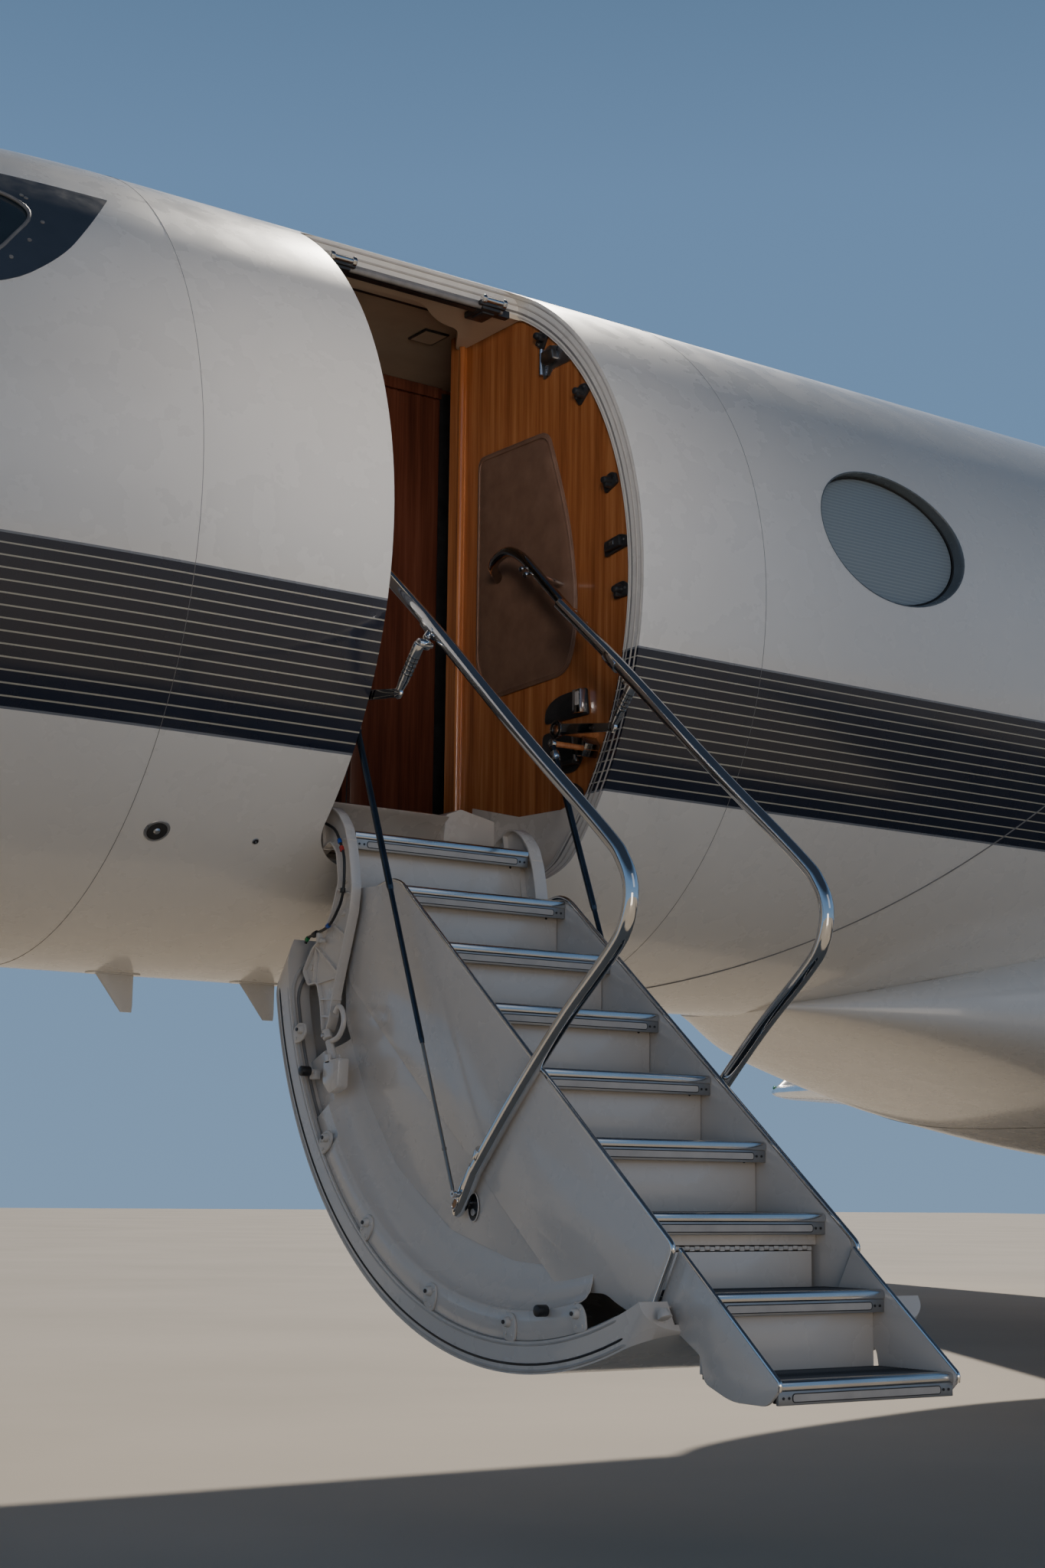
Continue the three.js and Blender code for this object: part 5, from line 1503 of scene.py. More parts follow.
WOOD_X = 0.530


def make_insert():
    """Padded leather panel with a stitched, piped edge, let into the partition."""
    corners = [(-0.306, 0.568), (-0.697, 0.559), (-0.757, 0.40), (-0.815, 0.22), (-0.845, 0.05),
               (-0.852, -0.045), (-0.845, -0.16), (-0.803, -0.255), (-0.382, -0.267), (-0.306, -0.15)]
    outline = rounded(corners, [0.035, 0.045, 0.12, 0.12, 0.09, 0.07, 0.09, 0.06, 0.05, 0.05], 6)
    middle = Vector((sum(p[0] for p in outline) / len(outline), sum(p[1] for p in outline) / len(outline)))
    rings = ((1.0, 0.0), (0.993, 0.006), (0.975, 0.0095), (0.955, 0.0070), (0.935, 0.0085), (0.88, 0.0125),
             (0.70, 0.0145), (0.40, 0.0155), (0.08, 0.0158))

    def ring(share, proud):
        return [Vector((WOOD_X - proud, middle.x + (u - middle.x) * share,
                        middle.y + (v - middle.y) * share)) for u, v in outline]

    points = [p for share, proud in rings for p in ring(share, proud)]
    n = len(outline)
    faces = band_faces(len(rings), n) + [[(len(rings) - 1) * n + k for k in range(n)]]
    fit("leather_panel", raw_mesh("leather", points, faces), "leather", smooth=80)
    for share, proud in ((0.996, 0.004), (0.966, 0.0088)):
        piping = tube_mesh(ring(share, proud), 0.0028, 8, closed=True)
        fit(f"leather_piping_{int(share * 1000)}", piping, "leather")


make_insert()


def latch_catch(name, y, z, big):
    """A black cast catch on the partition with its nose towards the door."""
    a = math.atan2(z, y)
    turn = Matrix.Translation((WOOD_X, y, z)) @ Matrix.Rotation(a - math.pi / 2, 4, "X")
    h = 0.055 if big else 0.032
    plate = rounded([(-0.026, -h), (0.022, -h), (0.026, h * 0.4), (0.012, h), (-0.022, h)], 0.008, 3)
    parts = [slab(plate, "yz", -0.010, 0.002, 0.003)]
    if big:
        parts.append(block((-0.024, -0.018, -0.036), (-0.008, 0.014, 0.036), 0.004))
        parts.append(block((-0.026, -0.007, -0.010), (-0.022, 0.006, 0.010), 0.001, index=1))
    else:
        parts.append(bar_mesh((-0.006, 0, 0), (-0.040, -0.004, 0.004), 0.017, 20, 0.010, 0.003))
        parts.append(block((-0.032, -0.024, -0.006), (-0.006, 0.004, 0.008), 0.003))
    for s in (-1, 1):
        parts.append(bar_mesh((-0.008, 0.002, s * h * 0.74), (-0.0125, 0.002, s * h * 0.74), 0.0042, 8,
                              index=1))
    fit(name, moved(merged(parts), turn), ["black", "steel"])


for number, (y, z, big) in enumerate(((-0.660, 0.880, False), (-0.872, 0.634, False), (-1.020, 0.308, False),
                                      (-1.050, 0.102, True), (-1.076, -0.046, False),
                                      (-0.858, -0.640, False)), 1):
    latch_catch(f"door_catch_{number}", y, z, big)


def make_bracket():
    """Bright latch plate with its bolt near the top of the partition, and the recess by the arm, whose dark
    inside is painted shade on black plates.
    """
    shape = [(-0.659, 0.834), (-0.700, 0.845), (-0.750, 0.828), (-0.818, 0.772), (-0.800, 0.760),
             (-0.717, 0.760), (-0.700, 0.742), (-0.667, 0.736)]
    parts = [slab(rounded(shape, 0.01, 3), "yz", WOOD_X - 0.006, WOOD_X, 0.0015),
             slab(rounded([(-0.672, 0.825), (-0.735, 0.822), (-0.742, 0.785), (-0.690, 0.775),
                           (-0.672, 0.790)], 0.008, 3), "yz", WOOD_X - 0.022, WOOD_X - 0.004, 0.004, index=1),
             bar_mesh((WOOD_X - 0.012, -0.665, 0.838), (WOOD_X - 0.012, -0.665, 0.752), 0.007, 16)]
    fit("latch_plate", parts, ["steel", "titanium"])
    upper = rounded([(-0.690, -0.400), (-0.700, -0.345), (-0.768, -0.318), (-0.905, -0.318),
                     (-0.915, -0.402)],
                    [0.02, 0.05, 0.05, 0.006, 0.006], 6)
    lower = rounded([(-0.682, -0.430), (-0.682, -0.495), (-0.724, -0.545), (-0.806, -0.572), (-0.851, -0.568),
                     (-0.885, -0.536), (-0.900, -0.430)], 0.02, 4)
    # Painted shade: these two black plates stand for the dark inside of the recess by the arm.
    parts = [slab(upper, "yz", WOOD_X - 0.008, WOOD_X, 0.002),
             slab(lower, "yz", WOOD_X - 0.008, WOOD_X, 0.002),
             block((WOOD_X - 0.030, -0.905, -0.395), (WOOD_X - 0.008, -0.865, -0.322), 0.002, index=1),
             block((WOOD_X - 0.0315, -0.898, -0.372), (WOOD_X - 0.029, -0.880, -0.330), index=2),
             slab([(-0.90, -0.452), (-0.952, -0.477), (-0.974, -0.508), (-0.955, -0.545),
                   (-0.905, -0.530)], "yz", WOOD_X - 0.060, WOOD_X - 0.004, 0.002, index=3),
             bar_mesh((WOOD_X - 0.02, -0.865, -0.44), (WOOD_X - 0.02, -0.875, -0.545), 0.0085, 16, index=1),
             bar_mesh((WOOD_X - 0.02, -0.900, -0.470), (WOOD_X - 0.02, -0.915, -0.535), 0.0065, 16, index=1),
             block((WOOD_X - 0.040, -0.880, -0.552), (WOOD_X - 0.006, -0.800, -0.540), 0.002)]
    for k in range(4):
        parts.append(bar_mesh((WOOD_X - 0.035, -0.885 - 0.006 * k, -0.480 - 0.016 * k),
                              (WOOD_X - 0.020, -0.885 - 0.006 * k, -0.480 - 0.016 * k), 0.006, 12, index=1))
    fit("arm_recess", parts, ["black", "chrome", "pale_seal", "dark_chrome"])


make_bracket()


def make_grab():
    g = 0.412
    line = bent([(WOOD_X - 0.001, -0.430, 0.122), (g + 0.02, -0.515, 0.140), (g, -0.640, 0.158),
                 (g, -0.715, 0.120), (g, -0.990, -0.130)], 0.07, 8)
    fit("grab_tube", tube_mesh(line, 0.0165, 22), "dark_chrome", stands_for="grab_rail", smooth=50)
    low = [(g, -0.985, -0.1255), (g, -1.035, -0.170)]
    parts = [bar_mesh(*low, 0.0185, 26, bevel=0.001),
             bar_mesh((g, -0.978, -0.119), (g, -0.988, -0.128), 0.0205, 26, bevel=0.001),
             block((WOOD_X - 0.010, -0.450, 0.050), (WOOD_X, -0.425, 0.148), 0.003),
             bar_mesh((g, -0.800, 0.044), (WOOD_X, -0.785, 0.030), 0.0075, 16),
             bar_mesh((g - 0.014, -0.745, 0.072), (g - 0.026, -0.745, 0.066), 0.0085, 14, bevel=0.002),
             bar_mesh((g - 0.014, -0.770, 0.050), (g - 0.028, -0.770, 0.042), 0.0095, 14, bevel=0.002),
             tube_mesh(spline([(g - 0.016, -1.035, -0.140), (g - 0.022, -1.075, -0.172),
                               (g - 0.022, -1.092, -0.188), (g - 0.020, -1.088, -0.206)], 4), 0.0035, 8)]
    fit("grab_fittings", parts, ["chrome", "dark_chrome"])


make_grab()


def make_head():
    """Moulded cream header above the doorway, the dark slot behind it, and the speaker grille."""
    front, aft = -0.436, WOOD_X - 0.001
    section = rounded([(-0.545, 0.972), (-0.530, 0.985), (-0.395, 1.000), (-0.352, 1.026), (-0.350, 1.034),
                       (-0.470, 1.034), (-0.530, 1.000)], 0.008, 3)
    fit("header_liner", slab(section, "yz", front, aft, 0.004), "cream")
    plan = rounded([(front, -0.590), (aft, -0.590), (aft, -0.186), (0.505, -0.186), (0.412, -0.341),
                    (0.348, -0.346), (0.279, -0.384), (0.190, -0.464), (-0.049, -0.449), (front, -0.440)],
                   [0.01, 0.004, 0.01, 0.03, 0.05, 0.04, 0.05, 0.05, 0.05, 0.01], 6)
    ring_cut = hull_shell(DOOR_X - 0.6, DOOR_X + 0.7, -WALL - 0.004, 0, 4, 96, hollow=False)
    lump = boolean(shifted(prism_mesh(plan, "xy", 0.984, 1.062)), ring_cut, "INTERSECT")
    link("header_block", bevelled(lump, 0.012, 4), "cream")
    slot = box_mesh((front, -0.350, 1.028), (0.312, -0.322, 1.0345))
    fit("header_slot", slot, "black")
    grille = merged([
        block((0.386, -0.180, 1.027), (0.485, -0.068, 1.0345), 0.004),
        block((0.394, -0.172, 1.0262), (0.477, -0.076, 1.030), index=1)])
    fit("speaker_grille", grille, ["black", "cream_dark"])
    frame_bar = [(-0.352, -0.578, 0.972), (0.42, -0.578, 0.972)]
    fit("head_bar", tube_mesh(frame_bar, 0.011, 16), "seal")
    shadow = box_mesh((-0.355, -0.566, 0.962), (0.46, -0.540, 0.985))
    fit("head_shadow", shadow, "black")
    for number, (x, y) in enumerate(((-0.195, -0.604), (0.372, -0.604)), 1):
        parts = [bar_mesh((x - 0.042, y, 0.986), (x + 0.042, y, 0.986), 0.0085, 20),
                 bar_mesh((x - 0.046, y, 0.986), (x - 0.032, y, 0.986), 0.0150, 6, bevel=0.002),
                 bar_mesh((x + 0.032, y, 0.986), (x + 0.046, y, 0.986), 0.0150, 6, bevel=0.002),
                 block((x - 0.036, y + 0.010, 0.958), (x + 0.036, y + 0.120, 0.980), 0.005, index=1),
                 block((x - 0.024, y + 0.030, 0.952), (x + 0.024, y + 0.095, 0.962), 0.004, index=1),
                 block((x - 0.050, y + 0.002, 0.968), (x + 0.050, y + 0.022, 0.984), 0.004, index=1)]
        fit(f"head_latch_{number}", parts, ["chrome", "black"])


make_head()


def make_lower_liner():
    arc = [(1.112 * math.cos(a), 1.112 * math.sin(a)) for a in
           (math.radians(216 + (250 - 216) * k / 14) for k in range(15))]
    outline = [(-0.30, -0.612), (-0.56, -0.673), (-0.78, -0.679)] + arc + [(-0.30, -1.05)]
    fit("sill_liner", slab(outline, "yz", WOOD_X - 0.008, WOOD_X + 0.002, 0.002), "liner")
    shelf = rounded([(0.330, -0.752), (0.338, -0.668), (0.395, -0.645), (0.524, -0.672),
                     (0.524, -0.752)], 0.006, 3)
    fit("sill_housing", slab(shelf, "xz", -0.425, -0.31, 0.002), "liner")
    sill = []
    for k in range(13):
        a = math.radians(62 - 42 * k / 12)
        sill.append((HINGE[0] + 0.345 * math.cos(a), HINGE[1] + 0.345 * math.sin(a)))
    sill += [(y + 0.006, z + 0.004) for y, z in sill[::-1]]
    fit("sill_fairing", slab(sill, "yz", -0.30, 0.33, 0.001), "liner")


make_lower_liner()


def make_cabinet():
    """Door panels and shadow gaps on the dark cabinet across the aisle, and the post on the partition."""
    face = 0.290
    gaps = [(0.400, 0.404), (0.756, 0.900)]
    for number, (x0, x1) in enumerate(gaps, 1):
        fit(f"cabinet_gap_{number}", box_mesh((x0, face - 0.003, -0.66), (x1, face + 0.002, 1.02)), "black")
    panel = block((0.410, face - 0.012, -0.60), (0.750, face - 0.001, 0.985), 0.003)
    fit("cabinet_door", panel, "dark_wood")
    rail = block((0.395, face - 0.016, 0.992), (0.756, face - 0.001, 1.034), 0.003)
    fit("cabinet_head", rail, "dark_wood")
    bead = tube_mesh([(0.516, -0.213, -0.668), (0.516, -0.213, 1.03)], 0.011, 16)
    fit("post_bead", bead, "wood")
    groove = box_mesh((0.5275, -0.147, -0.668), (0.5305, -0.137, 1.03))
    fit("post_groove", groove, "black")


make_cabinet()


# Flying surfaces: leading edge (X, Y, Z from the axis), chord, thickness share and cant
WING = (
    (-4.05, 1.00, -1.33, 6.00, 0.115, 3), (-1.95, 4.20, -1.10, 4.25, 0.11, 3),
    (3.25, 11.35, -0.78, 1.55, 0.095, 3), (3.56, 11.65, -0.725, 1.25, 0.09, 35),
    (3.90, 11.79, -0.56, 1.00, 0.085, 72), (4.62, 11.85, 0.52, 0.47, 0.085, 86))
FIN = ((6.30, 0, 0.70, 5.00, 0.10, 90), (7.45, 0, 1.60, 3.75, 0.10, 90), (10.00, 0, 4.85, 2.45, 0.09, 90))
TAILPLANE = ((12.68, -4.875, 4.90, 0.92, 0.09, 0), (10.05, 0, 4.90, 2.50, 0.09, 0),
             (12.68, 4.875, 4.90, 0.92, 0.09, 0))
PYLON = ((5.00, 0.70, 0.64, 3.50, 0.10, 0), (5.00, 1.90, 0.64, 3.30, 0.10, 0))


def loft_mesh(rings, caps=True, closed=True, finish=lambda ring, k: 0):
    """A skin through rings of the same number of points; finish gives each face its material index."""
    n = len(rings[0])
    span = n if closed else n - 1
    faces = band_faces(len(rings), n, span)
    marks = [finish(r, k) for r in range(len(rings) - 1) for k in range(span)]
    if caps:
        faces += [list(range(n))[::-1], list(range((len(rings) - 1) * n, len(rings) * n))]
        marks += [0, 0]
    mesh = bpy.data.meshes.new("loft")
    mesh.from_pydata([tuple(p) for ring in rings for p in ring], [], faces)
    mesh.polygons.foreach_set("material_index", marks)
    mesh.validate()
    bm = bmesh.new()
    bm.from_mesh(mesh)
    return mesh_of(bm, "loft")


def station_at(stations, s):
    i = min(int(s), len(stations) - 2)
    return [a + (s - i) * (b - a) for a, b in zip(stations[i], stations[i + 1])]


def half_thickness(t):
    return 5 * (0.2969 * math.sqrt(t) - 0.126 * t - 0.3516 * t ** 2 + 0.2843 * t ** 3 - 0.1 * t ** 4)


def foil_point(stations, side, s, t, face, proud=0.0):
    x, y, z, chord, thick, cant = station_at(stations, s)
    c = math.radians(cant)
    lift = face * (half_thickness(t) * thick * chord + 0.0015 + proud)
    return Vector((x + t * chord, side * (y - math.sin(c) * lift), AXIS_Z + z + math.cos(c) * lift))


CHORDWISE = [(1 - math.cos(math.pi * k / 26)) / 2 for k in range(27)]
EDGE_SHARE = 0.045


def foil_mesh(stations, side, places, mark):
    """A wing or fin; places are stations to cut at, mark(s, t, face) gives the material index."""
    around = [(t, 1) for t in CHORDWISE] + [(t, -1) for t in CHORDWISE[::-1]]
    rings = [[foil_point(stations, side, s, t, face) for t, face in around] for s in places]
    return loft_mesh(rings, finish=lambda r, k: mark((places[r] + places[r + 1]) / 2, *around[k]))


def between(start, stop, count):
    return [start + (stop - start) * k / count for k in range(count + 1)]


def seam_mesh(stations, side, path, face, width=0.007):
    """A dark gap line on a flying surface, through (station, chord share) places."""
    line = []
    for (s0, t0), (s1, t1) in zip(path, path[1:]):
        line += [(s0 + (s1 - s0) * k / 12, t0 + (t1 - t0) * k / 12)
                 for k in range(13 if (s1, t1) == path[-1] else 12)]
    rings = []
    for i, (s, t) in enumerate(line):
        p = foil_point(stations, side, s, t, face, 0.0008)
        a, b = line[max(i - 1, 0)], line[min(i + 1, len(line) - 1)]
        ahead = foil_point(stations, side, *b, face, 0.0008) - foil_point(stations, side, *a, face, 0.0008)
        lift = foil_point(stations, side, s, t, face, 0.05) - p
        across = ahead.cross(lift).normalized() * width / 2
        rings.append([p - across, p + across])
    return loft_mesh(rings, caps=False, closed=False)


def make_wings():
    places = [0.0, *between(0.05, 2.0, 40)[1:], *between(2.0, 5.0, 36)[1:]]
    for name, side in SIDES:
        def mark(s, t, face):
            if t < EDGE_SHARE and s < 2.4:
                return 1
            return 2 if s > 3.6 else 0
        mesh = foil_mesh(WING, side, places, mark)
        link(f"wing_{name}", mesh, ["wing", "polished", "winglet_paint"], stands_for=f"wing_{name}",
             smooth=40)
        seams = []
        for face in (1, -1):
            for path in (((0.22, 0.985), (0.22, 0.74), (1.30, 0.72), (1.30, 0.99)),
                         ((0.78, 0.73), (0.78, 0.99)),
                         ((1.40, 0.99), (1.40, 0.74), (1.90, 0.74), (1.90, 0.99)),
                         ((0.12, EDGE_SHARE + 0.02), (1.96, EDGE_SHARE + 0.02))):
                seams.append(seam_mesh(WING, side, path, face))
        for path in (((0.35, 0.70), (0.35, 0.60), (1.20, 0.58), (1.20, 0.69)), ((0.62, 0.70), (0.62, 0.595)),
                     ((0.90, 0.70), (0.90, 0.59))):
            seams.append(seam_mesh(WING, side, path, 1, 0.006))
        link(f"wing_seams_{name}", seams, "seal")
        lamp_line = [foil_point(WING, side, s, 0.004, 1, 0.004) for s in (2.62, 2.80, 3.0)]
        lens = tube_mesh(lamp_line, [0.014, 0.024, 0.014], 12)
        link(f"wing_light_{name}", lens, "red" if side < 0 else "green")
        wicks = []
        for s in (1.55, 1.68, 1.81, 1.94):
            p = foil_point(WING, side, s, 0.995, 1)
            wicks.append(bar_mesh(p, p + Vector((0.14, 0, -0.006)), 0.0035, 8, 0.002))
        for s in (3.4, 4.2):
            p = foil_point(WING, side, s, 0.99, 1)
            wicks.append(bar_mesh(p, p + Vector((0.12, 0, 0)), 0.0035, 8, 0.002))
        link(f"wing_wicks_{name}", wicks, "black")


def make_tail():
    fin = foil_mesh(FIN, 1, between(0, 2, 30), lambda s, t, face: 1 if t < 0.04 and s > 0.55 else 0)
    link("fin_skin", fin, ["white", "polished"], stands_for="fin", smooth=40)
    plane = foil_mesh(TAILPLANE, 1, between(0, 2, 48), lambda s, t, face: 1 if t < 0.05 else 0)
    link("tailplane_skin", plane, ["white", "polished"], stands_for="tailplane", smooth=40)
    seams = []
    for face in (1, -1):
        seams.append(seam_mesh(FIN, 1, ((0.85, 0.99), (0.85, 0.70), (1.93, 0.68), (1.93, 0.99)), face))
        seams.append(seam_mesh(TAILPLANE, 1, ((0.08, 0.99), (0.08, 0.68), (0.94, 0.70), (0.94, 0.99)), face))
        seams.append(seam_mesh(TAILPLANE, 1, ((1.92, 0.99), (1.92, 0.68), (1.06, 0.70), (1.06, 0.99)), face))
    link("tail_seams", seams, "seal")
    bullet = [(0.0, 0.0), (0.06, 0.055), (0.20, 0.095), (0.5, 0.125), (1.1, 0.13), (1.9, 0.115),
              (2.6, 0.075), (2.95, 0.03), (3.05, 0.0)]
    link("fin_bullet", revolved(bullet, (9.86, 0, AXIS_Z + 4.90), (1, 0, 0), 40), "white", smooth=60)
    link("beacon", revolved([(0, 0.045), (0.012, 0.045), (0.035, 0.04), (0.055, 0.024), (0.062, 0.0)],
                            (11.0, 0, AXIS_Z + 5.025), (0, 0, 1), 24), "red", smooth=60)
    wicks = []
    for s in (0.12, 0.26, 0.40, 1.60, 1.74, 1.88):
        p = foil_point(TAILPLANE, 1, s, 0.995, 1)
        wicks.append(bar_mesh(p, p + Vector((0.13, 0, 0)), 0.0035, 8, 0.002))
    link("tail_wicks", wicks, "black")
    cone = [(0.0, 0.19), (0.06, 0.155), (0.062, 0.115), (-0.10, 0.10), (-0.10, 0.0)]
    link("tail_cone_outlet", revolved(cone, (12.28, 0, AXIS_Z + 0.79), (1, 0, 0), 32), "titanium")
    for name, side in SIDES:
        for number, (x, z, half) in enumerate(((9.3, 0.62, 0.16), (10.4, 0.75, 0.11)), 1):
            grille = [side_place(px, pz, side, 0.0015) for px, pz in
                      ((x + half * math.cos(a), z + 0.07 * math.sin(a))
                       for a in turns_of(28))]
            link(f"tail_vent_{name}_{number}", tube_mesh(grille, 0.006, 8, closed=True), "seal")


make_wings()
make_tail()

# Belly fairing: station, half width, top and bottom from the axis
FAIRING = (
    (-7.15, 0.25, -1.16, -1.19), (-6.50, 0.76, -1.00, -1.36), (-5.60, 1.08, -0.76, -1.56),
    (-4.40, 1.33, -0.62, -1.70), (-2.50, 1.40, -0.56, -1.76), (1.60, 1.40, -0.56, -1.76),
    (3.00, 1.18, -0.68, -1.60), (4.30, 0.70, -0.90, -1.33), (5.00, 0.24, -1.02, -1.16))
fairing_at = Table(FAIRING)


def fairing_point(x, turn, grow=0.0):
    half, top, bottom = fairing_at(x)
    c, s = math.cos(turn), math.sin(turn)
    square = (math.copysign(abs(c) ** 0.7, c), math.copysign(abs(s) ** 0.7, s))
    return Vector((x, (half + grow) * square[0],
                   AXIS_Z + (top + bottom) / 2 + ((top - bottom) / 2 + grow) * square[1]))


def make_fairing():
    stations = between(FAIRING[0][0], FAIRING[-1][0], 96)
    rings = [[fairing_point(x, a) for a in turns_of(96)] for x in stations]
    shape = loft_mesh(rings)
    inner = hull_shell(-7.6, 5.4, -0.004, 0, 60, 96, hollow=False)
    link("belly_skin", boolean(shape, inner), "white", stands_for="belly_fairing", smooth=45)
    seams = []
    for x in (-5.6, -4.1, -0.4, 2.2):
        line = [fairing_point(x, math.pi * (1.12 + 0.76 * k / 40), 0.0006) for k in range(41)]
        seams.append(strip_mesh(line, [(-0.003, 0), (0.003, 0), (0.003, 0.0006), (-0.003, 0.0006)],
                                lambda i, line=line: line[i] - Vector((line[i].x, 0, AXIS_Z - 1.1))))
    for side in (-1, 1):
        half_door = [(0.60, -0.30), (1.62, -0.30), (1.62, -1.25), (0.60, -1.25)]
        well = []
        for x, y in rounded(half_door, 0.08, 5):
            level = fairing_at(x)
            share = min(abs(y) / level[0], 0.999) ** (1 / 0.7)
            turn = -math.acos(share)
            p = fairing_point(x, turn)
            well.append(Vector((p.x, side * p.y, p.z - 0.0006)))
        seams.append(tube_mesh(well, 0.0035, 6, closed=True))
    link("belly_seams", seams, "seal")
    light = revolved([(0, 0.05), (0.015, 0.048), (0.04, 0.032), (0.05, 0.0)],
                     (-1.2, 0, AXIS_Z - 1.757), (0, 0, -1), 24)
    link("belly_beacon", light, "red", smooth=60)


make_fairing()

# Engines: distance behind the inlet, outer and inner radius of the nacelle
ENGINE = {"x": 4.05, "y": 2.26, "z": 0.64, "fan": 0.90, "duct": 0.64}
COWL = ((0.0, 0.690), (0.025, 0.735), (0.12, 0.785), (0.50, 0.840), (0.88, 0.855), (1.90, 0.860),
        (3.40, 0.770), (4.30, 0.655), (5.15, 0.520))
DUCT = ((0.0, 0.690), (0.025, 0.645), (0.12, 0.600), (0.50, 0.620), (0.88, 0.640), (1.90, 0.640),
        (3.40, 0.640), (4.30, 0.610), (5.15, 0.500))


def profile_between(rows, start, stop, steps):
    """Part of a profile, smooth: its first stretch round the lip follows a circle-like curve."""
    curve = Table(rows[1:])
    out = []
    for x in between(start, stop, steps):
        if x < rows[1][0]:
            share = math.sqrt(x / rows[1][0])
            out.append((x, rows[0][1] + (rows[1][1] - rows[0][1]) * share))
        else:
            out.append((x, curve(x)[0]))
    return out


def fan_blade(turn, origin):
    root, tip, chord = 0.15, ENGINE["duct"] - 0.008, 0.19
    rings = []
    for k in range(9):
        share = k / 8
        r = root + (tip - root) * share
        twist = math.radians(22 + 36 * share)
        sweep = 0.045 * math.sin(math.pi * share) - 0.02 * share
        c = chord * (0.82 + 0.30 * math.sin(math.pi * min(share * 0.9, 1)))
        row = []
        for u, w in ((-0.5, 0.0), (-0.25, 0.007), (0.1, 0.009), (0.4, 0.004), (0.5, 0.0), (0.4, -0.003),
                     (0.1, 0.001), (-0.25, 0.002)):
            a = u * c
            x = a * math.cos(twist) - w * math.sin(twist) + sweep
            y = a * math.sin(twist) + w * math.cos(twist)
            reach = math.sqrt(max(r * r - y * y, 0.0001))
            row.append(Vector((x, y, reach)))
        rings.append(row)
    mesh = loft_mesh(rings)
    return moved(mesh, Matrix.Translation(origin) @ Matrix.Rotation(turn, 4, "X"))


def make_engine(name, side):
    origin = Vector((ENGINE["x"], side * ENGINE["y"], AXIS_Z + ENGINE["z"]))
    axis = (1, 0, 0)

    def turned(profile, index, sides=96):
        return revolved(profile, origin, axis, sides, index=index)

    lip = profile_between(DUCT, 0.0, 0.15, 14)[::-1] + profile_between(COWL, 0.0, 0.15, 14)[1:]
    parts = [turned(lip, 1), turned(profile_between(COWL, 0.15, 4.30, 40), 0),
             turned(profile_between(COWL, 4.30, 5.15, 8) + profile_between(DUCT, 3.40, 5.15, 10)[::-1], 2),
             turned(profile_between(DUCT, 0.15, 3.40, 24), 3)]
    parts.append(foil_mesh(PYLON, side, between(0, 1, 12), lambda s, t, face: 1 if t < 0.03 else 0))
    link(f"nacelle_{name}", parts, ["white", "polished", "titanium", "grey"],
         stands_for=f"nacelle_{name}", smooth=35)
    seams = []
    for x in (0.152, 1.55, 3.35, 4.30):
        r = Table(COWL[1:])(x)[0] + 0.0006
        seams.append(revolved([(x - 0.003, r), (x + 0.003, r)], origin, axis, 96))
    for turn in (math.radians(90), math.radians(270)):
        line = []
        for x in between(1.55, 3.35, 20):
            r = Table(COWL[1:])(x)[0] + 0.0004
            line.append(origin + Vector((x, r * math.cos(turn), r * math.sin(turn))))
        seams.append(tube_mesh(line, 0.0028, 6))
    link(f"nacelle_seams_{name}", seams, "seal")
    core = [(1.08, 0.0), (1.08, 0.30), (1.10, 0.42), (1.25, 0.455), (2.6, 0.44), (3.38, 0.42), (3.9, 0.36),
            (4.58, 0.15), (4.60, 0.0)]
    pieces = [turned(core, 0, 64)]
    for a in turns_of(28):
        vane = box_mesh((1.12, -0.004, 0.30), (1.30, 0.004, 0.639))
        pieces.append(moved(vane, Matrix.Translation(origin) @ Matrix.Rotation(a, 4, "X")))
    mixer = []
    for x in between(3.35, 4.15, 8):
        share = (x - 3.35) / 0.8
        ring = []
        for k in range(144):
            a = 2 * math.pi * k / 144
            r = 0.50 - 0.03 * share + 0.075 * share * math.cos(12 * a)
            ring.append(origin + Vector((x, r * math.cos(a), r * math.sin(a))))
        mixer.append(ring)
    pieces.append(painted(loft_mesh(mixer, caps=False), 1))
    link(f"engine_{name}", pieces, ["steel", "titanium"], stands_for=f"engine_{name}")
    hub = [(0.61, 0.0), (0.614, 0.018), (0.635, 0.045), (0.70, 0.092), (0.78, 0.136), (0.86, 0.172),
           (0.90, 0.184), (0.99, 0.190), (0.992, 0.06), (1.30, 0.058), (1.30, 0.0)]
    rotor = [revolved(hub, origin, axis, 48, index=1)]
    center = origin + Vector((ENGINE["fan"], 0, 0))
    rotor += [fan_blade(a, center) for a in turns_of(24)]
    link(f"fan_{name}", rotor, ["titanium", "black"], f"fan_rotor_{name}", f"fan_{name}", smooth=45)
    swirl = []
    for k in range(40):
        share = k / 39
        x = 0.645 + 0.19 * share
        r = Table(hub[:8])(x)[0] + 0.0015
        a = share * 2 * math.pi * 1.15
        swirl.append(origin + Vector((x, r * math.cos(a), r * math.sin(a))))
    ribbon = tube_mesh(swirl, [0.004 + 0.010 * math.sin(math.pi * min(1, k / 39 + 0.1)) for k in range(40)],
                       8, flat=0.5)
    link(f"fan_swirl_{name}", ribbon, "white", f"fan_rotor_{name}")


for name, side in SIDES:
    make_engine(name, side)

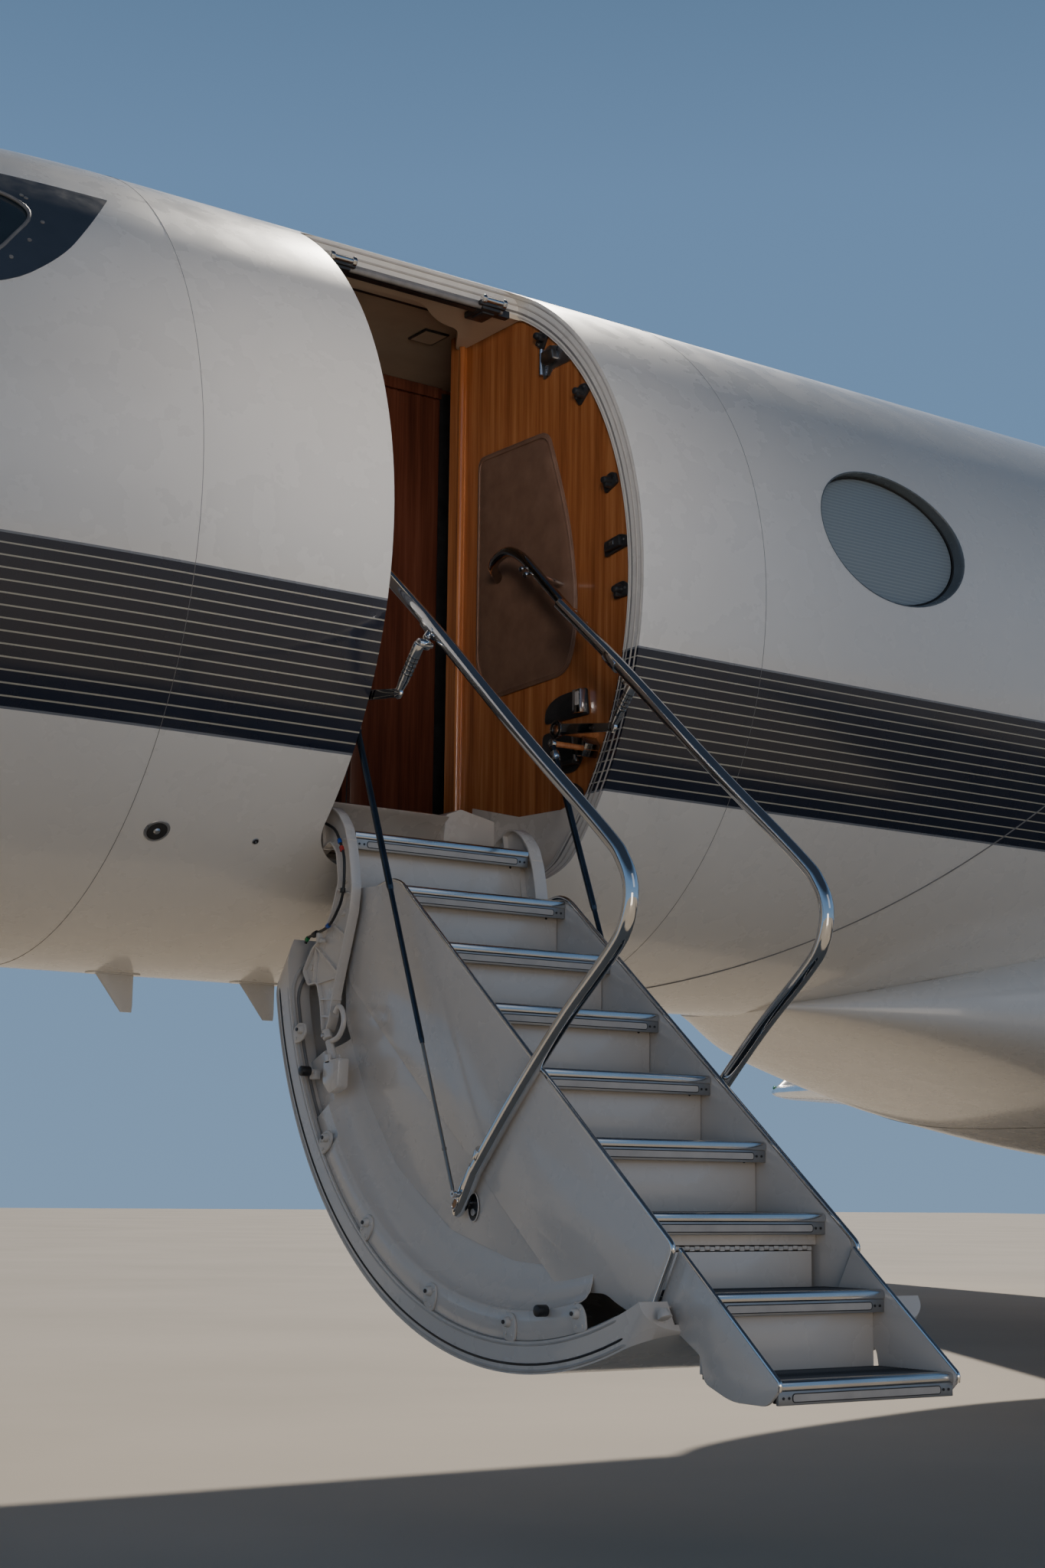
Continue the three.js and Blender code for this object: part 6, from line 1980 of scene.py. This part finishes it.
# Landing gear
NOSE_GEAR = {"x": -10.45, "r": 0.270, "w": 0.175, "half": 0.150}
MAIN_GEAR = {"x": 1.15, "y": 2.085, "r": 0.440, "w": 0.250, "half": 0.236}
TREAD = ((0.0, 1.0), (0.10, 1.0), (0.105, 0.978), (0.135, 0.978), (0.14, 0.999), (0.34, 0.995),
         (0.345, 0.972), (0.375, 0.972), (0.38, 0.992), (0.60, 0.978), (0.82, 0.935), (0.95, 0.872),
         (1.0, 0.79), (0.97, 0.70), (0.88, 0.60), (0.78, 0.545), (0.72, 0.535))
RIM = ((0.72, 0.535), (0.70, 0.555), (0.62, 0.535), (0.58, 0.50), (0.50, 0.46), (0.42, 0.36), (0.40, 0.30),
       (0.46, 0.27), (0.46, 0.13), (0.40, 0.11))


def wheel_parts(gear, y, offset, out):
    """Tyre, rim with its holes' shadow, bolts and hub cap; out is +1 where the wheel's face looks to +Y."""
    w, r = gear["w"] / 2, gear["r"]
    center = Vector((gear["x"], y + offset, gear["r"]))
    axis = (0, 1, 0)
    half = [(u * w, v * r) for u, v in TREAD]
    tyre = [(-u, v) for u, v in half[::-1]] + half[1:]
    parts = [revolved(tyre, center, axis, 72)]
    for face in (-1, 1):
        rim = [(face * u * w, v * r) for u, v in RIM]
        parts.append(revolved(rim, center, axis, 72, index=1))
        for a in turns_of(9):
            p = center + Vector((math.cos(a) * r * 0.41, face * w * 0.455, math.sin(a) * r * 0.41))
            q = p + Vector((0, face * 0.004, 0))
            parts.append(bar_mesh(p - Vector((0, face * 0.02, 0)), q, r * 0.042, 16, index=2))
            b = a + math.pi / 9
            p = center + Vector((math.cos(b) * r * 0.315, face * w * 0.42, math.sin(b) * r * 0.315))
            parts.append(bar_mesh(p, p + Vector((0, face * 0.016, 0)), r * 0.026, 6, index=3))
    cap = [(out * w * 0.44, r * 0.17), (out * w * 0.72, r * 0.16), (out * w * 0.80, r * 0.12),
           (out * w * 0.82, 0.0)]
    parts.append(revolved(cap, center, axis, 36, index=3))
    return parts


def make_wheels(name, body, node, gear, y, axle):
    parts = []
    for k in (-1, 1):
        parts += wheel_parts(gear, y, k * gear["half"], k)
    parts.append(bar_mesh((gear["x"], y - gear["half"], gear["r"]), (gear["x"], y + gear["half"], gear["r"]),
                          axle, 32, index=3))
    link(name, parts, ["rubber", "cast", "black", "steel"], body, node, smooth=35)


make_wheels("nose_wheels_pair", "nose_wheel_pair", "nose_wheels", NOSE_GEAR, 0, 0.034)


def torque_link(x, y, z0, z1, reach, width):
    """The two hinged arms that keep an oleo's lower half from turning."""
    parts = []
    knee = Vector((x + reach, y, (z0 + z1) / 2))
    for z in (z0, z1):
        root = Vector((x + 0.045, y, z))
        for side in (-1, 1):
            a = root + Vector((0, side * width, 0))
            b = knee + Vector((0, side * width * 0.35, 0))
            parts.append(bar_mesh(a, b, 0.015, 12, 0.012))
        parts.append(bar_mesh(root - Vector((0, width + 0.012, 0)), root + Vector((0, width + 0.012, 0)),
                              0.017, 16))
    parts.append(bar_mesh(knee - Vector((0, width * 0.6, 0)), knee + Vector((0, width * 0.6, 0)), 0.018, 16))
    return parts


def make_nose_gear():
    x = NOSE_GEAR["x"]
    top = AXIS_Z + FLOOR_Z - 0.0303
    leg = [bar_mesh((x, 0, 0.9003), (x, 0, 1.02), 0.078, 40, bevel=0.006),
           bar_mesh((x, 0, 1.01), (x, 0, top), 0.070, 40),
           bar_mesh((x, 0, 1.30), (x, 0, 1.40), 0.078, 40, bevel=0.008),
           bar_mesh((x, 0, 1.35), (x - 0.62, 0, top - 0.03), 0.030, 24),
           bar_mesh((x - 0.28, 0, 1.593), (x - 0.33, 0, 1.638), 0.036, 24, bevel=0.004),
           tube_mesh(spline([(x - 0.075, -0.03, 0.93), (x - 0.085, -0.035, 1.1), (x - 0.082, -0.03, 1.35),
                             (x - 0.09, -0.02, 1.7), (x - 0.06, 0, top - 0.02)], 6), 0.008, 10, index=2),
           tube_mesh(spline([(x - 0.070, 0.035, 0.93), (x - 0.080, 0.040, 1.2), (x - 0.080, 0.030, 1.6),
                             (x - 0.06, 0.02, top - 0.02)], 6), 0.006, 10, index=2)]
    for side in (-1, 1):
        leg.append(bar_mesh((x - 0.06, side * 0.095, 1.22), (x - 0.10, side * 0.095, 1.22), 0.050, 32, 0.058,
                            index=1))
        leg.append(bar_mesh((x - 0.10, side * 0.095, 1.22), (x - 0.108, side * 0.095, 1.22), 0.055, 32, 0.050,
                            index=3))
        leg.append(bar_mesh((x, side * 0.05, 1.22), (x - 0.07, side * 0.095, 1.22), 0.014, 12))
    link("nose_leg", leg, ["cast", "steel", "black", "lamp"], stands_for="nose_gear_leg")
    fork = [bar_mesh((x, 0, 0.9), (x, 0, 0.77), 0.098, 40, bevel=0.008),
            bar_mesh((x, 0, 0.78), (x, 0, 0.40), 0.044, 36, index=1),
            bar_mesh((x, 0, 0.42), (x, 0, 0.30), 0.052, 36, 0.058, 0.004),
            bar_mesh((x - 0.15, 0, 0.835), (x - 0.08, 0, 0.835), 0.040, 24, bevel=0.005),
            bar_mesh((x - 0.02, -0.128, 0.835), (x - 0.02, 0.128, 0.835), 0.028, 20, bevel=0.004, index=1),
            revolved([(-0.052, 0.0347), (-0.052, 0.060), (0.052, 0.060), (0.052, 0.0347)],
                     (x, 0, 0.27), (0, 1, 0), 40, closed=True)]
    fork += torque_link(x, 0, 0.36, 0.77, 0.145, 0.028)
    link("nose_fork", fork, ["cast", "chrome"], "nose_steering", "nose_gear_fork")
    for name, side in SIDES:
        y = sorted((side * 0.2297, side * 0.2157))
        parts = [slab(rounded([(-11.23, 1.085), (-10.37, 1.085), (-10.37, 1.555), (-11.23, 1.555)],
                              [0.09, 0.09, 0.01, 0.01], 6), "xz", *y, 0.003)]
        for x0 in (-11.1, -10.5):
            arm = [(x0, side * 0.213, 1.30), (x0, side * 0.205, 1.42), (x0, side * 0.214, 1.545)]
            parts.append(tube_mesh(spline(arm, 5), 0.012, 12, index=1))
        for z in (1.16, 1.45):
            parts.append(block((-11.18, side * 0.2145 - 0.002, z),
                               (-10.42, side * 0.2145 + 0.002, z + 0.03), 0.001, index=1))
        link(f"nose_door_{name}", parts, ["white", "grey"], stands_for=f"nose_gear_door_{name}")


make_nose_gear()


def make_main_gear(name, side):
    x, y, foot = MAIN_GEAR["x"], side * MAIN_GEAR["y"], MAIN_GEAR["r"]
    top = AXIS_Z - 1.29
    leg = [bar_mesh((x, y, foot + 0.30), (x, y, foot + 0.36), 0.095, 48, bevel=0.006),
           bar_mesh((x, y, foot + 0.35), (x, y, top), 0.088, 48),
           bar_mesh((x, y, foot + 0.06), (x, y, foot + 0.31), 0.060, 40, index=1),
           bar_mesh((x, y, foot + 0.085), (x, y, foot + 0.13), 0.070, 40, 0.064, 0.004),
           revolved([(-0.06, 0.0527), (-0.06, 0.090), (0.06, 0.090),
                     (0.06, 0.0527)], (x, y, foot), (0, 1, 0), 48, closed=True),
           bar_mesh((x, y + side * 0.06, 1.0), (x, y + side * 0.16, 1.0), 0.028, 20),
           tube_mesh(spline([(x - 0.09, y, foot + 0.05), (x - 0.15, y - side * 0.02, foot + 0.20),
                             (x - 0.11, y - side * 0.02, foot + 0.42),
                             (x - 0.10, y, top - 0.03)], 8), 0.009, 10, index=2),
           tube_mesh(spline([(x - 0.08, y + side * 0.03, foot + 0.05),
                             (x - 0.13, y + side * 0.04, foot + 0.24),
                             (x - 0.10, y + side * 0.03, foot + 0.45),
                             (x - 0.09, y + side * 0.03, top - 0.03)], 8), 0.006, 10, index=2)]
    leg += torque_link(x + 0.03, y, foot + 0.06, foot + 0.43, 0.17, 0.034)
    for k in (-1, 1):
        stack = [(k * 0.066, 0.065), (k * 0.066, 0.185), (k * 0.112, 0.185), (k * 0.112, 0.065)]
        leg.append(revolved(stack, (x, y, foot), (0, 1, 0), 40, closed=True, index=2))
    link(f"main_leg_{name}", leg, ["cast", "chrome", "black"], stands_for=f"main_gear_leg_{name}")
    make_wheels(f"main_wheels_pair_{name}", f"main_wheel_pair_{name}", f"main_wheels_{name}", MAIN_GEAR, y,
                0.052)
    y0, y1 = sorted((y + side * 0.1603, y + side * 0.178))
    parts = [slab(rounded([(x - 0.33, 0.90), (x + 0.33, 0.90), (x + 0.33, 1.13), (x - 0.33, 1.13)],
                          [0.06, 0.06, 0.02, 0.02], 6), "xz", y0, y1, 0.003)]
    for dx in (-0.2, 0.2):
        parts.append(block((x + dx - 0.02, y0, 0.92), (x + dx + 0.02, y0 + 0.004, 1.11), 0.002,
                           index=1))
    link(f"main_door_{name}", parts, ["wing", "grey"], stands_for=f"main_gear_door_{name}")


for name, side in SIDES:
    make_main_gear(name, side)


# Cockpit glass, its metal surround and the small fittings on the skin

def make_cockpit():
    panes = []
    for outline, radius in SIDE_PANES:
        shape = rounded(outline, radius, 5)
        for _, side in SIDES:
            panes.append(hull_patch(grown(shape, 0.012), side, -0.006, -0.018, 30, 96))
            line = [side_place(x, z, side, 0.0005) for x, z in shape]
            link(f"pane_seal_{len(panes)}", tube_mesh(line, 0.0055, 8, closed=True), "seal")
    for _, side in SIDES:
        shape = [(side * y, z) for y, z in rounded(WINDSCREEN, 0.05, 5)]
        shell = hull_shell(-13.1, -11.75, -0.006, -0.018, 40, 128)
        tool = prism_mesh([(y, z + AXIS_Z) for y, z in grown(shape, 0.012)], "yz", -13.2, -11.7)
        panes.append(boolean(shell, tool, "INTERSECT"))
    link("cockpit_panes", panes, "glass", stands_for="cockpit_glass", smooth=50)
    around = [(-10.095, 0.839), (-10.200, 0.690), (-10.302, 0.552), (-10.485, 0.411), (-11.15, 0.310),
              (-11.80, 0.225), (-12.02, 0.36), (-11.86, 0.52), (-11.40, 0.665), (-10.98, 0.815),
              (-10.50, 0.852)]
    shape = rounded(around, [0.004, 0.1, 0.12, 0.2, 0.3, 0.1, 0.1, 0.1, 0.2, 0.2, 0.3], 6)
    for name, side in SIDES:
        plate = hull_patch(shape, side, 0.0012, -0.003, 60, 128)
        for outline, radius in SIDE_PANES:
            hole = [(x, z + AXIS_Z) for x, z in rounded(outline, radius, 5)]
            plate = boolean(plate, prism_mesh(hole, "xz", side * 0.3, side * 1.4))
        link(f"cockpit_surround_{name}", hull_shaded(plate, 0.0012), "steel_bright", smooth=None)
        screws = []
        for outline, radius in SIDE_PANES:
            ring = grown(rounded(outline, radius, 5), 0.035)
            reach = 0.0
            for a, b in zip(ring, ring[1:] + ring[:1]):
                step = math.hypot(b[0] - a[0], b[1] - a[1])
                while reach < step:
                    x, z = (a[0] + (b[0] - a[0]) * reach / step, a[1] + (b[1] - a[1]) * reach / step)
                    p = side_place(x, z, side, 0.0008)
                    out = hull_normal(p)
                    screws.append(bar_mesh(p, p + out * 0.0016, 0.0062, 8))
                    reach += 0.095
                reach -= step
        link(f"cockpit_screws_{name}", screws, "seal")


make_cockpit()


def on_skin(x, turn, mesh_maker):
    """Places a small revolved fitting on the fuselage, its own axis standing out from the skin."""
    p = hull_point(x, turn)
    return mesh_maker(p, hull_normal(p))


def skin_turn(y, z):
    return math.atan2(z, y) % (2 * math.pi)


def make_fittings():
    ports = ((-9.848, -0.802, -0.886, 0.030), (-9.546, -0.803, -0.885, 0.008), (-10.6, -0.98, -0.55, 0.014))
    for number, (x, y, z, r) in enumerate(ports, 1):
        def port(p, out, r=r):
            rim = [(0.0002, r * 1.25), (0.0018, r * 1.18), (0.0018, r), (-0.012, r * 0.92), (-0.014, 0.0)]
            return merged([revolved(rim[:3], p, out, 32),
                           revolved([(0.0022, r * 0.98), (0.0020, r * 0.5), (0.0012, 0.0)], p, out, 32,
                                    index=1),
                           bar_mesh(p + out * 0.0015, p + out * 0.006, r * 0.34, 20, r * 0.22, index=2)])
        link(f"skin_port_{number}", on_skin(x, skin_turn(y, z), port), ["steel", "black", "steel"])
    for name, x in (("front", -9.570), ("rear", -9.080)):
        low = AXIS_Z - 1.310
        blade = []
        for z, lead, trail, half in ((AXIS_Z - 1.188, x - 0.075, x + 0.060, 0.0068),
                                     (AXIS_Z - 1.24, x - 0.034, x + 0.060, 0.006),
                                     (AXIS_Z - 1.29, x + 0.004, x + 0.060, 0.005),
                                     (low, x + 0.020, x + 0.058, 0.003)):
            ring = []
            for a in turns_of(20):
                u = (1 - math.cos(a)) / 2
                ring.append((lead + (trail - lead) * u, half * math.sin(a) * (1.25 - 0.6 * u), z))
            blade.append(ring)
        plate = loft_mesh(blade)
        foot = prism_mesh(rounded([(x - 0.095, -0.028), (x + 0.078, -0.028), (x + 0.078, 0.028),
                                   (x - 0.095, 0.028)], 0.026, 6),
                          "xy", AXIS_Z - 1.198, AXIS_Z - 1.190)
        link(f"blade_{name}", [plate, foot], "white", stands_for=f"belly_aerial_{name}", smooth=40)
    for number, (x, z) in enumerate(((-6.197, -1.162), (-5.4, -1.10)), 1):
        turn = skin_turn(-0.275, z)

        def scoop(p, out):
            return revolved([(0.0, 0.055), (0.012, 0.052), (0.030, 0.030), (0.036, 0.0)], p, out, 28)
        link(f"skin_scoop_{number}", on_skin(x, turn, scoop), "black")

    def dome(p, out):
        return merged([revolved([(0.0, 0.062), (0.006, 0.060), (0.008, 0.050)], p, out, 32),
                       revolved([(0.006, 0.050), (0.022, 0.046), (0.038, 0.030), (0.043, 0.0)],
                                p, out, 32, index=1)])
    link("belly_lamp", on_skin(-5.95, skin_turn(-0.43, -1.11), dome), ["steel", "lamp"], smooth=60)


make_fittings()


def side_seam(name, outline, side, radius, snapped=False):
    """A panel gap round an outline on the fuselage's side; snapped lays its middle points on the skin too."""
    line = [side_place(x, z, side, 0.0002) for x, z in outline]
    path = [line[i].lerp(line[(i + 1) % len(line)], k / 6) for i in range(len(line)) for k in range(6)]
    if snapped:
        path = [side_place(p.x, p.z - AXIS_Z, side, 0.0002) for p in path]
    link(name, tube_mesh(path, radius, 6, closed=True), "seal")


def make_seams():
    """Panel gaps on the skin, with the static probes and the wipers."""
    whole, upper = (0, 2 * math.pi), (0, math.pi)
    rings = ((-12.95, whole), (-9.95, whole), (-8.0, whole), (-4.6, upper), (-1.1, upper), (2.0, upper),
             (5.6, whole), (8.6, whole), (10.9, whole))
    seams = []
    for x, (a, b) in rings:
        line = [hull_point(x, a + (b - a) * k / 120, 0.0002) for k in range(121)]
        seams.append(tube_mesh(line, 0.0009, 6))
    start, stop = (-6.62, skin_turn(-1.085, -0.501)), (-7.72, skin_turn(-0.364, -1.138))
    line = []
    for k in range(61):
        t = k / 60 * 1.35
        line.append(hull_point(start[0] + (stop[0] - start[0]) * t, start[1] + (stop[1] - start[1]) * t,
                               0.0003))
    seams.append(tube_mesh(line, 0.0026, 6))
    link("skin_seams", seams, "seal")
    for name, side in SIDES:
        hatch = [(-12.1, -0.35), (-11.45, -0.35), (-11.45, -0.78), (-12.1, -0.78)]
        side_seam(f"hatch_seam_{name}", rounded(hatch, 0.07, 5), side, 0.0012)
        probe = hull_point(-12.55, math.pi + 0.12 if side < 0 else -0.12, 0)
        out = hull_normal(probe)
        tip = probe + out * 0.075 + Vector((-0.02, 0, 0))
        tube = merged([bar_mesh(probe - out * 0.005, tip, 0.011, 16),
                       bar_mesh(tip + Vector((0.03, 0, 0)), tip - Vector((0.15, 0, 0)), 0.008, 16, 0.005)])
        link(f"probe_{name}", tube, "steel")
    for name, side in SIDES:
        pts = []
        for x, y in ((-12.55, side * 0.10), (-12.15, side * 0.42)):
            turn = math.acos(max(-1, min(1, y / hull_at(x)[1])))
            pts.append(hull_point(x, turn, 0.018))
        link(f"wiper_{name}", tube_mesh([pts[0], pts[0].lerp(pts[1], 0.5) + Vector((0, 0, 0.004)), pts[1]],
                                        0.007, 8), "black")


make_seams()


def make_exits():
    """The outlines of the baggage door, on the left alone, and of the emergency exits."""
    baggage = [(1.9, 0.62), (2.75, 0.62), (2.75, -0.30), (1.9, -0.30)]
    side_seam("baggage_door_seam", rounded(baggage, 0.12, 6), -1, 0.0014, snapped=True)
    x = WINDOW["first"] + 4 * WINDOW["pitch"]
    exit_edge = [(x - 0.44, 0.66), (x + 0.44, 0.66), (x + 0.44, -0.16), (x - 0.44, -0.16)]
    for name, side in SIDES:
        side_seam(f"exit_seam_{name}", rounded(exit_edge, 0.14, 6), side, 0.0014, snapped=True)


make_exits()


def make_threshold():
    """The folding plate between the cabin floor and the first step: bright nosing, ribbed top."""
    x0, x1 = -0.268, 0.284
    edge, reach, top = -0.3104, -0.430, FLOOR_Z
    body = block((x0, reach, top - 0.016), (x1, edge, top - 0.0015), 0.0015)
    mat = box_mesh((x0 + 0.012, reach + 0.030, top - 0.003), (x1 - 0.012, edge - 0.004, top))
    nosing = bevelled(box_mesh((x0, reach - 0.0005, top - 0.0165), (x1, reach + 0.026, top + 0.0002)), 0.004,
                      3)
    knuckle = bar_mesh((x0, edge, top - 0.010), (x1, edge, top - 0.010), 0.0098, 20)
    parts = [body, painted(mat, 1), painted(nosing, 2), knuckle]
    fit("threshold_step", parts, ["steel", "ridged", "steel_bright"], "threshold", "threshold_plate")


make_threshold()


# Floor, light and backdrop

def make_stage():
    floor_mesh = raw_mesh("floor", [(-90, -90, -0.001), (90, -90, -0.001), (90, 90, -0.001),
                                    (-90, 90, -0.001)],
                          [[0, 1, 2, 3]])
    floor = placed("floor", floor_mesh)
    n = Nodes("floor", (0.46, 0.41, 0.34), 0.8)
    n.set("Base Color", n.ramp(n.noise(0.35, 5), (0.3, (0.40, 0.345, 0.275)), (0.7, (0.47, 0.41, 0.335))))
    floor_mesh.materials.append(n.material)
    sun_data = bpy.data.lights.new("sun", "SUN")
    sun_data.energy, sun_data.angle, sun_data.color = 3.7, math.radians(2.0), (1.0, 0.92, 0.80)
    sun = placed("sun", sun_data)
    sun.rotation_euler = Vector((-0.50, -0.52, -0.69)).to_track_quat("-Z", "Y").to_euler()
    lights = (
        # name, place, where it points, size, watts, colour, spread
        ("key", (-6.0, -17.0, 10.0), (-8.5, -1.0, 2.2), 8.0, 70, (1.0, 0.93, 0.84), 180),
        ("inside", (-11.6, -5.2, 3.0), (-8.8, -0.4, 3.1), 0.9, 3.6, (1.0, 0.92, 0.84), 28),
        ("low", (-11.5, -8.5, 0.7), (-9.2, -1.8, 1.4), 3.0, 60, (1.0, 0.87, 0.72), 180),
    )
    for name, place, aim, size, power, color, spread in lights:
        data = bpy.data.lights.new(name, "AREA")
        data.size, data.energy, data.color, data.spread = size, power, color, math.radians(spread)
        lamp = placed(name, data)
        lamp.location = place
        lamp.rotation_euler = (Vector(aim) - Vector(place)).to_track_quat("-Z", "Y").to_euler()
    world = bpy.data.worlds.new("sky")
    bpy.context.scene.world = world
    world.use_nodes = True
    # A clear sky, blue low down and growing dark blue overhead
    tree = world.node_tree
    background = tree.nodes["Background"]
    up = tree.nodes.new("ShaderNodeSeparateXYZ")
    tree.links.new(tree.nodes.new("ShaderNodeTexCoord").outputs["Generated"], up.inputs[0])
    ramp = tree.nodes.new("ShaderNodeValToRGB")
    tree.links.new(up.outputs[2], ramp.inputs[0])
    tree.links.new(ramp.outputs[0], background.inputs["Color"])
    ramp.color_ramp.elements[0].position, ramp.color_ramp.elements[0].color = 0.0, (0.30, 0.47, 0.70, 1)
    ramp.color_ramp.elements[1].position, ramp.color_ramp.elements[1].color = 0.42, (0.20, 0.36, 0.62, 1)
    high = ramp.color_ramp.elements.new(0.75)
    high.color = (0.035, 0.050, 0.080, 1)
    background.inputs["Strength"].default_value = 0.72


make_stage()
